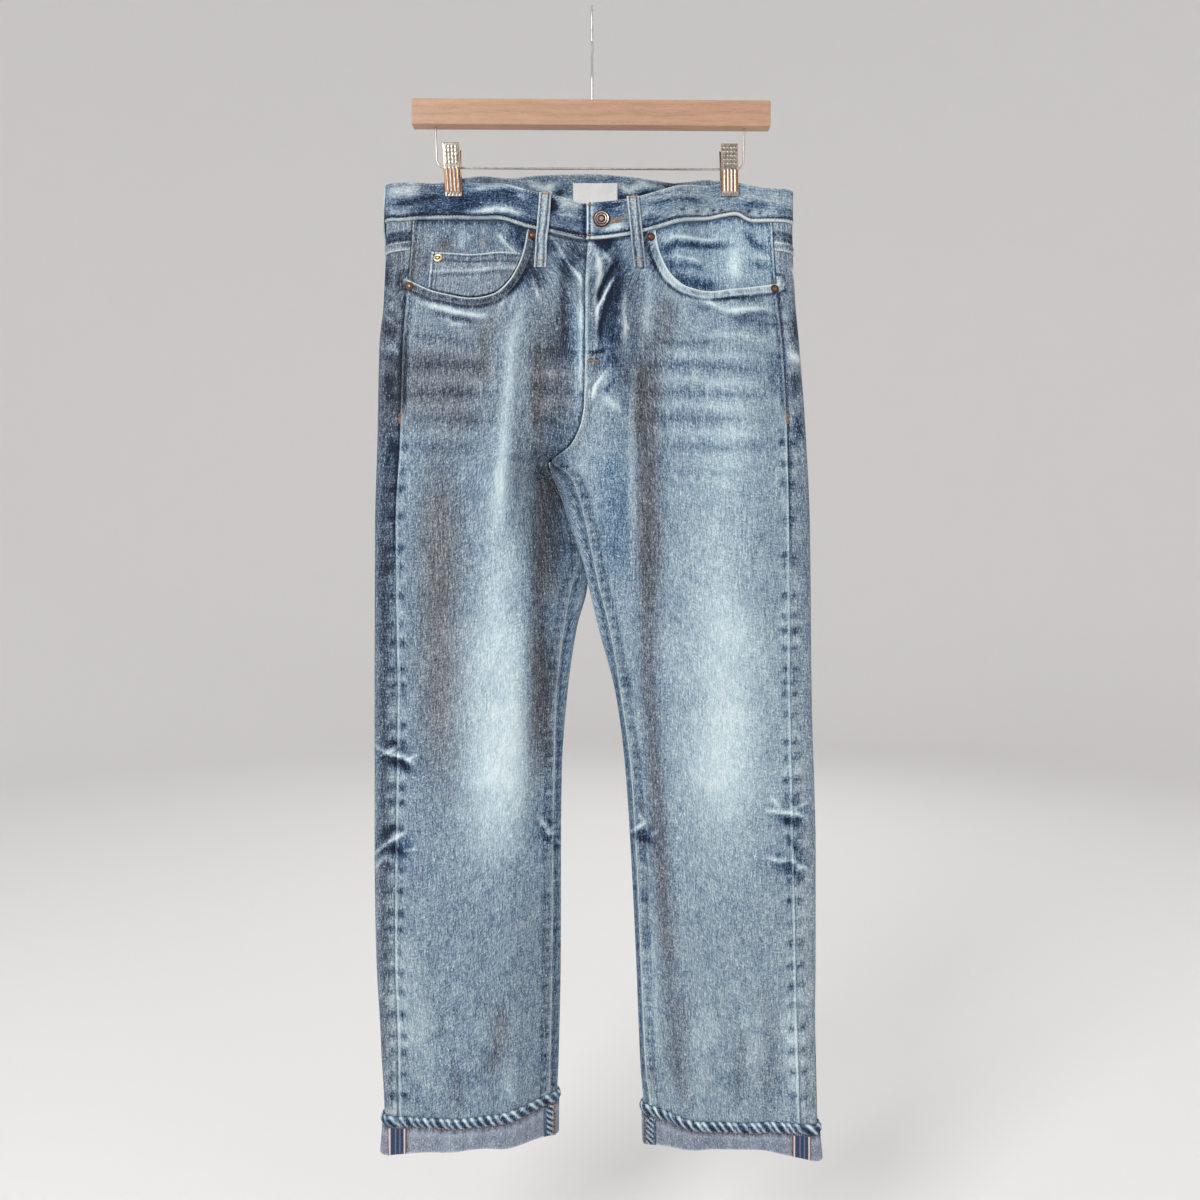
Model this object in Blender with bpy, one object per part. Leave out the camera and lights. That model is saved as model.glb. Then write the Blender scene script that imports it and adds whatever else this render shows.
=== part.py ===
"""Straight leg jeans hanging by the waistband from a wooden clip hanger.

Run with: blender --background --python part.py
Sizes are in millimetres and become metres when a mesh is made. X is to the viewer's right, the front
faces -Y and Z is up. The origin is where the hanger's hook bears on what holds it. Right and left are
the wearer's, so the right leg is at negative X.

The cloth is described once, by the function cloth(). It gives the outer face of the jeans over any
(x, z), front (face -1) or back (face 1), moved out or in by a distance along the cloth's normal.
Every panel, pocket, loop and rivet takes its points from it.
"""

import math

import bmesh
import bpy
import numpy as np

MM = 0.001
RIGHT = "right"
LEFT = "left"
SIGN = {RIGHT: -1, LEFT: 1}
FRONT = -1
BACK = 1

# Cloth thicknesses and clearances.
DENIM = 1.2
BAND_OUT = 0.9
BAND_IN = -1.5
SEAM_GAP = 0.3
LOOP_THICK = 1.6
UNDER = -DENIM - SEAM_GAP
LIE_CLEAR = 0.7
POCKET_CLEAR = 1.1
CUFF_CLEAR = 1.0
COIN_THICK = 1.0
COIN_CLEAR = 0.9
LABEL_THICK = 0.7

# Heights.
FORK_Z = -465
CROTCH_RISE = 60
SHAPED_TO_Z = -345
HEM_FROM_Z = -1085
LEVELS = (-368, -392, -414, -434, -449, -459, -465, -472, -481, -493, -510, -533, -560, -594, -642,
          -700, -750, -800, -850, -900, -950, -1000, -1045, HEM_FROM_Z)
TOP_ROWS = 6
HEM_ROWS = 3

# How a section swells from its folded edges, and where the clips squeeze it.
EDGE_SHARE = 0.30
EDGE_ROUND = 9
EDGE_GROW = 75
INNER_GROW = 55
TILT_REACH = 60
CLIP_X = {RIGHT: -143.5, LEFT: 140.8}
SQUEEZED = 1.9
SQUEEZE_FLAT = 14
SQUEEZE_FADE = 48
SQUEEZE_TOP_Z = -199
SQUEEZE_END_Z = -330

# Columns of the panels' grids.
MOUTH_COLUMNS = 8
FLY_COLUMNS = 5
SEAM_COLUMNS = 5
BACK_COLUMNS = 12
INNER_COLUMNS = 4
NEAR_FOLD = 5
OUTER_REACH = 14
INNER_REACH = 12
LEAST_INNER = 4


def ease(t):
    """A soft step from 0 to 1."""
    t = np.clip(t, 0, 1)
    return t * t * (3 - 2 * t)


def quarter_round(distance, reach):
    """A quarter circle's rise from 0 at a folded edge to 1 at reach."""
    t = np.clip(distance / reach, 0, 1)
    return np.sqrt(1 - (1 - t) ** 2)


def smooth_line(at, value):
    """A function through the given values with soft bends and no overshoot."""
    order = np.argsort(at)
    at = np.asarray(at, float)[order]
    value = np.asarray(value, float)[order]
    step = np.diff(at)
    slope = np.diff(value) / step
    tangent = np.zeros(len(at))
    tangent[0], tangent[-1] = slope[0], slope[-1]
    product = slope[1:] * slope[:-1]
    turning = np.where(product > 0, slope[1:] + slope[:-1], 1)
    tangent[1:-1] = np.where(product > 0, 2 * product / turning, 0)

    def line(x):
        x = np.clip(x, at[0], at[-1])
        i = np.clip(np.searchsorted(at, x) - 1, 0, len(step) - 1)
        t = (x - at[i]) / step[i]
        rise = t * t * (3 - 2 * t)
        return (
            value[i]
            + (value[i + 1] - value[i]) * rise
            + step[i] * t * (1 - t) * ((1 - t) * tangent[i] - t * tangent[i + 1])
        )

    return line


def table(columns, rows):
    """One smooth function of the first column for each named column."""
    values = np.array(rows, float)
    return {name: smooth_line(values[:, 0], values[:, i]) for i, name in enumerate(columns.split()) if i}


# Folded side edges and side seams, by height.
SIDES = table("z right_edge left_edge right_seam left_seam", [
    (-150, -212.0, 206, -183.5, 183.0),
    (-225, -212.0, 206, -184.0, 184.5),
    (-300, -214.5, 209, -189.0, 189.0),
    (-345, -219.0, 213, -192.0, 193.5),
    (-440, -221.0, 220, -195.0, 198.5),
    (-530, -223.5, 224, -200.0, 200.5),
    (-710, -224.0, 226, -198.0, 202.0),
    (-865, -224.0, 230, -200.5, 205.5),
    (-965, -222.5, 230, -201.0, 207.5),
    (-1060, -215.0, 228, -196.5, 208.5),
    (-1125, -210.5, 228, -195.0, 209.5),
    (-1170, -213.0, 231, -197.0, 212.0),
])

# Seam of the fly and crotch, by height.
RISE = table("z seam", [
    (-240, -4.0),
    (-300, -6.5),
    (-360, -7.0),
    (-412, -8.2),
    (-427, -10.5),
    (-449, -20.5),
    (-457, -30.0),
    (FORK_Z, -44.0),
])

# Inner leg edges and inseams below the fork, by height. The left leg hangs in front of the right one.
INNER = table("z right_edge left_edge right_seam left_seam", [
    (FORK_Z, -44.5, -43.5, -44.5, -43.5),
    (-472, -43.1, -43.0, -45.0, -34.0),
    (-481, -34.5, -40.0, -37.5, -23.0),
    (-493, -24.5, -35.0, -29.0, -17.0),
    (-500, -18.0, -32.3, -24.0, -14.5),
    (-530, -5.0, -22.8, -13.0, -7.0),
    (-563, -2.5, -10.8, -11.7, 0.0),
    (-595, -5.5, -3.0, -21.0, 7.0),
    (-635, -16.0, 6.5, -28.0, 17.0),
    (-705, -26.0, 24.5, -36.0, 29.0),
    (-780, -31.5, 34.0, -38.0, 39.0),
    (-870, -32.6, 40.0, -39.6, 44.5),
    (-970, -32.8, 45.0, -40.7, 49.0),
    (-1090, -35.5, 50.0, -43.0, 54.5),
    (-1122, -36.8, 52.5, -43.5, 58.5),
    (-1170, -37.2, 54.0, -44.0, 59.0),
])

# Half depths of the section, thickness of its inner edges, and how far the folded edges stand
# behind (+) or before (-) the middle plane, by height.
DEPTH = table("z front back inner_edge right_outer left_outer right_inner left_inner", [
    (-150, 26, 24, 3.5, 0, 0, -8, -8),
    (-246, 29, 27, 3.5, 0, 0, -8, -8),
    (-300, 32, 30, 3.5, 0, 0, -8, -8),
    (-400, 33, 33, 3.5, 0, 0, -8, -8),
    (FORK_Z, 31, 33, 3.5, 0, 0, -8, -8),
    (-472, 31, 33, 3.3, 0, 0, -3.8, -11.6),
    (-481, 31, 33, 3.6, 0, 0, 5, -9.5),
    (-493, 31, 33, 3.8, 0, 0, 7, -8),
    (-560, 29, 32, 4.0, 0, 0, 8, -7),
    (-640, 28, 29, 6.0, 0, 0, 8, -2),
    (-710, 26, 27, 7.5, 0, 0, 8, 0),
    (-965, 25, 24, 7.5, 0, 0, 12, 4),
    (-1120, 26, 23, 7.5, -14, -14, 18, 6),
    (-1170, 26, 23, 7.5, -14, -16, 18, 6),
])

# Width of the stretch where one leg's edge lies behind the other's, by height.
TUCK = table("z width", [
    (FORK_Z, 0),
    (-472, 1),
    (-481, 7),
    (-500, 19),
    (-530, 22),
    (-563, 14),
    (-595, 5),
    (-625, 0),
])

# Waistband's top edge and seam, front and back, across the width.
WAIST = table("x front_top front_seam back_top back_seam", [
    (-213, -180.6, -218.2, -180.6, -218.2),
    (-197, -180.6, -220.0, -179.5, -217.5),
    (-156, -178.0, -214.5, -176.0, -213.5),
    (-133, -176.8, -214.5, -171.5, -210.0),
    (-98, -186.5, -222.5, -163.0, -202.0),
    (-65, -196.0, -233.5, -158.5, -198.0),
    (-32, -203.0, -241.5, -157.0, -196.5),
    (-4, -208.8, -246.0, -156.5, -196.0),
    (35, -205.2, -242.0, -159.0, -198.0),
    (65, -197.4, -234.5, -163.0, -202.0),
    (112, -183.0, -218.5, -171.0, -210.0),
    (131, -178.6, -213.0, -174.0, -212.5),
    (147, -177.0, -210.5, -175.5, -213.5),
    (164, -181.0, -218.5, -178.5, -216.5),
    (180, -185.5, -220.0, -181.0, -218.5),
    (208, -186.8, -221.0, -186.8, -221.0),
])

# Fold of each cuff and the lower edge of its roped hem, from the outer edge (0) to the inner one (1).
CUFF = table("across right_fold left_fold right_line left_line", [
    (0.00, -1164.0, -1169.5, -1124.4, -1133.4),
    (0.20, -1161.5, -1163.0, -1125.5, -1131.7),
    (0.40, -1158.5, -1155.5, -1125.5, -1129.5),
    (0.60, -1154.5, -1155.0, -1122.5, -1127.5),
    (0.80, -1158.0, -1159.5, -1120.5, -1126.0),
    (1.00, -1163.5, -1166.3, -1118.4, -1124.3),
])

# Pocket mouths on the fronts, from the waist seam to the side seam.
MOUTH = {
    RIGHT: ((-64.5, -236.3), (-68.3, -257.0), (-75.0, -275.5), (-86.0, -292.0), (-99.0, -301.5),
            (-119.0, -304.8), (-145.0, -300.5), (-188.0, -281.0)),
    LEFT: ((63.2, -236.0), (66.0, -253.0), (71.5, -269.0), (80.0, -283.5), (95.0, -294.5),
           (115.0, -298.0), (141.5, -294.5), (188.0, -285.0)),
}

# Largest soft folds: the stretch each follows, its half width, and its height (valleys are negative).
FOLDS = [
    # face, from x, from z, to x, to z, half width, height
    (FRONT, 26, -258, 4, -300, 8, -7.0),
    (FRONT, 4, -300, 2, -348, 8, -4.0),
    (FRONT, -6, -262, -12, -296, 7, 3.0),
    (FRONT, -42, -246, -14, -292, 8, 3.0),
    (FRONT, -26, -262, -16, -330, 9, -3.0),
    (FRONT, 44, -300, 40, -650, 16, -4.5),
    (FRONT, 22, -330, 28, -520, 12, 2.5),
    (FRONT, 82, -320, 110, -700, 34, 4.0),
    (FRONT, -90, -330, -100, -540, 15, 4.5),
    (FRONT, -60, -320, -52, -640, 15, -4.0),
    (FRONT, -128, -340, -140, -620, 24, -2.5),
    (FRONT, -160, -250, -170, -330, 14, -2.0),
    (FRONT, -172, -1020, -165, -1115, 14, 3.0),
    (FRONT, -95, -1000, -88, -1115, 16, -3.0),
    (FRONT, 115, -1010, 105, -1118, 18, 3.0),
    (FRONT, 175, -1000, 180, -1118, 14, -2.5),
    (BACK, -150, -340, -120, -470, 24, 3.5),
    (BACK, -45, -350, -34, -440, 16, -4.0),
    (BACK, 26, -350, 34, -450, 16, -4.0),
    (BACK, 120, -350, 130, -480, 24, 3.5),
    (BACK, -175, -480, -90, -520, 16, -4.0),
    (BACK, 180, -490, 90, -535, 16, -4.0),
    (BACK, -120, -560, -130, -760, 18, 4.0),
    (BACK, 130, -570, 140, -780, 18, 4.0),
    (BACK, -180, -800, -90, -830, 10, -3.5),
    (BACK, 185, -815, 95, -845, 10, -3.5),
    (BACK, -120, -900, -115, -1110, 16, -3.0),
    (BACK, 135, -900, 140, -1115, 16, 3.0),
]

# Placed pieces: centre x at the top and the bottom, and the top and bottom heights.
FRONT_LOOPS = {RIGHT: (-46.3, -51.8, -199.5, -275), LEFT: (40.6, 47.9, -203.5, -275)}
LOOP_WIDTH = 12
LOOP_ROWS = 9
LOOP_BOW = 1.2
LOOP_DROP = 18
SIDE_LOOP_AT = 40
SIDE_LOOP_Z = (-183.5, -245.5)
BACK_LOOP_Z = (-157.5, -229.5)
BAND_END_X = -5.0
BAND_LAP = 28
BAND_HALF = 206.0
FLY_SHIELD = (-7.5, 30, -400)
YOKE_SIDE_Z = -250
YOKE_CENTRE_Z = -276
FACING_UNDER = 17
FACING_COLUMNS = 12
FACING_ROWS = 7
COIN_COLUMNS = (1.75, 8.6)
COIN_TOP_Z = (-251, -260)
COIN_FOOT_CLEAR = 2.4
BACK_POCKET_COLUMNS = (7.1, 15.3)
BACK_POCKET_Z = (-300, -430, -452)
BUTTON = (9.5, -226.4, 8.5)
RIVETS = {
    "rivet_right_outer": (-184.5, -288.5),
    "rivet_right_inner": (-59.5, -242.5),
    "rivet_left_inner": (58.6, -244.0),
    "rivet_left_outer": (185.0, -290.5),
}
RIVET_RADIUS = 4.3
COIN_RIVET = (-156.5, -258.5, 5.0)
LABEL_X = (-20.5, 26.5)
LABEL_Z = (-166.5, -194)
CUFF_MIDDLE_Z = -1145.0
CUFF_FOLD_Z = -1163.0
HEM_HEIGHT = 10
HEM_THICK = 2.8
SELVEDGE_WIDTH = 18
ALLOWANCE_WIDTH = 11

# Hanger.
BAR_X = (-185, 183)
BAR_TOP_Z = -93
BAR_HEIGHT = 27
BAR_HALF_DEPTH = 6
BAR_TILT = math.radians(0.35)
BAR_EDGE = 1.5
HOOK_WIRE = 1.6
HOOK_RADIUS = 19
HOOK_TIP_Z = -44
CLIP_WIRE = 1.1
CLIP_WIRE_X = (-160.0, 156.0)
CLIP_WIRE_Z = (-161.0, -162.6)
CLIP_CORNER = 9
CLIP_WIDTH = 17
CLIP_TOP = 22
CLIP_FOOT_Z = -192
CLIP_PLATE = 1.2
CLIP_GRIP = SQUEEZED + BAND_OUT + SEAM_GAP + 0.1
CLIP_SPREAD = 8.2
CLIP_SWAY = {RIGHT: 0.05, LEFT: 0.02}

COLOURS = {
    # colour, roughness, metallic
    "denim": ((0.20, 0.33, 0.45), 0.9, 0.0),
    "denim_wrong_side": ((0.42, 0.47, 0.52), 0.9, 0.0),
    "selvedge": ((0.78, 0.76, 0.72), 0.85, 0.0),
    "label": ((0.85, 0.84, 0.82), 0.8, 0.0),
    "copper": ((0.45, 0.30, 0.24), 0.45, 1.0),
    "brass": ((0.78, 0.62, 0.30), 0.35, 1.0),
    "wood": ((0.66, 0.50, 0.37), 0.55, 0.0),
    "steel": ((0.62, 0.60, 0.58), 0.3, 1.0),
}


def clear_scene():
    for item in list(bpy.data.objects):
        bpy.data.objects.remove(item, do_unlink=True)


def material(name):
    colour, roughness, metallic = COLOURS[name]
    found = bpy.data.materials.get(name) or bpy.data.materials.new(name)
    found.use_nodes = True
    shader = found.node_tree.nodes["Principled BSDF"]
    shader.inputs["Base Color"].default_value = (*colour, 1)
    shader.inputs["Roughness"].default_value = roughness
    shader.inputs["Metallic"].default_value = metallic
    return found


def add_object(name, points, faces, finish, smooth=True):
    """A mesh object from points in millimetres, with its faces turned outwards."""
    mesh = bpy.data.meshes.new(name)
    mesh.from_pydata((np.asarray(points, float) * MM).tolist(), [], faces)
    shape = bmesh.new()
    shape.from_mesh(mesh)
    bmesh.ops.recalc_face_normals(shape, faces=shape.faces)
    for face in shape.faces:
        face.smooth = smooth
    shape.to_mesh(mesh)
    shape.free()
    mesh.materials.append(material(finish))
    made = bpy.data.objects.new(name, mesh)
    bpy.context.scene.collection.objects.link(made)
    return made


# ---------------------------------------------------------------- the cloth's form


def inner_edge(side, z):
    """The seam of the fly and crotch above the fork, and the leg's inner edge below it."""
    return np.where(z >= FORK_Z, RISE["seam"](z), INNER[f"{side}_edge"](z))


def fold_height(face, x, z):
    total = 0.0
    for fold_face, x0, z0, x1, z1, width, height in FOLDS:
        along = ((x - x0) * (x1 - x0) + (z - z0) * (z1 - z0)) / ((x1 - x0) ** 2 + (z1 - z0) ** 2)
        along = np.clip(along, 0, 1)
        away = np.hypot(x - x0 - along * (x1 - x0), z - z0 - along * (z1 - z0))
        total = total + np.where(face == fold_face, height * np.exp(-((away / width) ** 2)), 0)
    return total


def surface_y(side, face, x, z):
    """Depth of the cloth's outer face over (x, z)."""
    from_outer = np.abs(x - SIDES[f"{side}_edge"](z))
    from_inner = (x - inner_edge(side, z)) * SIGN[side]
    from_inner = np.where(z >= FORK_Z, np.abs(from_inner), np.maximum(from_inner, 0))
    depth = np.where(face == FRONT, DEPTH["front"](z), DEPTH["back"](z))
    outer = EDGE_SHARE * quarter_round(from_outer, EDGE_ROUND)
    outer = outer + (1 - EDGE_SHARE) * ease(from_outer / EDGE_GROW)
    tucked_face = FRONT if side == RIGHT else BACK
    tuck = np.where(face == tucked_face, TUCK["width"](z), 0)
    share = DEPTH["inner_edge"](z) / depth
    inner = share * quarter_round(from_inner, EDGE_ROUND)
    inner = inner + (1 - share) * ease((from_inner - tuck) / INNER_GROW)
    closed = 1 - quarter_round(z - FORK_Z, CROTCH_RISE)
    half = depth * outer * (1 - closed * (1 - inner))
    middle = closed * DEPTH[f"{side}_inner"](z) * (1 - ease(from_inner / TILT_REACH))
    middle = middle + DEPTH[f"{side}_outer"](z) * (1 - ease(from_outer / TILT_REACH))
    grip = ease((z - SQUEEZE_END_Z) / (SQUEEZE_TOP_Z - SQUEEZE_END_Z))
    squeeze = grip * (1 - ease((np.abs(x - CLIP_X[side]) - SQUEEZE_FLAT) / SQUEEZE_FADE))
    half = half - squeeze * np.maximum(half - SQUEEZED, 0)
    calm = ease(from_outer / 18) * (1 - closed * (1 - ease(from_inner / 22))) * (1 - squeeze)
    return middle + face * (half + calm * fold_height(face, x, z))


def cloth(side, face, x, z, out=0.0):
    """Points on the cloth over (x, z), moved out along its normal."""
    step = 0.25
    edge = SIDES[f"{side}_edge"](z)
    far = np.where(z >= FORK_Z, -edge, inner_edge(side, z))
    low, high = np.minimum(edge, far), np.maximum(edge, far)
    before, after = np.clip(x - step, low, high), np.clip(x + step, low, high)
    y = surface_y(side, face, x, z)
    slope_x = (surface_y(side, face, after, z) - surface_y(side, face, before, z)) / (after - before)
    slope_z = (surface_y(side, face, x, z + step) - surface_y(side, face, x, z - step)) / (2 * step)
    normal = np.stack([-slope_x * face, np.ones_like(y) * face, -slope_z * face], axis=-1)
    normal /= np.linalg.norm(normal, axis=-1, keepdims=True)
    return np.stack([x, y, z * np.ones_like(y)], axis=-1) + normal * np.asarray(out)[..., None]


def wall(name, inner, outer, finish, closed=False):
    """A closed sheet of cloth between two grids of points."""
    rows, columns = outer.shape[:2]
    points = np.concatenate([inner.reshape(-1, 3), outer.reshape(-1, 3)])
    shift = rows * columns
    last = columns if closed else columns - 1
    faces = []
    for i in range(rows - 1):
        for j in range(last):
            a, b = i * columns + j, i * columns + (j + 1) % columns
            c, d = b + columns, a + columns
            faces.append((a, b, c, d))
            faces.append((d + shift, c + shift, b + shift, a + shift))
    for j in range(last):
        for row in (0, rows - 1):
            a, b = row * columns + j, row * columns + (j + 1) % columns
            faces.append((a, b, b + shift, a + shift) if row else (b, a, a + shift, b + shift))
    if not closed:
        for i in range(rows - 1):
            for j in (0, columns - 1):
                a, b = i * columns + j, (i + 1) * columns + j
                faces.append((b, a, a + shift, b + shift) if j else (a, b, b + shift, a + shift))
    return add_object(name, points, faces, finish)


def sheet(name, side, face, x, z, low, high, finish="denim"):
    """A wall that follows the cloth from low to high above it, over a grid of (x, z)."""
    return wall(name, cloth(side, face, x, z, low), cloth(side, face, x, z, high), finish)


def resample(points, shares):
    """Points at the given shares of a smooth line through a few points."""
    points = np.array(points, float)
    length = np.concatenate([[0], np.cumsum(np.linalg.norm(np.diff(points, axis=0), axis=1))])
    fine = np.linspace(0, length[-1], 200)
    dense = np.stack([smooth_line(length, points[:, k])(fine) for k in range(points.shape[1])], axis=1)
    run = np.concatenate([[0], np.cumsum(np.linalg.norm(np.diff(dense, axis=0), axis=1))])
    at = np.asarray(shares) * run[-1]
    return np.stack([np.interp(at, run, dense[:, k]) for k in range(points.shape[1])], axis=1)


def round_the_back(side, z, distance):
    """Face and x at a distance along a back panel's row: from the side seam on the front, round the
    folded edge, across the back, and below the fork round the inner edge to the inseam. Also gives
    the distances of the outer fold, the inner fold and the row's end."""
    edge = SIDES[f"{side}_edge"](z)
    seam = SIDES[f"{side}_seam"](z)
    inner = inner_edge(side, z)
    near = np.linspace(1, 0, 13) ** 2
    across = (1 - np.cos(np.linspace(0, math.pi, 90))) / 2
    x = np.concatenate([edge + (seam - edge) * near, edge + (inner - edge) * across[1:]])
    face = np.concatenate([np.full(13, FRONT), np.full(89, BACK)])
    if z < FORK_Z:
        inseam = INNER[f"{side}_seam"](z)
        x = np.concatenate([x, inner + (inseam - inner) * near[::-1][1:]])
        face = np.concatenate([face, np.full(12, FRONT)])
    y = surface_y(side, face, x, z)
    run = np.concatenate([[0], np.cumsum(np.hypot(np.diff(x), np.diff(y)))])
    i = int(np.clip(np.searchsorted(run, distance) - 1, 0, len(run) - 2))
    share = (distance - run[i]) / max(run[i + 1] - run[i], 1e-9)
    return face[i + 1], x[i] + share * (x[i + 1] - x[i]), (run[12], run[101], run[-1])


# ---------------------------------------------------------------- panels


def cuff_line(side, kind, x):
    """Height of the cuff's fold or its roped hem over x."""
    z = -1125
    edge = SIDES[f"{side}_edge"](z)
    across = (x - edge) / (inner_edge(side, z) - edge)
    return CUFF[f"{side}_{kind}"](np.clip(across, 0, 1))


def panel_floor(side, x):
    """A leg panel ends just above the cuff's fold, inside it."""
    return cuff_line(side, "fold", x) + DENIM + 2 * SEAM_GAP


def front_panel(side):
    """From the waist seam and the pocket mouth to the cuff."""
    sign = SIGN[side]
    columns = MOUTH_COLUMNS + FLY_COLUMNS
    mouth = resample(MOUTH[side][::-1], np.linspace(0, 1, MOUTH_COLUMNS + 1))
    fly_x = np.linspace(mouth[-1, 0], RISE["seam"](-246) + sign * SEAM_GAP / 2, FLY_COLUMNS + 1)[1:]
    fly_z = WAIST["front_seam"](fly_x) - SEAM_GAP
    top_x = np.concatenate([mouth[:, 0], fly_x])
    top_z = np.concatenate([mouth[:, 1], fly_z])
    seam = SIDES[f"{side}_seam"](top_z)
    top_share = (top_x - seam) / (RISE["seam"](top_z) + sign * SEAM_GAP / 2 - seam)
    top_share[0] = 0
    even = np.linspace(0, 1, columns + 1)
    rows = []
    for i in range(TOP_ROWS):
        v = i / TOP_ROWS
        rows.append((top_z + (SHAPED_TO_Z - top_z) * v, top_share + (even - top_share) * ease(v)))
    for level in (SHAPED_TO_Z, *LEVELS):
        rows.append((np.full(columns + 1, float(level)), even))
    seam = SIDES[f"{side}_seam"](CUFF_FOLD_Z)
    floor = panel_floor(side, seam + (INNER[f"{side}_seam"](CUFF_FOLD_Z) - seam) * even)
    for i in range(1, HEM_ROWS + 1):
        rows.append((HEM_FROM_Z + (floor - HEM_FROM_Z) * i / HEM_ROWS, even))
    z = np.array([row[0] for row in rows])
    share = np.array([row[1] for row in rows])
    seam = SIDES[f"{side}_seam"](z)
    near_fork = 0.7 * np.exp(-(((z - FORK_Z + 5) / 8) ** 2))
    inner = np.where(z >= FORK_Z, RISE["seam"](z), INNER[f"{side}_seam"](z))
    inner = inner + sign * (SEAM_GAP / 2 + near_fork)
    x = seam + (inner - seam) * share
    sheet(f"front_{side}", side, FRONT, x, z, -DENIM, 0)


def back_distances(side, z):
    """Distances of a back panel's columns from the side seam, with one on each folded edge."""
    outer, inner, length = round_the_back(side, z, 0)[2]
    inner = min(inner, length - LEAST_INNER)
    start = [SEAM_GAP, outer / 2, outer - NEAR_FOLD, outer, outer + NEAR_FOLD, outer + OUTER_REACH]
    middle = np.linspace(start[-1], inner - INNER_REACH, BACK_COLUMNS + 1)[1:]
    end = [inner - NEAR_FOLD, inner, inner + 0.45 * (length - inner), length - SEAM_GAP / 2]
    return np.concatenate([start, middle, end])


def back_row(side, heights, columns=None):
    """Face and x for each column of a back panel's row whose columns stand at their own heights."""
    found = []
    for j, z in enumerate(heights):
        distances = back_distances(side, z)
        column = j if columns is None else columns[j]
        found.append(round_the_back(side, z, np.interp(column, np.arange(len(distances)), distances))[:2])
    face, x = np.array(found).T
    return face.astype(int), x


def yoke_line(share):
    return YOKE_SIDE_Z + (YOKE_CENTRE_Z - YOKE_SIDE_Z) * share


def back_grid(side, heights, columns=None):
    faces, xs = zip(*(back_row(side, row, columns) for row in heights))
    return np.array(faces), np.array(xs), np.array(heights)


def back_panel(side):
    """From the yoke's seam to the cuff, wrapped round both folded edges of the leg."""
    columns = SEAM_COLUMNS + BACK_COLUMNS + INNER_COLUMNS
    top = yoke_line(np.linspace(0, 1, columns + 1)) - SEAM_GAP
    heights = [top + (SHAPED_TO_Z - top) * i / (TOP_ROWS - 2) for i in range(TOP_ROWS - 2)]
    heights += [np.full(columns + 1, float(level)) for level in (SHAPED_TO_Z, *LEVELS)]
    floor = panel_floor(side, back_row(side, np.full(columns + 1, CUFF_FOLD_Z))[1])
    heights += [HEM_FROM_Z + (floor - HEM_FROM_Z) * i / HEM_ROWS for i in range(1, HEM_ROWS + 1)]
    face, x, z = back_grid(side, heights)
    sheet(f"back_{side}", side, face, x, z, -DENIM, 0)


def yoke(side):
    """Between the waistband and the back panel, its end showing in front of the side seam."""
    columns = SEAM_COLUMNS + BACK_COLUMNS + INNER_COLUMNS
    face, x = back_row(side, np.full(columns + 1, -215.0))
    top = np.where(face == FRONT, WAIST["front_seam"](x), WAIST["back_seam"](x)) - 2 * SEAM_GAP
    bottom = yoke_line(np.linspace(0, 1, columns + 1))
    heights = [top + (bottom - top) * v for v in (0, 0.5, 1)]
    face, x, z = back_grid(side, heights)
    sheet(f"yoke_{side}", side, face, x, z, -DENIM, 0)


def band_columns():
    """Face, side and distance from the folded side edge for each column of the waistband, from its
    left front end round the back to its right front end and on under the left one."""
    near_edge = np.array([0, 1.5, 5, 12, 24, 38])
    to_clip = np.array([52, 60, 67, 74, 82, 92])
    middle = np.linspace(106, BAND_HALF, 7)
    from_edge = np.concatenate([near_edge, to_clip, middle])
    left_front = [(FRONT, LEFT, d) for d in from_edge[::-1]]
    left_back = [(BACK, LEFT, d) for d in from_edge[1:]]
    right_back = [(BACK, RIGHT, d) for d in from_edge[:-1][::-1]]
    right_front = [(FRONT, RIGHT, d) for d in from_edge[1:]]
    return left_front + left_back + right_back + right_front


def waistband():
    rows = (0, 0.5, 1)
    under = -(BAND_OUT - BAND_IN + SEAM_GAP)
    inner, outer = [], []
    columns = band_columns()
    for face, side, distance in columns:
        column_in, column_out = [], []
        for v in rows:
            z, x = -200.0, 0.0
            for _ in range(3):
                edge = SIDES[f"{side}_edge"](z)
                x = edge - SIGN[side] * distance
                if face == FRONT:
                    x = edge + (BAND_END_X - edge) * distance / BAND_HALF
                name = "front" if face == FRONT else "back"
                top, seam = WAIST[f"{name}_top"](x), WAIST[f"{name}_seam"](x)
                z = top + (seam - top) * v
            laps = under * ease((x - BAND_END_X + 20) / 16) if side == RIGHT and face == FRONT else 0.0
            on_side = RIGHT if x < 0 else LEFT
            column_in.append(cloth(on_side, face, x, z, BAND_IN + laps))
            column_out.append(cloth(on_side, face, x, z, BAND_OUT + laps))
        inner.append(column_in)
        outer.append(column_out)
    for x in BAND_END_X + BAND_LAP * np.array([0.15, 0.5, 1]):
        top, seam = WAIST["front_top"](x), WAIST["front_seam"](x)
        z = np.array([top + (seam - top) * v for v in rows])
        side = RIGHT if x < 0 else LEFT
        inner.append(list(cloth(side, FRONT, np.full(len(rows), x), z, BAND_IN + under)))
        outer.append(list(cloth(side, FRONT, np.full(len(rows), x), z, BAND_OUT + under)))
    inner, outer = np.array(inner).transpose(1, 0, 2), np.array(outer).transpose(1, 0, 2)
    wall("waistband", inner, outer, "denim")


# ---------------------------------------------------------------- pieces on the panels


def loop_rise(z, seam):
    """How far a belt loop stands off: over the waistband, then down on to the panel."""
    return LIE_CLEAR + BAND_OUT * ease((z - seam) / LOOP_DROP + 1.2)


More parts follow.
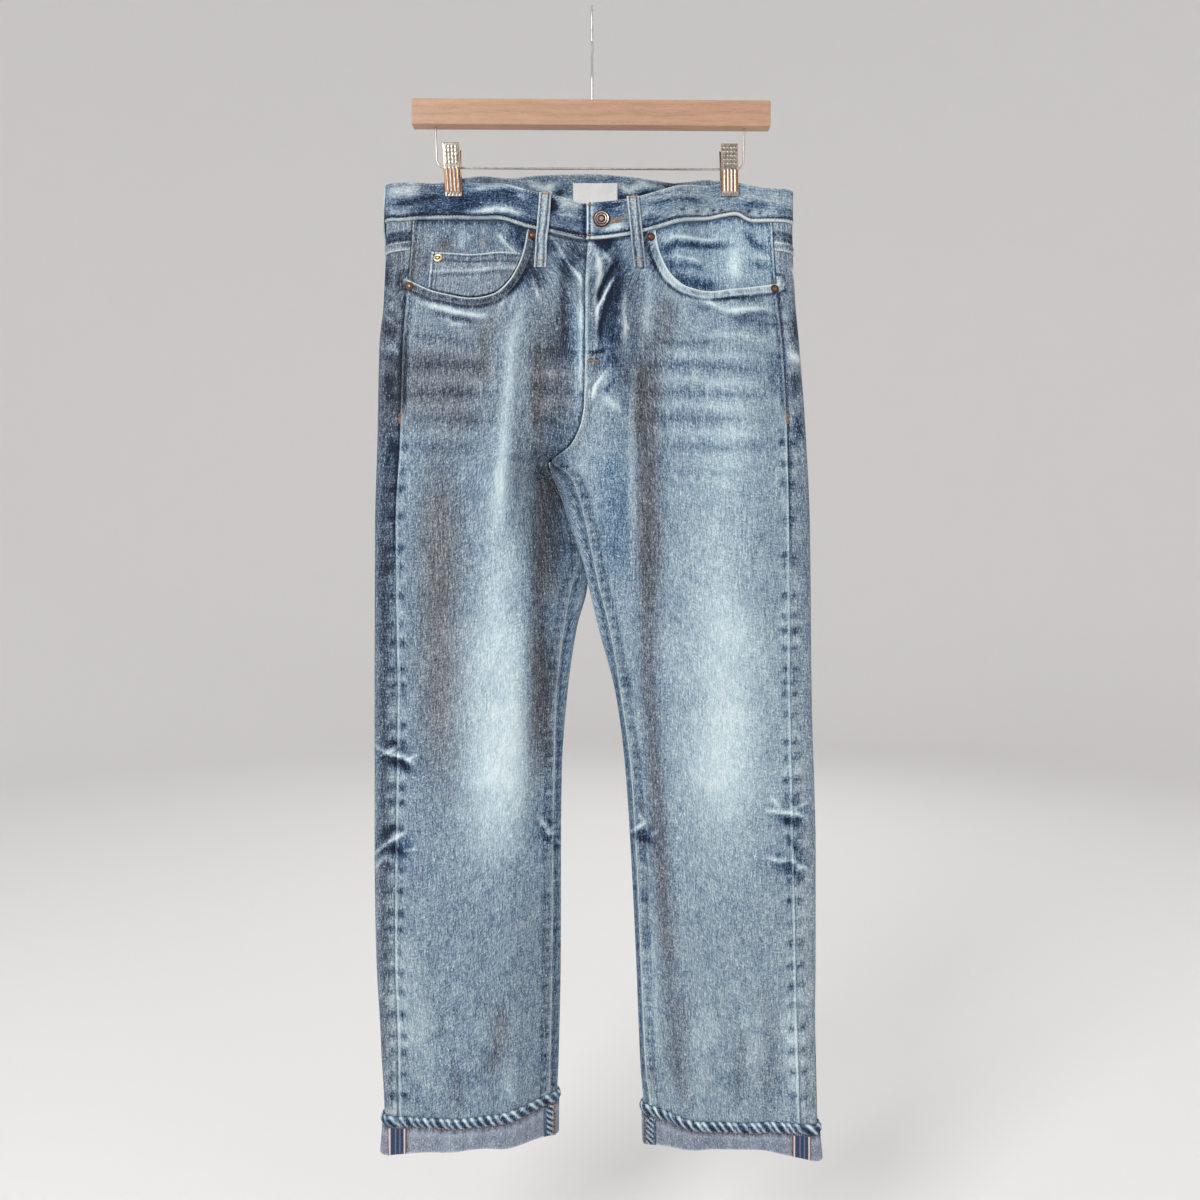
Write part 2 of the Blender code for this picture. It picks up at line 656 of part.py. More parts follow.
def front_loop(side):
    x_top, x_foot, z_top, z_foot = FRONT_LOOPS[side]
    v = np.linspace(0, 1, LOOP_ROWS)[:, None]
    across = np.array([-0.5, 0.0, 0.5])[None, :] * LOOP_WIDTH
    x = x_top + (x_foot - x_top) * v + across
    z = z_top + (z_foot - z_top) * v + 0 * across
    low = loop_rise(z, WAIST["front_seam"](x)) + LOOP_BOW * np.sin(math.pi * v) ** 2
    sheet(f"belt_loop_front_{side}", side, FRONT, x, z, low, low + LOOP_THICK)


def side_loop(side):
    """Just behind the folded side edge."""
    v = np.linspace(0, 1, LOOP_ROWS)
    grid = []
    for z in np.linspace(*SIDE_LOOP_Z, LOOP_ROWS):
        grid.append([(*round_the_back(side, z, SIDE_LOOP_AT + d)[:2], z) for d in (-6, -3, 0, 3, 6)])
    grid = np.array(grid)
    face, x, z = grid[..., 0].astype(int), grid[..., 1], grid[..., 2]
    low = loop_rise(z, WAIST["back_seam"](x)) + LOOP_BOW * np.sin(math.pi * v[:, None]) ** 2
    sheet(f"belt_loop_side_{side}", side, face, x, z, low, low + LOOP_THICK)


def back_loop():
    v = np.linspace(0, 1, LOOP_ROWS)[:, None]
    x = RISE["seam"](-200) + np.array([-0.5, 0.0, 0.5])[None, :] * LOOP_WIDTH + 0 * v
    z = np.linspace(*BACK_LOOP_Z, LOOP_ROWS)[:, None] + 0 * x
    low = loop_rise(z, WAIST["back_seam"](x)) + LOOP_BOW * np.sin(math.pi * v) ** 2
    points = [cloth(LEFT, BACK, x, z, low), cloth(LEFT, BACK, x, z, low + LOOP_THICK)]
    wall("belt_loop_back", points[0], points[1], "denim")


def fly_shield():
    x_from, x_to, z_foot = FLY_SHIELD
    x = np.linspace(x_from, x_to, 6)
    top = WAIST["front_seam"](x) - SEAM_GAP
    foot = z_foot + 26 * ((x - x_from) / (x_to - x_from)) ** 2
    z = np.array([top + (foot - top) * v for v in np.linspace(0, 1, 9)])
    x = np.tile(x, (9, 1))
    out = UNDER - 2 * LIE_CLEAR
    wall("fly_shield", cloth(LEFT, FRONT, x, z, out - DENIM), cloth(LEFT, FRONT, x, z, out), "denim")


def facing_grid(side):
    """Columns from the side seam inwards, rows from the waist seam to below the pocket mouth."""
    sign = SIGN[side]
    mouth = resample(MOUTH[side][::-1], np.linspace(0, 1, 40))
    along = np.gradient(mouth, axis=0)
    along /= np.linalg.norm(along, axis=1, keepdims=True)
    inward = np.stack([along[:, 1], -along[:, 0]], axis=1) * -sign
    under = mouth + inward * FACING_UNDER * ease(np.linspace(0.25, 1, 40) * 2)[:, None]
    under[:, 0] = sign * np.minimum(under[:, 0] * sign, SIDES[f"{side}_seam"](under[:, 1]) * sign - SEAM_GAP)
    bottom = resample(under[::6], np.linspace(0, 1, FACING_COLUMNS))
    seam_x = SIDES[f"{side}_seam"](-222) - sign * SEAM_GAP
    top_x = np.linspace(seam_x, bottom[-1, 0], FACING_COLUMNS)
    top_z = WAIST["front_seam"](top_x) - 2 * SEAM_GAP
    bottom[-1, 1] = min(bottom[-1, 1], top_z[-1] - 8)
    rows = np.linspace(0, 1, FACING_ROWS)[:, None]
    x = top_x + (bottom[:, 0] - top_x) * rows
    z = top_z + (bottom[:, 1] - top_z) * rows
    x[:, 0] = SIDES[f"{side}_seam"](z[:, 0]) - sign * SEAM_GAP
    return x, z


def pocket_facing(side):
    """The cloth that shows in the pocket mouth, tucked under its edge."""
    x, z = facing_grid(side)
    down, across = np.linspace(0, 1, FACING_ROWS)[:, None], np.linspace(0, 1, FACING_COLUMNS)
    out = UNDER - LIE_CLEAR * ease(down * 5 - 3.2) - LIE_CLEAR * ease(across * 5 - 3.2)
    sheet(f"pocket_facing_{side}", side, FRONT, x, z, out - DENIM, out)


def coin_pocket():
    """On the right facing's own columns, cut off by the pocket mouth."""
    x, z = facing_grid(RIGHT)
    mouth = resample(MOUTH[RIGHT], np.linspace(0, 1, 60))
    first, last = COIN_COLUMNS
    grid_x, grid_z = [], []
    for column in [first, *range(math.ceil(first), math.floor(last) + 1), last]:
        line_x = [np.interp(column, np.arange(FACING_COLUMNS), row) for row in x]
        line_z = [np.interp(column, np.arange(FACING_COLUMNS), row) for row in z]
        fine = np.linspace(0, 1, 200)
        down_x = np.interp(fine, np.linspace(0, 1, FACING_ROWS), line_x)
        down_z = np.interp(fine, np.linspace(0, 1, FACING_ROWS), line_z)
        top = COIN_TOP_Z[0] + (COIN_TOP_Z[1] - COIN_TOP_Z[0]) * (column - first) / (last - first)
        above_mouth = down_z > np.interp(down_x, mouth[::-1, 0], mouth[::-1, 1]) + COIN_FOOT_CLEAR
        start, end = fine[down_z <= top][0], fine[above_mouth][-1]
        at = np.linspace(start, end, 5)
        grid_x.append(np.interp(at, fine, down_x))
        grid_z.append(np.interp(at, fine, down_z))
    low = UNDER + COIN_CLEAR
    sheet("coin_pocket", RIGHT, FRONT, np.array(grid_x).T, np.array(grid_z).T, low, low + COIN_THICK)


def back_pocket(side):
    """A plain patch with a pointed foot, on the back panel's own columns."""
    first, last = BACK_POCKET_COLUMNS
    columns = np.concatenate([[first], np.arange(math.ceil(first), math.floor(last) + 1), [last]])
    top, corner, point = BACK_POCKET_Z
    pointed = 1 - np.abs(2 * (columns - first) / (last - first) - 1)
    foot = corner + (point - corner) * pointed
    face, x, z = back_grid(side, [top + (foot - top) * v for v in np.linspace(0, 1, 8)], columns)
    sheet(f"back_pocket_{side}", side, BACK, x, z, POCKET_CLEAR, POCKET_CLEAR + DENIM)


def label():
    x = np.linspace(*LABEL_X, 6)
    z = np.linspace(*LABEL_Z, 4)[:, None]
    sheet_x, sheet_z = x + 0 * z, z + 0 * x
    out = BAND_IN - SEAM_GAP
    low = cloth(LEFT, BACK, sheet_x, sheet_z, out - LABEL_THICK)
    wall("label", low, cloth(LEFT, BACK, sheet_x, sheet_z, out), "label")


# ---------------------------------------------------------------- cuffs


def leg_ring(side):
    """Face and share of the way from the outer edge to the inner one for points round the leg at the
    cuff. They stand on the columns of the panels inside it."""
    z = CUFF_MIDDLE_Z
    edge, inner = SIDES[f"{side}_edge"](z), inner_edge(side, z)
    seam, inseam = SIDES[f"{side}_seam"](z), INNER[f"{side}_seam"](z)
    front_x = seam + (inseam - seam) * np.linspace(0, 1, MOUTH_COLUMNS + FLY_COLUMNS + 1)
    columns = SEAM_COLUMNS + BACK_COLUMNS + INNER_COLUMNS
    back_face, back_x = back_row(side, np.full(columns + 1, z))
    face = np.concatenate([np.full(len(front_x), FRONT), back_face[-2:0:-1]])
    x = np.concatenate([front_x, back_x[-2:0:-1]])
    return face, (x - edge) / (inner - edge)


def ring_piece(name, side, profile):
    """A section swept round the leg. Its points are (distance out, share of the way from the cuff's
    fold up to its hem line, height added)."""
    face, across = leg_ring(side)
    loops = []
    for out, share, height in profile:
        z = np.full(len(face), CUFF_MIDDLE_Z)
        for _ in range(3):
            edge = SIDES[f"{side}_edge"](z)
            x = edge + (inner_edge(side, z) - edge) * across
            fold, line = cuff_line(side, "fold", x), cuff_line(side, "line", x)
            z = fold + (line - fold) * share + height
        loops.append(cloth(side, face, x, z, out))
    points = np.concatenate(loops)
    steps, count = len(profile), len(face)
    faces = []
    for k in range(steps):
        for j in range(count):
            a, b = k * count + j, k * count + (j + 1) % count
            c, d = (k + 1) % steps * count + (j + 1) % count, (k + 1) % steps * count + j
            faces.append((a, b, c, d))
    add_object(name, points, faces, "denim_wrong_side")


def cuff(side):
    """Turned up outside the leg: a wall joined to the leg's foot by the fold, and the roped hem."""
    inside, outside = CUFF_CLEAR, CUFF_CLEAR + DENIM
    top = -HEM_HEIGHT - SEAM_GAP
    ring_piece(f"cuff_{side}", side, [
        (inside, 1, top),
        (outside, 1, top),
        (outside, 0, 0.6),
        (outside - 0.6, 0, 0),
        (-DENIM, 0, 0),
        (-DENIM, 0, DENIM),
        (inside, 0, DENIM),
    ])
    ring_piece(f"hem_{side}", side, [
        (inside, 1, -HEM_HEIGHT),
        (inside + HEM_THICK * 0.7, 1, -HEM_HEIGHT),
        (inside + HEM_THICK, 1, -HEM_HEIGHT * 0.6),
        (inside + HEM_THICK * 0.9, 1, -HEM_HEIGHT * 0.15),
        (inside + HEM_THICK * 0.4, 1, 0.3),
        (inside, 1, 0),
    ])


def cuff_strip(name, side, x_from, width, finish):
    """A strip sewn into the cuff: the outseam's selvedge edges, or the inseam's allowance."""
    x = x_from + SIGN[side] * np.linspace(-width / 2, width / 2, 5)
    fold = cuff_line(side, "fold", x) + 1.0
    top = cuff_line(side, "line", x) - HEM_HEIGHT - 1.0
    z = fold + (top - fold) * np.linspace(0, 1, 3)[:, None]
    out = CUFF_CLEAR + DENIM + 2 * SEAM_GAP
    x = x + 0 * z
    wall(name, cloth(side, FRONT, x, z, out), cloth(side, FRONT, x, z, out + 0.9), finish)


# ---------------------------------------------------------------- hardware


def turned(name, centre, axis, profile, finish, count=16):
    """A turned piece: (radius, height) points swept round an axis through centre."""
    axis = np.asarray(axis, float) / np.linalg.norm(axis)
    across = np.cross(axis, (0, 0, 1))
    across /= np.linalg.norm(across)
    upright = np.cross(across, axis)
    angles = np.linspace(0, 2 * math.pi, count, endpoint=False)
    ring = np.cos(angles)[:, None] * across + np.sin(angles)[:, None] * upright
    points = [centre + axis * profile[0][1]]
    for radius, height in profile[1:-1]:
        points.extend(centre + axis * height + ring * radius)
    points.append(centre + axis * profile[-1][1])
    steps = len(profile) - 2
    faces = [(0, 1 + j, 1 + (j + 1) % count) for j in range(count)]
    for k in range(steps - 1):
        for j in range(count):
            a, b = 1 + k * count + j, 1 + k * count + (j + 1) % count
            faces.append((a, a + count, b + count, b))
    last = 1 + (steps - 1) * count
    faces += [(last + (j + 1) % count, last + j, last + count) for j in range(count)]
    add_object(name, points, faces, finish)


def stud(name, side, x, z, radius, out, height, finish):
    """A rivet or button seated on the cloth."""
    one = np.array([x]), np.array([z])
    seat = cloth(side, FRONT, *one, out)[0]
    axis = cloth(side, FRONT, *one, out + 1)[0] - seat
    turned(name, seat, axis, [
        (0, 0),
        (radius * 0.96, 0),
        (radius, height * 0.35),
        (radius * 0.93, height * 0.85),
        (radius * 0.45, height),
        (0, height * 1.05),
    ], finish, count=16 if radius > 6 else 10)


def hardware():
    x, z, radius = BUTTON
    stud("button", LEFT, x, z, radius, BAND_OUT + SEAM_GAP, 2.6, "copper")
    for name, (x, z) in RIVETS.items():
        stud(name, RIGHT if x < 0 else LEFT, x, z, RIVET_RADIUS, SEAM_GAP, 1.8, "copper")
    x, z, radius = COIN_RIVET
    stud("rivet_coin", RIGHT, x, z, radius, UNDER + COIN_CLEAR + COIN_THICK + SEAM_GAP, 1.6, "brass")


# ---------------------------------------------------------------- hanger


def wire(name, path, radius, finish, count=8):
    """A round wire along a path, with flat ends."""
    path = np.array(path, float)
    along = np.gradient(path, axis=0)
    along /= np.linalg.norm(along, axis=1, keepdims=True)
    flat = np.ptp(path, axis=0)
    side = np.eye(3)[int(np.argmin(flat))]
    angles = np.linspace(0, 2 * math.pi, count, endpoint=False)
    rings = []
    for point, direction in zip(path, along):
        other = np.cross(direction, side)
        rings.append(point + radius * (np.cos(angles)[:, None] * side + np.sin(angles)[:, None] * other))
    points = np.concatenate(rings)
    faces = []
    for i in range(len(path) - 1):
        for j in range(count):
            a, b = i * count + j, i * count + (j + 1) % count
            faces.append((a, b, b + count, a + count))
    faces.append(tuple(range(count)))
    faces.append(tuple(range((len(path) - 1) * count, len(path) * count)))
    add_object(name, points, faces, finish)


def arc(centre, radius, start, stop, count):
    """Points in a plane on a circle, from one angle to another, in degrees."""
    angles = np.radians(np.linspace(start, stop, count))
    return [(centre[0] + radius * math.cos(a), centre[1] + radius * math.sin(a)) for a in angles]


def bar():
    length = BAR_X[1] - BAR_X[0]
    mesh = bpy.data.meshes.new("hanger_bar")
    shape = bmesh.new()
    bmesh.ops.create_cube(shape, size=1)
    bmesh.ops.scale(shape, vec=(length * MM, 2 * BAR_HALF_DEPTH * MM, BAR_HEIGHT * MM), verts=shape.verts)
    bmesh.ops.bevel(shape, geom=shape.edges[:], offset=BAR_EDGE * MM, segments=2, profile=0.5,
                    affect="EDGES")
    shape.to_mesh(mesh)
    shape.free()
    mesh.materials.append(material("wood"))
    made = bpy.data.objects.new("hanger_bar", mesh)
    made.location = ((BAR_X[0] + BAR_X[1]) / 2 * MM, 0, (BAR_TOP_Z - BAR_HEIGHT / 2) * MM)
    made.rotation_euler = (0, BAR_TILT, 0)
    bpy.context.scene.collection.objects.link(made)


def bar_face_z(x, top):
    """Height of the bar's top or underside over x."""
    middle = BAR_TOP_Z - BAR_HEIGHT / 2
    return middle + (BAR_HEIGHT / 2 if top else -BAR_HEIGHT / 2) - math.tan(BAR_TILT) * (x - sum(BAR_X) / 2)


def hook():
    """A stem that swings back, over the bearing point and down in front."""
    top = HOOK_WIRE - HOOK_RADIUS
    stem = [(0, bar_face_z(0, True) + SEAM_GAP), (0, -70), (2.5, -60), (8.5, -48), (14.5, -38)]
    over = arc((0, top), HOOK_RADIUS, -25, 180, 13)
    tip = [(-HOOK_RADIUS, (top + HOOK_TIP_Z) / 2), (-HOOK_RADIUS - 0.5, HOOK_TIP_Z)]
    wire("hanger_hook", [(0, y, z) for y, z in stem + over + tip], HOOK_WIRE, "steel")


def clip_wire():
    """Bent wire whose two ends stand in the bar and whose low run carries the clips."""
    (x0, x1), (z0, z1), r = CLIP_WIRE_X, CLIP_WIRE_Z, CLIP_CORNER
    left = arc((x0 + r, z0 + r), r, 180, 270, 6)
    right = arc((x1 - r, z1 + r), r, 270, 360, 6)
    path = [(x0 - 1.2, bar_face_z(x0, False) - SEAM_GAP)] + left
    path += [(x0 + (x1 - x0) * s, z0 + (z1 - z0) * s) for s in (0.25, 0.5, 0.75)]
    path += right + [(x1 + 0.6, bar_face_z(x1, False) - SEAM_GAP)]
    wire("hanger_wire", [(x, 0, z) for x, z in path], CLIP_WIRE, "steel")


def clip_wire_z(x):
    (x0, x1), (z0, z1) = CLIP_WIRE_X, CLIP_WIRE_Z
    return z0 + (z1 - z0) * (x - x0) / (x1 - x0)


def clip_jaw(name, side, face):
    """A pressed plate with side flanges that stop above the cloth. It closes on the waistband."""
    x = CLIP_X[side]
    pivot = clip_wire_z(x)
    rows = []
    for z, flange in ((pivot + CLIP_TOP, 1.6), (pivot + 12, 3.4), (pivot, 4.6), (pivot - 8, 4.4),
                      (pivot - 11.5, 0.9), (CLIP_FOOT_Z + 2, 0.5), (CLIP_FOOT_Z, 0.05)):
        lean = (z - CLIP_FOOT_Z) / (pivot + CLIP_TOP - CLIP_FOOT_Z)
        near = CLIP_GRIP + (CLIP_SPREAD - CLIP_GRIP) * lean
        half = CLIP_WIDTH / 2
        section = [(-half, near - flange), (-half, near + CLIP_PLATE), (half, near + CLIP_PLATE),
                   (half, near - flange), (half - CLIP_PLATE, near - flange), (half - CLIP_PLATE, near),
                   (CLIP_PLATE - half, near), (CLIP_PLATE - half, near - flange)]
        sway = x + CLIP_SWAY[side] * (pivot - z)
        rows.append([(sway + across, face * depth, z) for across, depth in section])
    points = np.array(rows).reshape(-1, 3)
    count = 8
    faces = []
    for i in range(len(rows) - 1):
        for j in range(count):
            a, b = i * count + j, i * count + (j + 1) % count
            faces.append((a, b, b + count, a + count))
    for start in (0, (len(rows) - 1) * count):
        faces.append(tuple(start + k for k in (0, 1, 6, 7)))
        faces.append(tuple(start + k for k in (1, 2, 5, 6)))
        faces.append(tuple(start + k for k in (2, 3, 4, 5)))
    add_object(name, points, faces, "steel", smooth=False)


def clip_spring(side):
    """A rolled spring on the wire, between the two jaws."""
    x = CLIP_X[side]
    half, bore = 5.0, CLIP_WIRE + SEAM_GAP
    pivot = clip_wire_z(x)
    lean = (pivot - CLIP_FOOT_Z) / (pivot + CLIP_TOP - CLIP_FOOT_Z)
    outer = CLIP_GRIP + (CLIP_SPREAD - CLIP_GRIP) * lean - 0.8
    count = 14
    angles = np.linspace(0, 2 * math.pi, count, endpoint=False)
    rings = []
    for at, radius in ((-half, bore + 0.2), (-half, outer), (half, outer), (half, bore + 0.2)):
        z = clip_wire_z(x + at)
        rings.append([(x + at, radius * math.cos(a), z + radius * math.sin(a)) for a in angles])
    points = np.array(rings).reshape(-1, 3)
    faces = []
    for k in range(4):
        for j in range(count):
            a, b = k * count + j, k * count + (j + 1) % count
            c, d = (k + 1) % 4 * count + (j + 1) % count, (k + 1) % 4 * count + j
            faces.append((a, b, c, d))
    add_object(f"clip_{side}_spring", points, faces, "steel", smooth=False)


def hanger():
    bar()
    hook()
    clip_wire()
    for side in (RIGHT, LEFT):
        clip_jaw(f"clip_{side}_front_jaw", side, FRONT)
        clip_jaw(f"clip_{side}_back_jaw", side, BACK)
        clip_spring(side)


def main():
    clear_scene()
    waistband()
    for side in (RIGHT, LEFT):
        front_panel(side)
        back_panel(side)
        yoke(side)
        pocket_facing(side)
        back_pocket(side)
        front_loop(side)
        side_loop(side)
        cuff(side)
        cuff_strip(f"selvedge_{side}", side, SIDES[f"{side}_seam"](-1140), SELVEDGE_WIDTH, "selvedge")
        cuff_strip(f"inseam_allowance_{side}", side, INNER[f"{side}_seam"](-1140) + SIGN[side] * 2,
                   ALLOWANCE_WIDTH, "denim_wrong_side")
    back_loop()
    fly_shield()
    coin_pocket()
    label()
    hardware()
    hanger()


main()
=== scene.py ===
"""Straight leg jeans hanging by the waistband from a wooden clip hanger: the finished look.

Sizes are in millimetres and become metres when a mesh is made. X is to the viewer's right, the front
faces -Y and Z is up. The origin is where the hanger's hook bears on what holds it. Right and left are
the wearer's, so the right leg is at negative X. The cloth's form is one function, surface_y(), and
each panel, pocket, loop, seam and stitch takes its points from it.
"""

import functools
import math

import bmesh
import bpy
import numpy as np
from bpy.props import FloatProperty, FloatVectorProperty, IntProperty, PointerProperty
from bpy.types import Operator, Panel, PropertyGroup
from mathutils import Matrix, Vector


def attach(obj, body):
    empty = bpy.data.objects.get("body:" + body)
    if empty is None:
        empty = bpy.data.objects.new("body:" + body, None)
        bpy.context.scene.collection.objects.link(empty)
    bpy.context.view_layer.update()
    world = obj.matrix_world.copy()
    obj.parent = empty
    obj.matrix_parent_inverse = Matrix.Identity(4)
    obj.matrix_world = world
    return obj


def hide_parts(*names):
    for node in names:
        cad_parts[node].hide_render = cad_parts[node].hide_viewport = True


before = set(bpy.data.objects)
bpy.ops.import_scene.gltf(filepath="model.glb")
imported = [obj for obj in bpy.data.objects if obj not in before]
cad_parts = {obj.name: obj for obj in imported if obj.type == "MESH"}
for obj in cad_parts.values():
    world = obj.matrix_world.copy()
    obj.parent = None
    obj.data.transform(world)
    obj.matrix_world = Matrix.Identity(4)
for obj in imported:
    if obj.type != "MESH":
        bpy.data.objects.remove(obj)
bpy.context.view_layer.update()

bl_info = {
    "name": "Straight leg jeans on a clip hanger",
    "version": (1, 0, 0),
    "blender": (4, 5, 0),
    "location": "3D View > Sidebar > Jeans",
    "description": "Builds washed denim jeans with turned-up cuffs, and the hanger that holds them",
    "category": "Add Mesh",
}

MM = 0.001
RIGHT = "right"
LEFT = "left"
SIGN = {RIGHT: -1, LEFT: 1}
FRONT = -1
BACK = 1

# Cloth thicknesses and clearances.
DENIM = 1.2
BAND_OUT = 0.9
BAND_IN = -1.5
SEAM_GAP = 0.3
LOOP_THICK = 1.6
UNDER = -DENIM - SEAM_GAP
LIE_CLEAR = 0.7
POCKET_CLEAR = 1.1
CUFF_CLEAR = 1.0
COIN_THICK = 1.0
COIN_CLEAR = 0.9
LABEL_THICK = 0.7

# Heights.
FORK_Z = -465
CROTCH_RISE = 60
POCKET_FOOT_Z = -330
SHAPED_TO_Z = -345
HEM_FROM_Z = -1085
CUFF_LINE_Z = -1125
STRIP_Z = -1140
TAPE_FOOT_Z = -1150

# How a section swells from its folded edges, and where the clips squeeze it.
EDGE_SHARE = 0.30
EDGE_ROUND = 9
EDGE_GROW = 75
INNER_GROW = 55
TILT_REACH = 60
CLIP_X = {RIGHT: -143.5, LEFT: 140.8}
SQUEEZED = 1.9
SQUEEZE_FLAT = 14
SQUEEZE_FADE = 48
SQUEEZE_TOP_Z = -199
SQUEEZE_END_Z = -330

# Construction columns of a back panel: round the side edge, across, and round the inner edge. Then how
# far from its folded edges the nearest ones stand, and the step in height between its profiles.
SEAM_COLUMNS = 5
BACK_COLUMNS = 12
INNER_COLUMNS = 4
NEAR_FOLD = 5
OUTER_REACH = 14
INNER_REACH = 12
LEAST_INNER = 4
LAST_COLUMN = SEAM_COLUMNS + BACK_COLUMNS + INNER_COLUMNS
FOLD_COLUMN = 3
PROFILE_EDGE = 13
PROFILE_ACROSS = 90
LEVEL_STEP = 2.0

# Colours of 0 to 255 from the deepest to bleached white: the indigo, its greyed wash, the wrong side.
BLUES = ((16, 26, 44), (38, 60, 90), (76, 104, 133), (128, 150, 167), (172, 193, 203), (214, 229, 232))
GREYS = ((40, 42, 46), (66, 68, 72), (96, 99, 104), (130, 134, 140), (165, 170, 176), (205, 208, 210))
WRONG_SIDE = ((52, 58, 70), (84, 92, 108), (112, 122, 140), (140, 151, 168), (172, 181, 194), (208, 213, 219))
RAMP_STOPS = (0.0, 0.2, 0.4, 0.6, 0.8, 1.0)

# Each leg's tone: its front's fade, how that changes at the hip, how much darker the strip behind the
# outseam is, and how grey the hip is. Then the fade and grey of the facings, and the fade of the cuffs.
LEG_TONE = {RIGHT: (0.585, -0.01, 0.13, 0.22), LEFT: (0.635, -0.02, 0.08, 0.05)}
FACING_TONE = {RIGHT: (0.50, 0.3), LEFT: (0.62, 0.0)}
CUFF_TONE = {RIGHT: 0.57, LEFT: 0.53}
STRIP_GREY = 0.25

# Rows and columns of the finished cloth.
MOUTH_FINE = 48
FLY_FINE = 26
TOP_FINE = 46
LEG_ROWS = 300
HEM_FINE = 34
NEAR_SEAMS = 0.45
YOKE_ROWS = 26
BAND_ROWS = 22
BAND_LAP_COLUMNS = 10
LOOP_ROWS = 50
COIN_FINE = (64, 50)
RING_FRONT = 150
ROPE_ROWS = 13

# The hems' roping: ridges round each one, and how they slant.
ROPE_RIDGES = 44
ROPE_SLANT = {RIGHT: 0.022, LEFT: -0.022}

# Seeds of the uneven puckers along each seam.
SEEDS = {
    "outseam_left": 5, "outseam_right": 6, "inseam_left": 11, "inseam_right": 12, "seat": 21,
    "mouth_left": 31, "mouth_right": 32, "under_yoke": 41, "yoke": 43, "band": 51, "band_edge": 53,
    "coin_pocket": 61, "back_pocket": 71, "cuff_left": 81, "cuff_right": 82,
}

# How far a stroke reaches, in half widths, and the share of its length that fades out.
STROKE_REACH = 2.6
STROKE_END = 0.25


def ease(t):
    """A soft step from 0 to 1."""
    t = np.clip(t, 0, 1)
    return t * t * (3 - 2 * t)


def quarter_round(distance, reach):
    """A quarter circle's rise from 0 at a folded edge to 1 at reach."""
    t = np.clip(distance / reach, 0, 1)
    return np.sqrt(1 - (1 - t) ** 2)


def bump(distance, middle, width):
    """1 at the middle, falling off softly on both sides."""
    return np.exp(-(((distance - middle) / width) ** 2))


def band(distance, start, stop, soft=1.0):
    """1 between two distances, with soft ends."""
    return ease((distance - start) / soft + 0.5) * ease((stop - distance) / soft + 0.5)


def ridges(value, distance, *rows):
    """A value with bumps along a distance added. Each row is its amount, middle and width."""
    for amount, middle, width in rows:
        value = value + amount * bump(distance, middle, width)
    return value


def rows_between(top, foot, count, endpoint=True):
    """Heights of a grid's rows from its top line to its foot line."""
    return [top + (foot - top) * v for v in np.linspace(0, 1, count, endpoint=endpoint)]


def smooth_line(at, value):
    """A function through the given values with soft bends and no overshoot."""
    order = np.argsort(at)
    at = np.asarray(at, float)[order]
    value = np.asarray(value, float)[order]
    step = np.diff(at)
    slope = np.diff(value) / step
    tangent = np.zeros(len(at))
    tangent[0], tangent[-1] = slope[0], slope[-1]
    product = slope[1:] * slope[:-1]
    turning = np.where(product > 0, slope[1:] + slope[:-1], 1)
    tangent[1:-1] = np.where(product > 0, 2 * product / turning, 0)

    def line(x):
        x = np.clip(x, at[0], at[-1])
        i = np.clip(np.searchsorted(at, x) - 1, 0, len(step) - 1)
        t = (x - at[i]) / step[i]
        rise = t * t * (3 - 2 * t)
        return (
            value[i]
            + (value[i + 1] - value[i]) * rise
            + step[i] * t * (1 - t) * ((1 - t) * tangent[i] - t * tangent[i + 1])
        )

    return line


def table(columns, rows):
    """One smooth function of the first column for each named column."""
    values = np.array(rows, float)
    return {name: smooth_line(values[:, 0], values[:, i]) for i, name in enumerate(columns.split()) if i}


# Folded side edges and side seams, by height.
SIDES = table("z right_edge left_edge right_seam left_seam", [
    (-150, -212.0, 206, -183.5, 183.0),
    (-225, -212.0, 206, -184.0, 184.5),
    (-300, -214.5, 209, -189.0, 189.0),
    (-345, -219.0, 213, -192.0, 193.5),
    (-440, -221.0, 220, -195.0, 198.5),
    (-530, -223.5, 224, -200.0, 200.5),
    (-710, -224.0, 226, -198.0, 202.0),
    (-865, -224.0, 230, -200.5, 205.5),
    (-965, -222.5, 230, -201.0, 207.5),
    (-1060, -215.0, 228, -196.5, 208.5),
    (-1125, -210.5, 228, -195.0, 209.5),
    (-1170, -213.0, 231, -197.0, 212.0),
])

# Seam of the fly and crotch, by height.
RISE = table("z seam", [
    (-240, -4.0),
    (-300, -6.5),
    (-360, -7.0),
    (-412, -8.2),
    (-427, -10.5),
    (-449, -20.5),
    (-457, -30.0),
    (FORK_Z, -44.0),
])

# Inner leg edges and inseams below the fork, by height. The left leg hangs in front of the right one.
INNER = table("z right_edge left_edge right_seam left_seam", [
    (FORK_Z, -44.5, -43.5, -44.5, -43.5),
    (-472, -43.1, -43.0, -45.0, -34.0),
    (-481, -34.5, -40.0, -37.5, -23.0),
    (-493, -24.5, -35.0, -29.0, -17.0),
    (-500, -18.0, -32.3, -24.0, -14.5),
    (-530, -5.0, -22.8, -13.0, -7.0),
    (-563, -2.5, -10.8, -11.7, 0.0),
    (-595, -5.5, -3.0, -21.0, 7.0),
    (-635, -16.0, 6.5, -28.0, 17.0),
    (-705, -26.0, 24.5, -36.0, 29.0),
    (-780, -31.5, 34.0, -38.0, 39.0),
    (-870, -32.6, 40.0, -39.6, 44.5),
    (-970, -32.8, 45.0, -40.7, 49.0),
    (-1090, -35.5, 50.0, -43.0, 54.5),
    (-1122, -36.8, 52.5, -43.5, 58.5),
    (-1170, -37.2, 54.0, -44.0, 59.0),
])

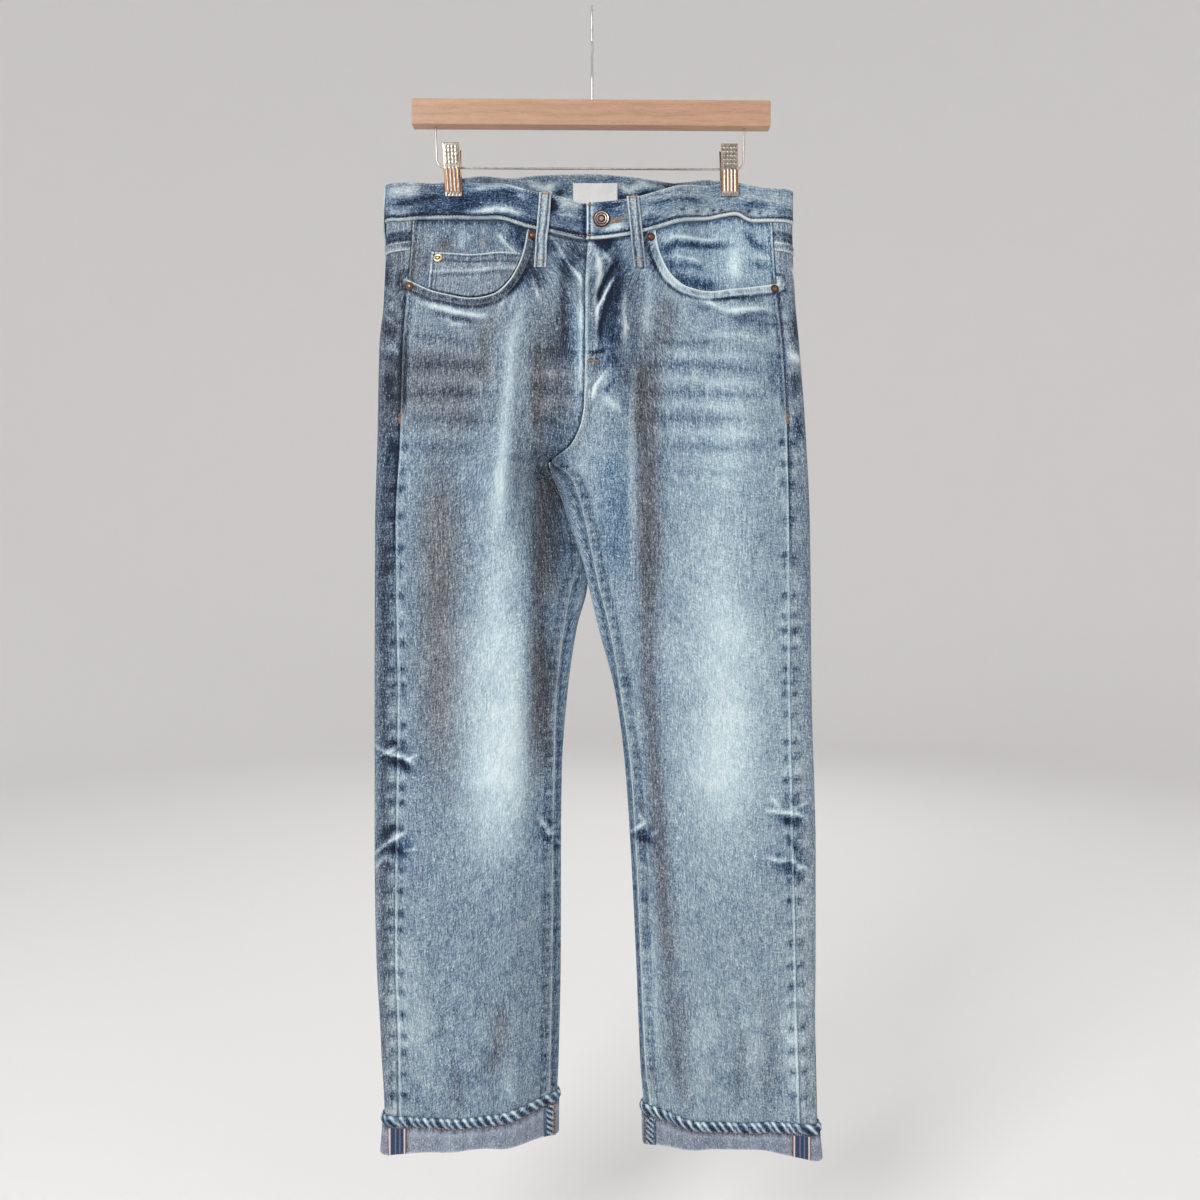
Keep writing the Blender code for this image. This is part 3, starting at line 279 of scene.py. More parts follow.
# Half depths of the section, thickness of its inner edges, and how far the folded edges stand
# behind (+) or before (-) the middle plane, by height.
DEPTH = table("z front back inner_edge right_outer left_outer right_inner left_inner", [
    (-150, 26, 24, 3.5, 0, 0, -8, -8),
    (-246, 29, 27, 3.5, 0, 0, -8, -8),
    (-300, 32, 30, 3.5, 0, 0, -8, -8),
    (-400, 33, 33, 3.5, 0, 0, -8, -8),
    (FORK_Z, 31, 33, 3.5, 0, 0, -8, -8),
    (-472, 31, 33, 3.3, 0, 0, -3.8, -11.6),
    (-481, 31, 33, 3.6, 0, 0, 5, -9.5),
    (-493, 31, 33, 3.8, 0, 0, 7, -8),
    (-560, 29, 32, 4.0, 0, 0, 8, -7),
    (-640, 28, 29, 6.0, 0, 0, 8, -2),
    (-710, 26, 27, 7.5, 0, 0, 8, 0),
    (-965, 25, 24, 7.5, 0, 0, 12, 4),
    (-1120, 26, 23, 7.5, -14, -14, 18, 6),
    (-1170, 26, 23, 7.5, -14, -16, 18, 6),
])

# Width of the stretch where one leg's edge lies behind the other's, by height.
TUCK = table("z width", [
    (FORK_Z, 0),
    (-472, 1),
    (-481, 7),
    (-500, 19),
    (-530, 22),
    (-563, 14),
    (-595, 5),
    (-625, 0),
])

# Waistband's top edge and seam, front and back, across the width.
WAIST = table("x front_top front_seam back_top back_seam", [
    (-213, -180.6, -218.2, -180.6, -218.2),
    (-197, -180.6, -220.0, -179.5, -217.5),
    (-156, -178.0, -214.5, -176.0, -213.5),
    (-133, -176.8, -214.5, -171.5, -210.0),
    (-98, -186.5, -222.5, -163.0, -202.0),
    (-65, -196.0, -233.5, -158.5, -198.0),
    (-32, -203.0, -241.5, -157.0, -196.5),
    (-4, -208.8, -246.0, -156.5, -196.0),
    (35, -205.2, -242.0, -159.0, -198.0),
    (65, -197.4, -234.5, -163.0, -202.0),
    (112, -183.0, -218.5, -171.0, -210.0),
    (131, -178.6, -213.0, -174.0, -212.5),
    (147, -177.0, -210.5, -175.5, -213.5),
    (164, -181.0, -218.5, -178.5, -216.5),
    (180, -185.5, -220.0, -181.0, -218.5),
    (208, -186.8, -221.0, -186.8, -221.0),
])

# Fold of each cuff and the lower edge of its roped hem, from the outer edge (0) to the inner one (1).
CUFF = table("across right_fold left_fold right_line left_line", [
    (0.00, -1164.0, -1169.5, -1124.4, -1133.4),
    (0.20, -1161.5, -1163.0, -1125.5, -1131.7),
    (0.40, -1158.5, -1155.5, -1125.5, -1129.5),
    (0.60, -1154.5, -1155.0, -1122.5, -1127.5),
    (0.80, -1158.0, -1159.5, -1120.5, -1126.0),
    (1.00, -1163.5, -1166.3, -1118.4, -1124.3),
])

# Pocket mouths on the fronts, from the waist seam to the side seam.
MOUTH = {
    RIGHT: ((-64.5, -236.3), (-68.3, -257.0), (-75.0, -275.5), (-86.0, -292.0), (-99.0, -301.5),
            (-119.0, -304.8), (-145.0, -300.5), (-188.0, -281.0)),
    LEFT: ((63.2, -236.0), (66.0, -253.0), (71.5, -269.0), (80.0, -283.5), (95.0, -294.5),
           (115.0, -298.0), (141.5, -294.5), (188.0, -285.0)),
}

# Largest soft folds: the stretch each follows, its half width, and its height (valleys are negative).
FOLDS = [
    # face, from x, from z, to x, to z, half width, height
    (FRONT, 26, -258, 4, -300, 8, -7.0),
    (FRONT, 4, -300, 2, -348, 8, -4.0),
    (FRONT, -6, -262, -12, -296, 7, 3.0),
    (FRONT, -42, -246, -14, -292, 8, 3.0),
    (FRONT, -26, -262, -16, -330, 9, -3.0),
    (FRONT, 44, -300, 40, -650, 16, -4.5),
    (FRONT, 22, -330, 28, -520, 12, 2.5),
    (FRONT, 82, -320, 110, -700, 34, 4.0),
    (FRONT, -90, -330, -100, -540, 15, 4.5),
    (FRONT, -60, -320, -52, -640, 15, -4.0),
    (FRONT, -128, -340, -140, -620, 24, -2.5),
    (FRONT, -160, -250, -170, -330, 14, -2.0),
    (FRONT, -172, -1020, -165, -1115, 14, 3.0),
    (FRONT, -95, -1000, -88, -1115, 16, -3.0),
    (FRONT, 115, -1010, 105, -1118, 18, 3.0),
    (FRONT, 175, -1000, 180, -1118, 14, -2.5),
    (BACK, -150, -340, -120, -470, 24, 3.5),
    (BACK, -45, -350, -34, -440, 16, -4.0),
    (BACK, 26, -350, 34, -450, 16, -4.0),
    (BACK, 120, -350, 130, -480, 24, 3.5),
    (BACK, -175, -480, -90, -520, 16, -4.0),
    (BACK, 180, -490, 90, -535, 16, -4.0),
    (BACK, -120, -560, -130, -760, 18, 4.0),
    (BACK, 130, -570, 140, -780, 18, 4.0),
    (BACK, -180, -800, -90, -830, 10, -3.5),
    (BACK, 185, -815, 95, -845, 10, -3.5),
    (BACK, -120, -900, -115, -1110, 16, -3.0),
    (BACK, 135, -900, 140, -1115, 16, 3.0),
]

# Placed pieces: centre x at the top and the bottom, and the top and bottom heights.
FRONT_LOOPS = {RIGHT: (-46.3, -51.8, -199.5, -275), LEFT: (40.6, 47.9, -203.5, -275)}
LOOP_WIDTH = 12
LOOP_BOW = 1.2
LOOP_DROP = 18
SIDE_LOOP_AT = 40
SIDE_LOOP_Z = (-183.5, -245.5)
BACK_LOOP_Z = (-157.5, -229.5)
BAND_END_X = -5.0
BAND_LAP = 28
BAND_HALF = 206.0
BAND_TALL = 36
FLY_SHIELD = (-7.5, 30, -400)
YOKE_SIDE_Z = -250
YOKE_CENTRE_Z = -276
FACING_UNDER = 17
FACING_COLUMNS = 12
FACING_ROWS = 7
COIN_COLUMNS = (1.75, 8.6)
COIN_TOP_Z = (-251, -260)
COIN_FOOT_CLEAR = 2.4
BACK_POCKET_COLUMNS = (7.1, 15.3)
BACK_POCKET_Z = (-300, -430, -452)
BACK_COLUMN_WIDTH = 14.5
BUTTON = (9.5, -226.4, 8.5)
RIVETS = {
    "rivet_right_outer": (-184.5, -288.5),
    "rivet_right_inner": (-59.5, -242.5),
    "rivet_left_inner": (58.6, -244.0),
    "rivet_left_outer": (185.0, -290.5),
}
RIVET_RADIUS = 4.3
COIN_RIVET = (-156.5, -258.5, 5.0)
LABEL_X = (-20.5, 26.5)
LABEL_Z = (-166.5, -194)
CUFF_MIDDLE_Z = -1145.0
CUFF_FOLD_Z = -1163.0
HEM_HEIGHT = 10
HEM_THICK = 2.8
SELVEDGE_WIDTH = 18
ALLOWANCE_WIDTH = 11

# Hanger.
BAR_X = (-185, 183)
BAR_TOP_Z = -93
BAR_HEIGHT = 27
BAR_TILT = math.radians(0.35)
HOOK_WIRE = 1.6
HOOK_RADIUS = 19
HOOK_TIP_Z = -44
CLIP_WIRE = 1.1
CLIP_WIRE_X = (-160.0, 156.0)
CLIP_WIRE_Z = (-161.0, -162.6)
CLIP_CORNER = 9
CLIP_WIDTH = 17
CLIP_TOP = 22
CLIP_FOOT_Z = -192
CLIP_PLATE = 1.2
CLIP_GRIP = SQUEEZED + BAND_OUT + SEAM_GAP + 0.1
CLIP_SPREAD = 8.2
CLIP_SWAY = {RIGHT: 0.05, LEFT: 0.02}


# ---------------------------------------------------------------- wear and creases, with painted highlight and painted shade


# Worn and folded places on the cloth. On a fold's ridge a row's light is partly painted highlight, and in a
# fold's valley its dark is partly painted shade. Each row is: face, half width, change of fade (light is +),
# change of grey, height, then the points of a line in (x, z).
STROKES = [
    # right thigh and leg: painted highlight on the thigh's ridge, painted shade in the valleys beside it
    (FRONT, 6, 0.22, -0.2, 0.4, (-68, -292), (-72, -320), (-79, -348), (-82, -383), (-85, -418), (-87, -453),
     (-90, -482), (-94, -536)),
    (FRONT, 38, 0.21, -0.1, 0, (-98, -590), (-100, -840)),
    (FRONT, 18, 0.12, -0.1, 0, (-92, -450), (-94, -650)),
    (FRONT, 26, 0.03, 0, 0, (-94, -690), (-95, -820)),
    (FRONT, 9, -0.14, 0.4, -0.6, (-56, -300), (-54, -383), (-55, -560), (-59, -850)),
    (FRONT, 4, -0.20, 0.3, -0.4, (-28, -271), (-28, -355)),
    (FRONT, 13, -0.14, 0.35, -0.5, (-40, -300), (-34, -404), (-36, -440)),
    (FRONT, 9, -0.08, 0.4, -0.5, (-98, -316), (-106, -345), (-110, -400)),
    (FRONT, 14, -0.18, 0.1, 0, (-37, -420), (-37, -596)),
    (FRONT, 7, -0.12, 0, -0.4, (-49, -596), (-49, -766)),
    (FRONT, 26, -0.07, 0.5, 0, (-152, -430), (-152, -836)),
    (FRONT, 5, -0.20, 0.1, 0, (-212, -420), (-212, -1110)),
    (FRONT, 2.5, 0.28, 0, 0.3, (-11, -300), (-10.5, -397)),
    # left thigh and leg: painted shade in the thigh's long fold, painted highlight on the ridge beyond it
    (FRONT, 9, -0.15, 0.6, -0.7, (52, -318), (49, -380), (53, -566), (58, -706), (68, -846), (76, -966),
     (80, -1086)),
    (FRONT, 3.5, 0.16, 0, 0.5, (41, -374), (40, -460), (41, -560)),
    (FRONT, 10, -0.08, 0.5, -0.3, (74, -300), (76, -360)),
    (FRONT, 3, 0.20, 0, 0.4, (33, -293), (35, -374)),
    (FRONT, 4, 0.20, 0, 0, (52, -308), (53, -344)),
    (FRONT, 42, 0.17, -0.1, 0, (132, -580), (136, -846)),
    (FRONT, 26, 0.08, -0.1, 0, (120, -450), (128, -650)),
    (FRONT, 24, 0.05, 0, 0, (130, -700), (130, -820)),
    (FRONT, 16, -0.10, -0.2, 0, (25, -440), (25, -600)),
    # right hip, below the pocket
    (FRONT, 4.4, 0.42, 0, 1.0, (-212, -348), (-192, -356)),
    (FRONT, 7, -0.28, 0, -0.4, (-209, -310), (-204, -340)),
    (FRONT, 2.2, 0.40, 0, 0.8, (-213.5, -313.5), (-202, -325)),
    (FRONT, 3, 0.32, 0, 1.0, (-173, -306), (-156, -313), (-139, -319), (-114, -323), (-97, -323)),
    (FRONT, 3.5, -0.24, 0, -0.8, (-161, -317), (-145, -323), (-128, -326), (-111, -329)),
    (FRONT, 2.2, 0.22, 0, 0.3, (-150, -322), (-139, -331), (-122, -331)),
    (FRONT, 4, -0.20, 0, -0.3, (-190, -335), (-190, -412)),
    (FRONT, 6, -0.28, -0.3, -0.4, (-214, -256), (-210, -300)),
    (FRONT, 4, 0.22, 0, 0, (-206, -300), (-202, -312)),
    (FRONT, 6, -0.22, -0.3, -0.4, (-204, -436), (-206, -470)),
    (FRONT, 6, -0.22, -0.3, 0, (-90, -300), (-70, -290), (-58, -272)),
    (FRONT, 1.6, 0.26, 0, 0.4, (-84, -300), (-92, -316)),
    (FRONT, 1.6, 0.22, 0, 0.4, (-76, -300), (-82, -322)),
    # left hip, below the pocket
    (FRONT, 4.4, 0.36, 0, 1.0, (199, -355), (214, -363)),
    (FRONT, 6, -0.28, 0, -0.4, (206, -371), (206, -400)),
    (FRONT, 6, -0.28, 0, -0.4, (209, -307), (209, -348)),
    (FRONT, 3, 0.30, 0, 0.8, (93, -304), (114, -309), (135, -319), (157, -315), (183, -311)),
    (FRONT, 2.5, -0.22, 0, -0.3, (120, -305), (175, -304)),
    (FRONT, 4, -0.20, 0, -0.5, (141, -327), (157, -321), (171, -318), (188, -320)),
    (FRONT, 5, -0.12, 0, -0.4, (164, -328), (176, -335)),
    (FRONT, 5, 0.16, 0, 0.2, (-207, -316), (-204, -332)),
    (FRONT, 2.4, 0.34, 0, 0.6, (-214, -284), (-203, -296)),
    (FRONT, 5, -0.26, -0.2, -0.3, (-206, -372), (-208, -408)),
    (FRONT, 2.4, 0.40, 0, 0.6, (204, -262), (212, -290)),
    (FRONT, 5, -0.26, -0.2, -0.3, (208, -414), (212, -448)),
    # whiskers across the left thigh
    (FRONT, 4, -0.09, 0, -0.4, (96, -312), (130, -318), (150, -330)),
    (FRONT, 4, -0.12, 0, -0.4, (138, -330), (166, -326), (196, -330)),
    (FRONT, 3.5, -0.10, 0, -0.4, (56, -348), (90, -352), (128, -349)),
    (FRONT, 3.5, 0.10, 0, 0.4, (100, -344), (150, -342), (186, -348)),
    (FRONT, 4, 0.09, 0, 0.4, (60, -362), (104, -364), (150, -362), (190, -366)),
    (FRONT, 4, -0.12, 0, -0.5, (52, -374), (100, -373), (157, -377), (180, -376)),
    (FRONT, 4, 0.09, 0, 0.4, (54, -387), (104, -388), (160, -391)),
    (FRONT, 4, -0.12, 0, -0.4, (47, -400), (90, -400), (140, -403), (184, -400)),
    (FRONT, 3.5, 0.08, 0, 0.4, (52, -412), (100, -413), (150, -416)),
    (FRONT, 4, -0.11, 0, -0.4, (50, -425), (110, -427), (172, -426)),
    (FRONT, 4, 0.08, 0, 0.4, (54, -438), (120, -440), (176, -441)),
    (FRONT, 4.5, -0.10, 0, -0.4, (70, -453), (130, -455), (186, -452)),
    (FRONT, 5, -0.06, 0, -0.3, (76, -478), (150, -480)),
    # whiskers across the right thigh
    (FRONT, 4, -0.09, 0, -0.4, (-186, -338), (-150, -345), (-110, -352)),
    (FRONT, 3.5, 0.08, 0, 0.4, (-184, -352), (-140, -358), (-96, -364)),
    (FRONT, 4, -0.11, 0, -0.5, (-190, -372), (-150, -371), (-94, -374)),
    (FRONT, 4, 0.08, 0, 0.4, (-186, -386), (-130, -386), (-96, -388)),
    (FRONT, 4, -0.11, 0, -0.4, (-190, -399), (-150, -399), (-92, -402)),
    (FRONT, 4, 0.07, 0, 0.4, (-184, -412), (-110, -413)),
    (FRONT, 4, -0.09, 0, -0.4, (-186, -425), (-100, -428)),
    (FRONT, 4, 0.06, 0, 0.3, (-180, -440), (-104, -440)),
    (FRONT, 4.5, -0.07, 0, -0.3, (-180, -455), (-104, -456)),
    # whiskers inside the right thigh
    (FRONT, 4, -0.12, 0.1, -0.5, (-66, -356), (-12, -362)),
    (FRONT, 3.5, 0.10, 0.2, 0.4, (-68, -378), (-36, -382), (-12, -380)),
    (FRONT, 4, -0.11, 0, -0.4, (-66, -394), (-12, -400)),
    (FRONT, 3.5, 0.08, 0.2, 0.4, (-68, -408), (-14, -412)),
    (FRONT, 5, -0.12, 0, -0.4, (-65, -424), (-14, -436)),
    (FRONT, 3.5, 0.06, 0.2, 0.3, (-70, -440), (-30, -452)),
    # fly: a deep S-shaped fold, its pale lips painted highlight and the navy hollow beside it painted shade
    (FRONT, 10, -0.40, -0.2, -0.4, (24, -256), (24, -300), (20, -340), (17, -368)),
    (FRONT, 2.6, -0.62, 0, -2.2, (29, -263), (16, -279), (7, -299), (5, -312)),
    (FRONT, 3.0, -0.52, 0, -2.0, (25, -285), (18, -302), (12, -320), (8, -334), (8, -352)),
    (FRONT, 2.6, 0.46, 0.4, 1.4, (0, -250), (7, -267), (9, -280), (4, -296), (4, -312), (5, -330), (4, -354)),
    (FRONT, 1.5, 0.62, 0.2, 1.4, (25, -279), (16, -295), (7, -312), (5, -322)),
    (FRONT, 1.6, 0.45, 0.1, 1.0, (10, -257), (19, -267), (13, -281)),
    (FRONT, 3.0, 0.34, 0.4, 0.8, (34, -290), (30, -314), (33, -334), (29, -358)),
    (FRONT, 3, 0.20, 0, 0.3, (27, -322), (24, -345)),
    (FRONT, 5, 0.12, -0.2, 0.4, (55, -268), (57, -300), (58, -348)),
    (FRONT, 2.0, -0.50, 0, -1.2, (-6, -360), (4, -360), (15, -357)),
    (FRONT, 6, -0.22, 0, -0.3, (16, -362), (26, -374)),
    (FRONT, 2.2, 0.34, 0, 0.6, (14, -378), (4, -392), (-2, -410)),
    (FRONT, 2.2, -0.26, 0, -0.5, (24, -384), (14, -400)),
    (FRONT, 5, 0.20, 0, 0, (10, -402), (30, -420)),
    (FRONT, 1.5, 0.50, 0, 1.2, (-41, -244), (-34, -254), (-22, -273), (-12, -286), (-8, -302)),
    (FRONT, 2.0, 0.35, 0, 0.8, (-61, -281), (-55, -299), (-51, -310)),
    (FRONT, 7, -0.16, 0, -0.3, (-24, -262), (-20, -292)),
    (FRONT, 6, 0.10, -0.3, 0.3, (-13, -300), (-12, -430)),
    (FRONT, 8, -0.22, 0, 0, (-28, -248), (-10, -268)),
    # indigo halos round the knee creases
    (FRONT, 8, -0.24, -0.2, 0, (-224, -760), (-176, -776)),
    (FRONT, 9, -0.22, -0.2, 0, (-224, -862), (-180, -850)),
    (FRONT, 7, -0.22, -0.2, 0, (-56, -838), (-32, -852)),
    (FRONT, 8, -0.22, -0.2, 0, (226, -828), (178, -820)),
    (FRONT, 9, -0.24, -0.2, 0, (226, -880), (178, -866)),
    (FRONT, 7, -0.22, -0.2, 0, (36, -842), (64, -846)),
    (FRONT, 7, -0.20, -0.2, 0, (-190, -352), (-214, -356)),
    (FRONT, 1.8, 0.22, 0, 0.6, (-50, -844), (-40, -840), (-32, -838)),
    (FRONT, 1.8, 0.30, 0, 0.8, (-48, -854), (-38, -852), (-32, -860)),
    (FRONT, 1.8, 0.30, 0, 0.8, (-220, -766), (-206, -760), (-192, -752)),
    (FRONT, 1.8, 0.26, 0, 0.7, (-222, -880), (-210, -866), (-204, -856)),
    (FRONT, 1.8, 0.30, 0, 0.8, (222, -812), (206, -818), (196, -808)),
    (FRONT, 1.8, 0.30, 0, 0.8, (226, -896), (214, -886), (206, -872)),
    # knees, right leg: raised creases with dark valleys
    (FRONT, 2.3, 0.48, 0, 1.4, (-226, -753), (-206, -763), (-196, -764), (-187, -767), (-175, -775)),
    (FRONT, 2.0, 0.32, 0, 1.0, (-187, -767), (-175, -762)),
    (FRONT, 4, -0.30, 0, -0.9, (-208, -748), (-196, -756), (-184, -759)),
    (FRONT, 4, -0.26, 0, -0.9, (-208, -772), (-194, -773), (-180, -780)),
    (FRONT, 2.3, 0.48, 0, 1.4, (-223, -866), (-212, -856), (-203, -850), (-188, -840)),
    (FRONT, 1.8, 0.24, 0, 0.8, (-196, -861), (-176, -857)),
    (FRONT, 4, -0.28, 0, -0.9, (-217, -848), (-205, -840), (-198, -833)),
    (FRONT, 5, -0.24, 0, -0.8, (-206, -852), (-194, -868), (-184, -860)),
    (FRONT, 2.0, 0.36, 0, 1.2, (-54, -828), (-49, -836), (-44, -846), (-38, -846), (-32, -849)),
    (FRONT, 3, -0.26, 0, -0.8, (-46, -832), (-39, -838)),
    (FRONT, 4, -0.24, 0, -0.8, (-50, -850), (-40, -856), (-33, -864)),
    # knees, left leg
    (FRONT, 2.3, 0.48, 0, 1.4, (174, -817), (188, -820), (202, -822), (214, -826), (224, -830)),
    (FRONT, 2.0, 0.30, 0, 1.0, (179, -803), (192, -818)),
    (FRONT, 3.5, -0.28, 0, -0.9, (194, -811), (216, -815)),
    (FRONT, 4, -0.28, 0, -0.9, (190, -828), (202, -833), (216, -838)),
    (FRONT, 2.3, 0.48, 0, 1.4, (174, -864), (188, -869), (204, -871), (214, -877), (224, -884)),
    (FRONT, 4, -0.28, 0, -0.9, (196, -848), (210, -860), (218, -868)),
    (FRONT, 4, -0.26, 0, -0.9, (190, -878), (204, -882), (220, -892)),
    (FRONT, 2.2, 0.38, 0, 1.2, (37, -846), (46, -839), (54, -833)),
    (FRONT, 1.8, 0.28, 0, 0.9, (48, -822), (54, -836)),
    (FRONT, 1.8, 0.20, 0, 0.6, (60, -846), (66, -840)),
    (FRONT, 4, -0.26, 0, -0.8, (43, -846), (52, -850), (62, -854)),
    # shins
    (FRONT, 9, 0.07, 0, 0.3, (-172, -1000), (-168, -1060), (-162, -1112)),
    (FRONT, 10, -0.04, 0.2, 0, (-95, -1000), (-90, -1112)),
    (FRONT, 9, 0.06, 0, 0.3, (118, -990), (108, -1118)),
    (FRONT, 10, -0.08, 0.2, 0, (176, -1000), (180, -1118)),
    (FRONT, 6, -0.07, 0.3, -0.3, (-88, -1010), (-96, -1060), (-108, -1090)),
    (FRONT, 7, 0.10, -0.2, 0.4, (-88, -1062), (-84, -1120)),
    (FRONT, 6, -0.10, 0.2, -0.2, (-140, -1060), (-132, -1122)),
    (FRONT, 8, -0.10, 0.3, -0.3, (92, -1000), (86, -1060), (94, -1120)),
    (FRONT, 8, -0.10, 0.2, -0.3, (150, -1030), (146, -1118)),
    (FRONT, 7, 0.12, 0, 0.3, (200, -1010), (204, -1110)),
    # broad tones over the front: hollows greyer and deeper as painted shade, knees longer
    (FRONT, 34, 0.11, -0.1, 0, (-98, -800), (-98, -872)),
    (FRONT, 14, 0.09, 0, 0, (-75, -660), (-75, -830)),
    (FRONT, 24, 0.10, -0.1, 0, (140, -372), (140, -500)),
    (FRONT, 6, -0.16, 0, 0, (184, -352), (184, -400)),
    (FRONT, 10, -0.14, 0.45, -0.3, (62, -290), (62, -450), (64, -640)),
    (FRONT, 9, -0.16, 0.4, -0.2, (48, -360), (48, -450)),
    (FRONT, 9, -0.12, 0.2, 0, (48, -270), (48, -350)),
    (FRONT, 9, -0.18, 0.2, 0, (34, -262), (33, -420)),
    (FRONT, 14, -0.10, 0.5, 0, (-44, -460), (-46, -620)),
    (FRONT, 12, -0.08, 0.5, 0, (-50, -620), (-50, -790)),
    (FRONT, 9, -0.06, 0.3, 0, (-74, -420), (-74, -560)),
    (FRONT, 30, -0.10, 0.35, 0, (-168, -340), (-168, -430)),
    (FRONT, 20, -0.08, 0.3, 0, (-130, -344), (-128, -450)),
    (FRONT, 22, -0.02, 0.3, 0, (-156, -450), (-156, -760)),
    (FRONT, 7, -0.15, 0, 0, (-200, -300), (-201, -400), (-204, -560), (-207, -640)),
    (FRONT, 18, 0.07, 0, 0, (-188, -940), (-186, -1084)),
    (FRONT, 16, 0.09, 0, 0, (165, -1010), (166, -1084)),
    (FRONT, 10, 0.09, -0.2, 0, (58, -930), (60, -1084)),
    (FRONT, 7, -0.30, 0, 0, (-42, -246), (-37, -262)),
    (FRONT, 8, -0.13, 0.1, 0, (-56, -262), (-56, -300)),
    (FRONT, 8, -0.08, 0.3, 0, (-54, -340), (-54, -440)),
    (FRONT, 8, -0.24, -0.1, 0, (-27, -262), (-25, -284)),
    (FRONT, 9, -0.14, -0.2, 0, (-25, -296), (-25, -380)),
    (FRONT, 6, -0.14, -0.1, 0, (-12, -330), (-12, -380)),
    (FRONT, 6, -0.12, 0, 0, (-12, -246), (-12, -276)),
    (FRONT, 9, -0.34, -0.1, -0.3, (4, -246), (22, -254)),
    (FRONT, 6, -0.20, 0, -0.4, (20, -262), (16, -280)),
    (FRONT, 6, -0.22, -0.1, -0.4, (4, -282), (4, -356)),
    (FRONT, 7, -0.17, 0, 0, (3, -362), (6, -380)),
    (FRONT, 8, -0.18, 0, 0, (-58, -266), (-54, -298)),
    (FRONT, 8, -0.30, -0.1, -0.2, (2, -243), (21, -251)),
    (FRONT, 6, -0.26, 0, 0, (50, -246), (61, -260), (62, -284)),
    (FRONT, 30, 0.04, 0, 0, (120, -800), (120, -868)),
    # seat and back of the thighs
    (BACK, 34, 0.22, 0, 0, (-110, -330), (-112, -470)),
    (BACK, 30, 0.18, 0, 0, (118, -320), (108, -450)),
    (BACK, 36, 0.16, 0, 0, (-125, -560), (-130, -800)),
    (BACK, 42, 0.14, 0, 0, (124, -600), (142, -760)),
    (BACK, 4, 0.30, 0, 1.2, (-196, -492), (-160, -500), (-110, -512), (-84, -520)),
    (BACK, 5, -0.22, 0, -0.9, (-190, -504), (-150, -512), (-100, -526)),
    (BACK, 3.4, 0.30, 0, 1.1, (204, -478), (176, -490), (140, -510), (104, -516)),
    (BACK, 5, -0.22, 0, -0.9, (198, -492), (160, -510), (122, -526)),
    (BACK, 4, 0.22, 0, 1.0, (-60, -470), (-90, -486), (-118, -494)),
    (BACK, 3, 0.24, 0, 1.0, (42, -492), (66, -516), (84, -538)),
    # backs of the knees
    (BACK, 3, 0.34, 0, 1.3, (-206, -786), (-176, -798), (-140, -804), (-100, -812)),
    (BACK, 4.5, -0.26, 0, -1.0, (-200, -798), (-170, -809), (-128, -817)),
    (BACK, 3, 0.30, 0, 1.1, (-200, -836), (-168, -832), (-130, -838), (-92, -848)),
    (BACK, 4.5, -0.22, 0, -0.9, (-196, -848), (-150, -846), (-104, -858)),
    (BACK, 3, 0.28, 0, 1.0, (-60, -800), (-84, -812), (-108, -818)),
    (BACK, 2.6, 0.26, 0, 1.0, (-204, -876), (-180, -868), (-150, -870)),
    (BACK, 3, 0.34, 0, 1.3, (214, -772), (192, -786), (160, -806), (132, -808)),
    (BACK, 4.5, -0.26, 0, -1.0, (210, -788), (180, -806), (148, -820)),
    (BACK, 2.6, 0.30, 0, 1.0, (200, -838), (160, -846), (118, -840), (84, -846)),
    (BACK, 4.5, -0.22, 0, -0.9, (196, -850), (150, -858), (104, -854)),
    (BACK, 3, 0.28, 0, 1.0, (58, -836), (74, -824), (98, -822)),
    (BACK, 2.6, 0.26, 0, 1.0, (216, -908), (196, -892), (172, -890)),
    # seat creases beside the rise
    (BACK, 3.5, -0.20, 0, -0.8, (-10, -380), (-34, -404), (-60, -418)),
    (BACK, 3.5, -0.20, 0, -0.8, (2, -384), (24, -408), (50, -424)),
    (BACK, 3, 0.20, 0, 0.9, (-12, -396), (-38, -420), (-64, -434)),
    (BACK, 3, 0.20, 0, 0.9, (2, -400), (28, -426), (54, -440)),
]

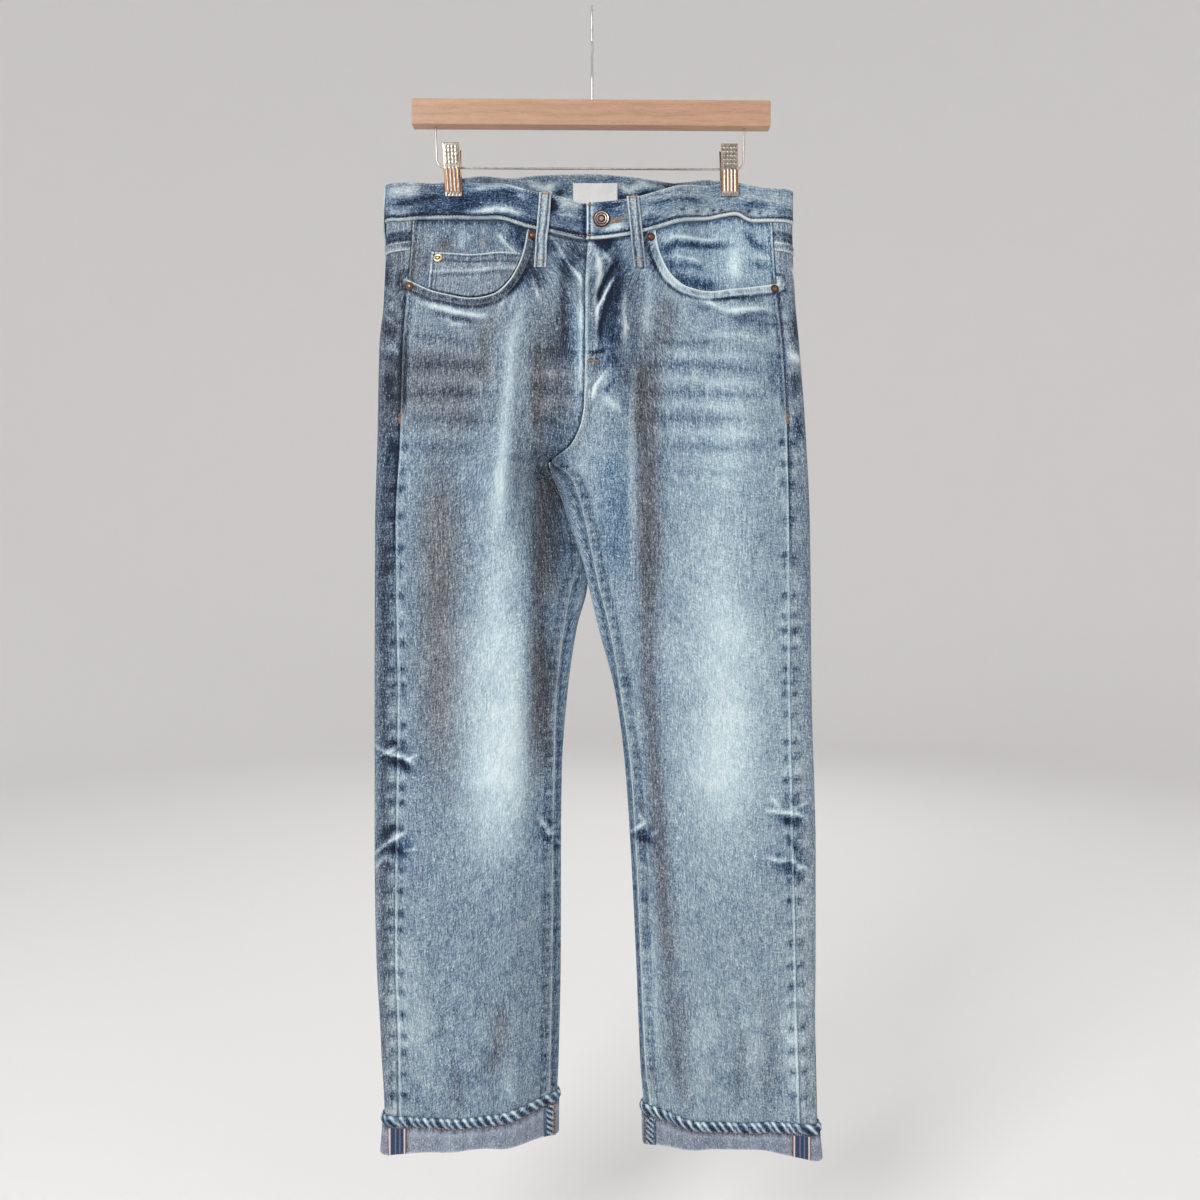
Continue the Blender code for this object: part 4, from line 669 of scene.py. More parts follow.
# The same for the waistband, and for the facings behind the pocket mouths.
BAND_STROKES = [
    (FRONT, 7, 0.34, 0.5, 0, (-212, -190), (-190, -190), (-172, -186)),
    (FRONT, 3, -0.30, 0, -0.8, (-204, -203), (-186, -200), (-170, -195), (-152, -190)),
    (FRONT, 5, 0.24, 0.1, 0, (-210, -212), (-184, -211)),
    (FRONT, 10, -0.18, -0.2, 0, (-170, -206), (-135, -201), (-102, -195), (-61, -210)),
    (FRONT, 5, -0.12, -0.2, 0, (-150, -194), (-110, -192)),
    (FRONT, 3.4, 0.44, 0.1, 0.2, (-136, -207), (-112, -210), (-95, -213.5), (-66, -222)),
    (FRONT, 3, 0.20, 0.2, 0, (-168, -212), (-140, -211)),
    (FRONT, 2.6, 0.34, 0.1, 0.2, (-127, -183), (-88, -192), (-60, -197)),
    (FRONT, 2.2, 0.26, 0, 0, (-76, -200), (-64, -206)),
    # painted shadow of the right front belt loop
    (FRONT, 3.5, -0.55, 0, -0.2, (-41, -203), (-38, -220)),
    (FRONT, 7, 0.30, 0.4, 0.3, (-33, -208), (-10, -212)),
    (FRONT, 1.8, 0.20, 0.2, 0.3, (-36, -221), (-8, -224)),
    (FRONT, 5, 0.12, 0, 0, (-43, -230), (-8, -236)),
    (FRONT, 10, -0.28, -0.2, 0, (4, -210), (34, -214)),
    (FRONT, 3, 0.26, 0, 0.1, (4, -230), (16, -236), (34, -232)),
    (FRONT, 2, 0.20, 0, 0, (20, -216), (34, -212)),
    (FRONT, 5, 0.10, 0.3, 0.2, (50, -206), (90, -196), (128, -188)),
    (FRONT, 2.0, -0.24, 0, -0.4, (52, -212), (80, -206), (116, -198)),
    (FRONT, 1.6, -0.14, 0, -0.2, (52, -204), (110, -192)),
    (FRONT, 3, -0.22, 0, -0.2, (50, -228), (66, -224)),
    (FRONT, 4.5, 0.22, 0.4, 0.2, (70, -222), (100, -215), (137, -207), (159, -212), (206, -217)),
    (FRONT, 2.6, -0.34, -0.2, -0.3, (90, -213), (92, -216)),
    (FRONT, 2.6, -0.34, -0.2, -0.3, (105, -210), (107, -213)),
    (FRONT, 2.4, -0.34, -0.2, -0.3, (124, -205), (125, -208)),
    (FRONT, 2.6, -0.36, -0.2, -0.3, (132, -204), (133, -208)),
    (FRONT, 2.6, -0.36, -0.2, -0.3, (160, -206), (162, -210)),
    (FRONT, 2.6, -0.32, -0.2, -0.3, (171, -209), (172, -213)),
    (FRONT, 3.4, -0.26, -0.1, -0.3, (155, -199), (180, -204)),
    (FRONT, 5, 0.10, 0.3, 0, (154, -190), (205, -200)),
    (FRONT, 3, -0.14, 0, -0.2, (186, -206), (206, -210)),
    (BACK, 4, 0.36, 0.2, 0.4, (-68, -165), (-52, -172), (-36, -167)),
    (BACK, 4, -0.34, 0, -0.4, (-58, -178), (-42, -181), (-28, -173)),
    (BACK, 4, 0.36, 0.2, 0.4, (23, -165), (38, -174), (52, -167), (66, -172)),
    (BACK, 4, -0.36, 0, -0.4, (28, -179), (44, -183), (62, -178)),
    (BACK, 5, -0.26, 0, -0.2, (72, -167), (98, -172)),
    (BACK, 5, 0.20, 0.2, 0, (-104, -169), (-80, -174)),
    (BACK, 5, 0.30, 0.1, 0.4, (-60, -188), (-44, -178), (-30, -190), (-16, -182)),
    (BACK, 4, -0.26, 0, -0.4, (-52, -196), (-36, -200), (-20, -196)),
    (BACK, 5, 0.30, 0.1, 0.4, (44, -182), (58, -194), (76, -184), (96, -180)),
    (BACK, 4, -0.26, 0, -0.4, (50, -176), (74, -176)),
    (BACK, 4, -0.22, 0, -0.4, (90, -192), (120, -188)),
    (BACK, 4, -0.22, 0, -0.4, (-110, -190), (-84, -184)),
    (BACK, 5, 0.16, 0, 0.2, (-190, -206), (-120, -198), (-40, -186)),
    (BACK, 4, -0.14, 0, -0.2, (-170, -196), (-90, -182)),
    (BACK, 5, 0.16, 0, 0.2, (190, -208), (120, -200), (40, -188)),
    (BACK, 4, -0.14, 0, -0.2, (160, -198), (70, -182)),
]
FACING_STROKES = [
    (FRONT, 2.5, 0.34, 0.3, 0.9, (70, -252), (80, -243), (109, -240), (135, -236)),
    (FRONT, 3.4, -0.42, 0, -1.2, (68, -259), (84, -250), (113, -246), (137, -243)),
    (FRONT, 2, 0.24, 0, 0.6, (73, -267), (84, -262), (113, -264)),
    (FRONT, 3, -0.26, 0, -0.7, (76, -274), (96, -270), (118, -272)),
    # painted shade above the left pocket mouth, under its edge
    (FRONT, 7, -0.40, 0, 0, (76, -278), (96, -289), (130, -292)),
    # painted highlight on the ridge below the left clip
    (FRONT, 9, 0.28, -0.3, 0.4, (146, -228), (143, -290)),
    (FRONT, 5, -0.24, 0, -0.3, (128, -242), (152, -243)),
    (FRONT, 3.4, -0.34, 0, -0.7, (156, -226), (166, -242), (180, -250)),
    (FRONT, 3, -0.24, 0, -0.5, (160, -262), (182, -268)),
    (FRONT, 3, 0.16, 0.3, 0.4, (160, -254), (184, -259)),
    (FRONT, 6, 0, 0.5, -0.4, (-182, -226), (-180, -290)),
    (FRONT, 30, -0.05, 0.3, 0, (-166, -240), (-150, -270)),
    (FRONT, 6, -0.28, 0, 0, (70, -264), (84, -272)),
    (FRONT, 6, -0.22, 0, 0, (70, -246), (78, -262)),
    (FRONT, 5, 0.14, 0.1, 0.3, (-163, -226), (-166, -248)),
    (FRONT, 5, -0.10, 0.4, -0.4, (-150, -228), (-152, -250)),
    (FRONT, 6, 0.14, -0.3, 0.3, (-133, -226), (-133, -252)),
    (FRONT, 5, 0.05, 0.4, -0.3, (-112, -228), (-110, -254)),
    (FRONT, 2, 0.34, 0, 0.6, (-98, -236), (-86, -250), (-72, -263)),
    (FRONT, 8, -0.38, -0.3, -0.4, (-76, -232), (-66, -256)),
    # painted shade above the right pocket mouth, under its edge
    (FRONT, 6, -0.34, 0, 0, (-140, -298), (-110, -296), (-84, -286)),
    (FRONT, 5, -0.2, 0, 0, (-196, -282), (-172, -292)),
]

# Heights of the dark puckers along each outseam, and how far apart those of other seams stand.
OUTSEAM_PUCKERS = {
    RIGHT: (-452, -477, -493, -522, -554, -572, -602, -631, -650, -677, -693, -702, -733, -751, -770, -796,
            -812, -838, -861, -880, -902, -925, -941, -963, -984, -1004, -1026, -1047, -1063, -1084, -1104),
    LEFT: (-446, -469, -488, -525, -561, -571, -601, -623, -637, -656, -676, -690, -702, -723, -751, -768,
           -789, -806, -830, -848, -872, -893, -911, -936, -955, -978, -999, -1017, -1040, -1062, -1083, -1106),
}
PUCKER_GAP = 8.6


# ---------------------------------------------------------------- the cloth's form


def side_edge(side, z):
    """The leg's folded outer edge."""
    return SIDES[f"{side}_edge"](z)


def side_seam(side, z):
    """The outseam, which has rolled forward from the folded edge."""
    return SIDES[f"{side}_seam"](z)


def inner_seam(side, z):
    """The inseam, below the fork."""
    return INNER[f"{side}_seam"](z)


def inner_edge(side, z):
    """The seam of the fly and crotch above the fork, and the leg's inner edge below it."""
    return np.where(z >= FORK_Z, RISE["seam"](z), INNER[f"{side}_edge"](z))


def off_segment(x, z, start, stop, squared):
    """Distance from a straight piece of line of the given squared length, and the share of the way
    along it at which its nearest place is."""
    (x0, z0), (x1, z1) = start, stop
    along = np.clip(((x - x0) * (x1 - x0) + (z - z0) * (z1 - z0)) / squared, 0, 1)
    return np.hypot(x - x0 - along * (x1 - x0), z - z0 - along * (z1 - z0)), along


def fold_height(face, x, z):
    """Height that the large soft folds give the cloth."""
    total = 0.0
    for fold_face, x0, z0, x1, z1, width, height in FOLDS:
        away, _ = off_segment(x, z, (x0, z0), (x1, z1), (x1 - x0) ** 2 + (z1 - z0) ** 2)
        total = total + np.where(face == fold_face, height * bump(away, 0, width), 0)
    return total


def line_distance(points, x, z):
    """Distance from a line of points, and how far along it, from 0 to 1, the nearest place is."""
    points = np.asarray(points, float)
    steps = np.linalg.norm(np.diff(points, axis=0), axis=1)
    best, place, run = np.full(np.shape(x), np.inf), np.zeros(np.shape(x)), 0.0
    for start, stop, length in zip(points, points[1:], steps):
        away, along = off_segment(x, z, start, stop, length**2)
        place = np.where(away < best, (run + along * length) / steps.sum(), place)
        best = np.minimum(best, away)
        run += length
    return best, place


def worn_and_shaded(rows, face, x, z):
    """Change of fade and grey, with painted highlight and painted shade among it, and the height,
    that strokes give the cloth.
    """
    x, z, face = np.broadcast_arrays(np.asarray(x, float), np.asarray(z, float), face)
    shape = x.shape
    x, z, face = x.ravel(), z.ravel(), face.ravel()
    fade, grey, height = np.zeros(x.size), np.zeros(x.size), np.zeros(x.size)
    for row_face, width, change, greyer, raised, *points in rows:
        low, high = np.min(points, axis=0) - STROKE_REACH * width, np.max(points, axis=0) + STROKE_REACH * width
        near = np.flatnonzero((face == row_face) & (x > low[0]) & (x < high[0]) & (z > low[1]) & (z < high[1]))
        if not near.size:
            continue
        away, place = line_distance(points, x[near], z[near])
        taper = STROKE_END + (1 - STROKE_END) * ease(np.minimum(place, 1 - place) / STROKE_END)
        share = bump(away, 0, width * (0.75 + 0.25 * taper)) * taper
        fade[near] += change * share
        grey[near] += greyer * share
        height[near] += raised * share
    return fade.reshape(shape), grey.reshape(shape), height.reshape(shape)


def surface_y(side, face, x, z, wear=None):
    """Depth of the cloth's outer face over (x, z)."""
    from_outer = np.abs(x - side_edge(side, z))
    from_inner = (x - inner_edge(side, z)) * SIGN[side]
    from_inner = np.where(z >= FORK_Z, np.abs(from_inner), np.maximum(from_inner, 0))
    depth = np.where(face == FRONT, DEPTH["front"](z), DEPTH["back"](z))
    outer = EDGE_SHARE * quarter_round(from_outer, EDGE_ROUND)
    outer = outer + (1 - EDGE_SHARE) * ease(from_outer / EDGE_GROW)
    tucked_face = FRONT if side == RIGHT else BACK
    tuck = np.where(face == tucked_face, TUCK["width"](z), 0)
    share = DEPTH["inner_edge"](z) / depth
    inner = share * quarter_round(from_inner, EDGE_ROUND)
    inner = inner + (1 - share) * ease((from_inner - tuck) / INNER_GROW)
    closed = 1 - quarter_round(z - FORK_Z, CROTCH_RISE)
    half = depth * outer * (1 - closed * (1 - inner))
    middle = closed * DEPTH[f"{side}_inner"](z) * (1 - ease(from_inner / TILT_REACH))
    middle = middle + DEPTH[f"{side}_outer"](z) * (1 - ease(from_outer / TILT_REACH))
    grip = ease((z - SQUEEZE_END_Z) / (SQUEEZE_TOP_Z - SQUEEZE_END_Z))
    squeeze = grip * (1 - ease((np.abs(x - CLIP_X[side]) - SQUEEZE_FLAT) / SQUEEZE_FADE))
    half = half - squeeze * np.maximum(half - SQUEEZED, 0)
    calm = ease(from_outer / 18) * (1 - closed * (1 - ease(from_inner / 22))) * (1 - squeeze)
    height = calm * fold_height(face, x, z)
    if wear is not None:
        rim = ease(from_outer / 5) * (1 - closed * (1 - ease(from_inner / 6)))
        height = height + rim * worn_and_shaded(wear, face, x, z)[2]
    return middle + face * (half + height)


def cloth(side, face, x, z, out=0.0, wear=None):
    """Points on the cloth over (x, z), moved out along its normal."""
    step = 0.25
    edge = side_edge(side, z)
    far = np.where(z >= FORK_Z, -edge, inner_edge(side, z))
    low, high = np.minimum(edge, far), np.maximum(edge, far)
    before, after = np.clip(x - step, low, high), np.clip(x + step, low, high)
    y = surface_y(side, face, x, z, wear)
    rise_x = surface_y(side, face, after, z, wear) - surface_y(side, face, before, z, wear)
    rise_z = surface_y(side, face, x, z + step, wear) - surface_y(side, face, x, z - step, wear)
    slope_x, slope_z = rise_x / (after - before), rise_z / (2 * step)
    normal = np.stack([-slope_x * face, np.ones_like(y) * face, -slope_z * face], axis=-1)
    normal /= np.linalg.norm(normal, axis=-1, keepdims=True)
    return np.stack([x, y, z * np.ones_like(y)], axis=-1) + normal * np.asarray(out)[..., None]


def cloth_frame(side, face, x, z, wear=None, out=0.0):
    """Points on the cloth over (x, z), moved out, and the way out at each of them."""
    base = cloth(side, face, x, z, out, wear)
    return base, cloth(side, face, x, z, out + 1, wear) - base


def resample(points, shares):
    """Points at the given shares of a smooth line through a few points."""
    points = np.array(points, float)
    length = np.concatenate([[0], np.cumsum(np.linalg.norm(np.diff(points, axis=0), axis=1))])
    fine = np.linspace(0, length[-1], 200)
    dense = np.stack([smooth_line(length, points[:, k])(fine) for k in range(points.shape[1])], axis=1)
    run = np.concatenate([[0], np.cumsum(np.linalg.norm(np.diff(dense, axis=0), axis=1))])
    at = np.asarray(shares) * run[-1]
    return np.stack([np.interp(at, run, dense[:, k]) for k in range(points.shape[1])], axis=1)


@functools.lru_cache(maxsize=None)
def back_profile(side, z):
    """One height of a back panel: lengths from the side seam round to the row's end, the x at each,
    the lengths at which the panel's construction columns stand, and that of the inner edge."""
    edge, seam, inner = side_edge(side, z), side_seam(side, z), inner_edge(side, z)
    near = np.linspace(1, 0, PROFILE_EDGE) ** 2
    across = (1 - np.cos(np.linspace(0, math.pi, PROFILE_ACROSS))) / 2
    x = np.concatenate([edge + (seam - edge) * near, edge + (inner - edge) * across[1:]])
    face = np.repeat((FRONT, BACK), (PROFILE_EDGE, PROFILE_ACROSS - 1))
    if z < FORK_Z:
        x = np.concatenate([x, inner + (inner_seam(side, z) - inner) * near[::-1][1:]])
        face = np.concatenate([face, np.full(PROFILE_EDGE - 1, FRONT)])
    y = surface_y(side, face, x, np.full(len(x), z))
    run = np.concatenate([[0], np.cumsum(np.hypot(np.diff(x), np.diff(y)))])
    outer, turn, length = run[PROFILE_EDGE - 1], run[PROFILE_EDGE + PROFILE_ACROSS - 2], run[-1]
    start = [SEAM_GAP, outer / 2, outer - NEAR_FOLD, outer, outer + NEAR_FOLD, outer + OUTER_REACH]
    last = min(turn, length - LEAST_INNER)
    middle = np.linspace(start[-1], last - INNER_REACH, BACK_COLUMNS + 1)[1:]
    end = [last - NEAR_FOLD, last, last + 0.45 * (length - last), length - SEAM_GAP / 2]
    return run, x, np.concatenate([start, middle, end]), turn


def round_the_back(side, z, column):
    """Face and x of a back panel's construction columns (whole or between) at each height."""
    z, column = np.broadcast_arrays(np.asarray(z, float), np.asarray(column, float))
    x, beyond = np.zeros(z.shape), np.zeros(z.shape)
    level = np.floor(z / LEVEL_STEP)
    share = z / LEVEL_STEP - level
    for k in np.unique(np.concatenate([level.ravel(), level.ravel() + 1])):
        run, xs, columns, turn = back_profile(side, float(k) * LEVEL_STEP)
        for weight, here in ((1 - share, level == k), (share, level == k - 1)):
            length = np.interp(column[here], np.arange(len(columns)), columns)
            x[here] += weight[here] * np.interp(length, run, xs)
            beyond[here] += weight[here] * (length - turn)
    face = np.where((column < FOLD_COLUMN) | ((z < FORK_Z) & (beyond > 0)), FRONT, BACK)
    edge = side_edge(side, z)
    x = np.where(SIGN[side] * (x - edge) > 0, edge, x)
    inside = inner_edge(side, z)
    return face, np.where((z < FORK_Z) & (SIGN[side] * (x - inside) < 0), inside, x)


# ---------------------------------------------------------------- hems, seams and puckers in the cloth


@functools.lru_cache(maxsize=None)
def pucker_marks(seed, start, stop, gap):
    """Uneven places and depths of the small puckers along a seam."""
    random = np.random.default_rng(seed)
    count = int((start - stop) / gap)
    places = start - np.cumsum(gap * (0.65 + 0.7 * random.random(count)))
    return places, 0.45 + 0.55 * random.random(count)


def puckered(at, marks, width=2.6):
    """0 between the puckers of a seam, up to 1 in them."""
    return ridges(np.zeros(np.shape(at)), at, *((depth, place, width) for place, depth in zip(*marks)))


def panel_marks(side, face, x, z):
    """Height, fade and grey that hems, felled seams and their puckers give a panel, with painted shade
    along the outseam's groove, beside the fly's lap and below the waist seam.
    """
    height, fade, grey = np.zeros(x.shape), np.zeros(x.shape), np.zeros(x.shape)
    front = face == FRONT
    sign = SIGN[side]

    # Outseam: the panels' folded edges stand up a little, with dark puckers beside them.
    away = sign * (x - side_seam(side, z))
    places = np.array(OUTSEAM_PUCKERS[side])
    spots = puckered(z, (places, np.resize([1.0, 0.8, 1.0, 0.7], len(places))), 3.8) * front
    fade += spots * ridges(0, away, (-0.44, 5.0, 3.4), (-0.44, -6.5, 3.6))
    height += spots * ridges(0, away, (-0.5, 4.0, 4.0), (-0.4, -5.5, 3.0))
    # Painted shade: a dark line in the seam's groove, darker higher up, and a dark line beside it at the hip.
    groove = front * ease((-z - 292) / 8)
    dark = 0.06 + 0.38 * ease((z + 590) / 80)
    fade += groove * ridges(0, away, (0.26, -1.8, 1.2), (0.24, 2.4, 1.3), (-dark, 0.3, 1.0))
    fade -= groove * 0.26 * bump(away, -4.5, 3.0) * ease((z + 425) / 20)
    between = puckered(z, pucker_marks(SEEDS[f"outseam_{side}"], -300, -1110, 15), 5) * front
    fade += between * ridges(0, away, (0.20, 7, 6), (0.14, -8, 4))
    height += front * 0.35 * bump(away, -1.6, 1.6)

    # Inseam, below the fork: a felled seam on the front panel and puckers inside it.
    inward = sign * (x - inner_seam(side, z))
    below = front * ease((FORK_Z + 6 - z) / 12)
    height += below * 0.7 * band(inward, 0, 9)
    ripples = puckered(z, pucker_marks(SEEDS[f"inseam_{side}"], FORK_Z, -1130, PUCKER_GAP))
    fade += below * ridges(0, inward, (0.30, 1.0, 1.2), (-0.12, 10, 1.6), (-0.24, -1.8, 2.2))
    fade += below * ripples * ridges(0, inward, (-0.34, 6.5, 3.6), (-0.24, -5, 3))
    height += below * ripples * ridges(0, inward, (-0.5, 8, 3.5), (-0.3, -5, 3))

    # Fly and crotch seam in front, where the left panel laps over the right one, and the seat seam.
    rise = x - RISE["seam"](z)
    above = ease((z - FORK_Z) / 6)
    lap, lapped = front & (side == LEFT), front & (side == RIGHT)
    height += lap * above * 0.8 * band(rise, -1, 3.2)
    fade += above * lap * 0.28 * bump(rise, 1.2, 1.3)
    height -= above * lapped * 0.5 * bump(rise, 0, 4)
    # Painted shade on the right panel beside the edge of the left one that laps it.
    fade -= above * lapped * 0.24 * bump(rise, -1.0, 2.2)
    seat = ~front * above
    ripples = puckered(z, pucker_marks(SEEDS["seat"], -260, FORK_Z, PUCKER_GAP))
    height += seat * (side == LEFT) * 0.7 * band(rise, -1, 9)
    fade += seat * (0.28 * (side == LEFT) * bump(rise, 1.2, 1.3) - 0.3 * ripples * bump(np.abs(rise), 9, 4))

    # Hem of the pocket mouth.
    mouth = resample(MOUTH[side], np.linspace(0, 1, 60))
    near = np.flatnonzero((front & (z > POCKET_FOOT_Z)).ravel())
    if near.size:
        away, along = line_distance(mouth, x.ravel()[near], z.ravel()[near])
        hem_height, hem_fade, hem_grey = (part.ravel() for part in (height, fade, grey))
        ribs = puckered(along * 170, pucker_marks(SEEDS[f"mouth_{side}"], 170, 0, 6.5), 1.7)
        hem_height[near] += 0.6 * band(away, -2, 8.6) + 0.3 * bump(away, 1.0, 1.4)
        if side == LEFT:
            hem_fade[near] += band(away, 0, 8.6) * (0.16 - 0.24 * ribs * ease((along - 0.3) * 6))
        else:
            hem_fade[near] += band(away, 1.5, 8.6) * (-0.20 - 0.16 * ribs)
            hem_grey[near] += band(away, 0, 8.6) * 0.12
        hem_fade[near] += ridges(0, away, (0.42, 0.4, 1.4), (0.16, 7.0, 1.0), (-0.40, 9.6, 1.7))
        hem_fade[near] += 0.3 * bump(along, 0.36, 0.07) * bump(away, 0, 3)
        height, fade, grey = (part.reshape(x.shape) for part in (hem_height, hem_fade, hem_grey))

    # Yoke's seam behind, with the panel's edge felled under it, and the waist seam's shade in front.
    ripples = puckered(x, pucker_marks(SEEDS["under_yoke"], 210, -210, PUCKER_GAP))
    fade -= ~front * 0.25 * ripples * bump(YOKE_CENTRE_Z + 14 - z, 22, 7)
    fade -= front * (z > POCKET_FOOT_Z) * 0.50 * bump(WAIST["front_seam"](x) - z, 1.6, 1.8)
    return height, fade, grey


def panel_tone(side, face, x, z):
    """Fade and grey of a leg's panels: the wash, the creases and the seams together, with painted
    highlight on the folds' ridges and painted shade in their valleys and along the seams.
    """
    wash, hip_wash, strip_dark, hip_grey = LEG_TONE[side]
    hip = ease((z + 470) / 60)
    low = ease((-z - 840) / 120)
    strip = (face == FRONT) * ease(SIGN[side] * (x - side_seam(side, z)) / 4)
    base = np.where(face == BACK, 0.56 + 0.02 * low, wash + hip * hip_wash)
    base = base - (strip_dark * ease((z + 900) / 400) + 0.03) * strip
    grey = 0.16 + STRIP_GREY * strip + 0.1 * low + hip * hip_grey
    fade, greyer, _ = worn_and_shaded(STROKES, face, x, z)
    _, marks, marks_grey = panel_marks(side, face, x, z)
    return base + 1.25 * fade + marks, grey + greyer + marks_grey


# ---------------------------------------------------------------- meshes


def clear_name(name):
    """A piece's name is its own, so an older object of that name goes."""
    old = bpy.data.objects.get(name)
    if old:
        bpy.data.objects.remove(old, do_unlink=True)


def make_mesh(name, points, faces, looks, indices=None, flat=None, cloth_map=None, fade=None, grey=None):
    """A mesh object from points in millimetres, with a cloth map and each point's fade and grey: its wear,
    with painted highlight and painted shade among it.
    """
    clear_name(name)
    mesh = bpy.data.meshes.new(name)
    points = np.asarray(points, float).reshape(-1, 3)
    mesh.from_pydata((points * MM).tolist(), [], [tuple(map(int, face)) for face in faces])
    for look in looks:
        mesh.materials.append(look)
    if indices is not None:
        mesh.polygons.foreach_set("material_index", np.asarray(indices, np.int32))
    smooth = np.ones(len(faces), bool) if flat is None else ~np.asarray(flat, bool)
    mesh.polygons.foreach_set("use_smooth", smooth)
    if cloth_map is not None:
        corners = np.zeros(len(mesh.loops), np.int32)
        mesh.loops.foreach_get("vertex_index", corners)
        layer = mesh.uv_layers.new(name="cloth")
        layer.data.foreach_set("uv", (np.asarray(cloth_map, float).reshape(-1, 2)[corners] * MM).ravel())
    for label, values in (("fade", fade), ("grey", grey)):
        if values is not None:
            mesh.attributes.new(label, "FLOAT", "POINT").data.foreach_set("value", np.ravel(values))
    mesh.update()
    made = bpy.data.objects.new(name, mesh)
    bpy.context.scene.collection.objects.link(made)
    return made


def outward_mesh(name, points, faces, looks, **more):
    """A closed mesh in the named finishes, its faces turned outwards."""
    made = make_mesh(name, points, faces, [finish(look) for look in looks], **more)
    shape = bmesh.new()
    shape.from_mesh(made.data)
    bmesh.ops.recalc_face_normals(shape, faces=shape.faces)
    shape.to_mesh(made.data)
    shape.free()
    return made


def grid_faces(rows, columns, closed=False):
    """Faces of a grid of points, row by row. A closed one joins its last column to its first."""
    i, j = np.meshgrid(np.arange(rows - 1), np.arange(columns if closed else columns - 1), indexing="ij")
    a, b = i * columns + j, i * columns + (j + 1) % columns
    return np.stack([a, b, b + columns, a + columns], axis=-1).reshape(-1, 4)


def outward(faces, points, other_points):
    """Whether a grid's faces turn away from the points on its other side."""
    a, b, c = (points.reshape(-1, 3)[faces[:, k]] for k in (0, 1, 2))
    return np.sum(np.cross(b - a, c - b) * (a - other_points.reshape(-1, 3)[faces[:, 0]])) > 0


def wall_faces(outer, inner):
    """Faces of a closed wall between two grids of points, which side each is on, and which are rims."""
    rows, columns = outer.shape[:2]
    shift = rows * columns
    front = grid_faces(rows, columns)
    flipped = not outward(front, outer, inner)
    if flipped:
        front = front[:, ::-1]
    back = front[:, ::-1] + shift
    edges = [(row * columns + j, 1, (row == 0) == flipped) for row in (0, rows - 1) for j in range(columns - 1)]
    edges += [(i * columns + j, columns, (j == 0) != flipped) for j in (0, columns - 1) for i in range(rows - 1)]
    rims = []
    for corner, step, forward in edges:
        a, b = (corner, corner + step) if forward else (corner + step, corner)
        rims.append((a, b, b + shift, a + shift))
    indices = np.repeat((0, 1, 0), (len(front), len(back), len(rims)))
    flat = np.repeat((False, True), (len(front) + len(back), len(rims)))
    return np.concatenate([front, back, np.array(rims)]), indices, flat


def make_cloth(name, outer, inner, cloth_map, fade, grey, look="washed denim", lining="denim wrong side"):
    """A closed wall of cloth between two grids of points. Its inside takes the lining."""
    faces, indices, flat = wall_faces(outer, inner)
    points = np.concatenate([outer.reshape(-1, 3), inner.reshape(-1, 3)])
    both = [np.concatenate([part] * 2) for part in (cloth_map.reshape(-1, 2), np.ravel(fade), np.ravel(grey))]
    return make_mesh(name, points, faces, (finish(look), finish(lining)), indices, flat, *both)


def unrolled(grid):
    """Lengths across and along a grid of points, for its cloth map."""
    across = np.linalg.norm(np.diff(grid, axis=1), axis=-1)
    along = np.linalg.norm(np.diff(grid, axis=0), axis=-1)
    u = np.concatenate([np.zeros((len(grid), 1)), np.cumsum(across, axis=1)], axis=1)
    v = np.concatenate([np.zeros((1, grid.shape[1])), np.cumsum(along, axis=0)], axis=0)
    return np.stack([u, -v], axis=-1)


def softened(shape, drop=0.45):
    """How far the rim of a grid is rounded down."""
    rim = np.zeros(shape)
    for cut in ((0, slice(None)), (-1, slice(None)), (slice(None), 0), (slice(None), -1)):
        rim[cut] = drop
    return rim


def edge_fade(grid, width, amount):
    """Lighter along the rim of a grid, where cloth wears first."""
    rows, columns = grid.shape[:2]
    u = unrolled(grid)
    across, along = u[..., 0], -u[..., 1]
    away = np.minimum.reduce([across, across[:, -1:] - across, along, along[-1:] - along])
    return amount * np.exp(-((away / width) ** 2))


def dress(piece, nodes):
    """Ties a finished piece to the frame, and hides the parts it stands in for."""
    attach(piece, "root")
    if nodes:
        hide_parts(*nodes)


# ---------------------------------------------------------------- finishes


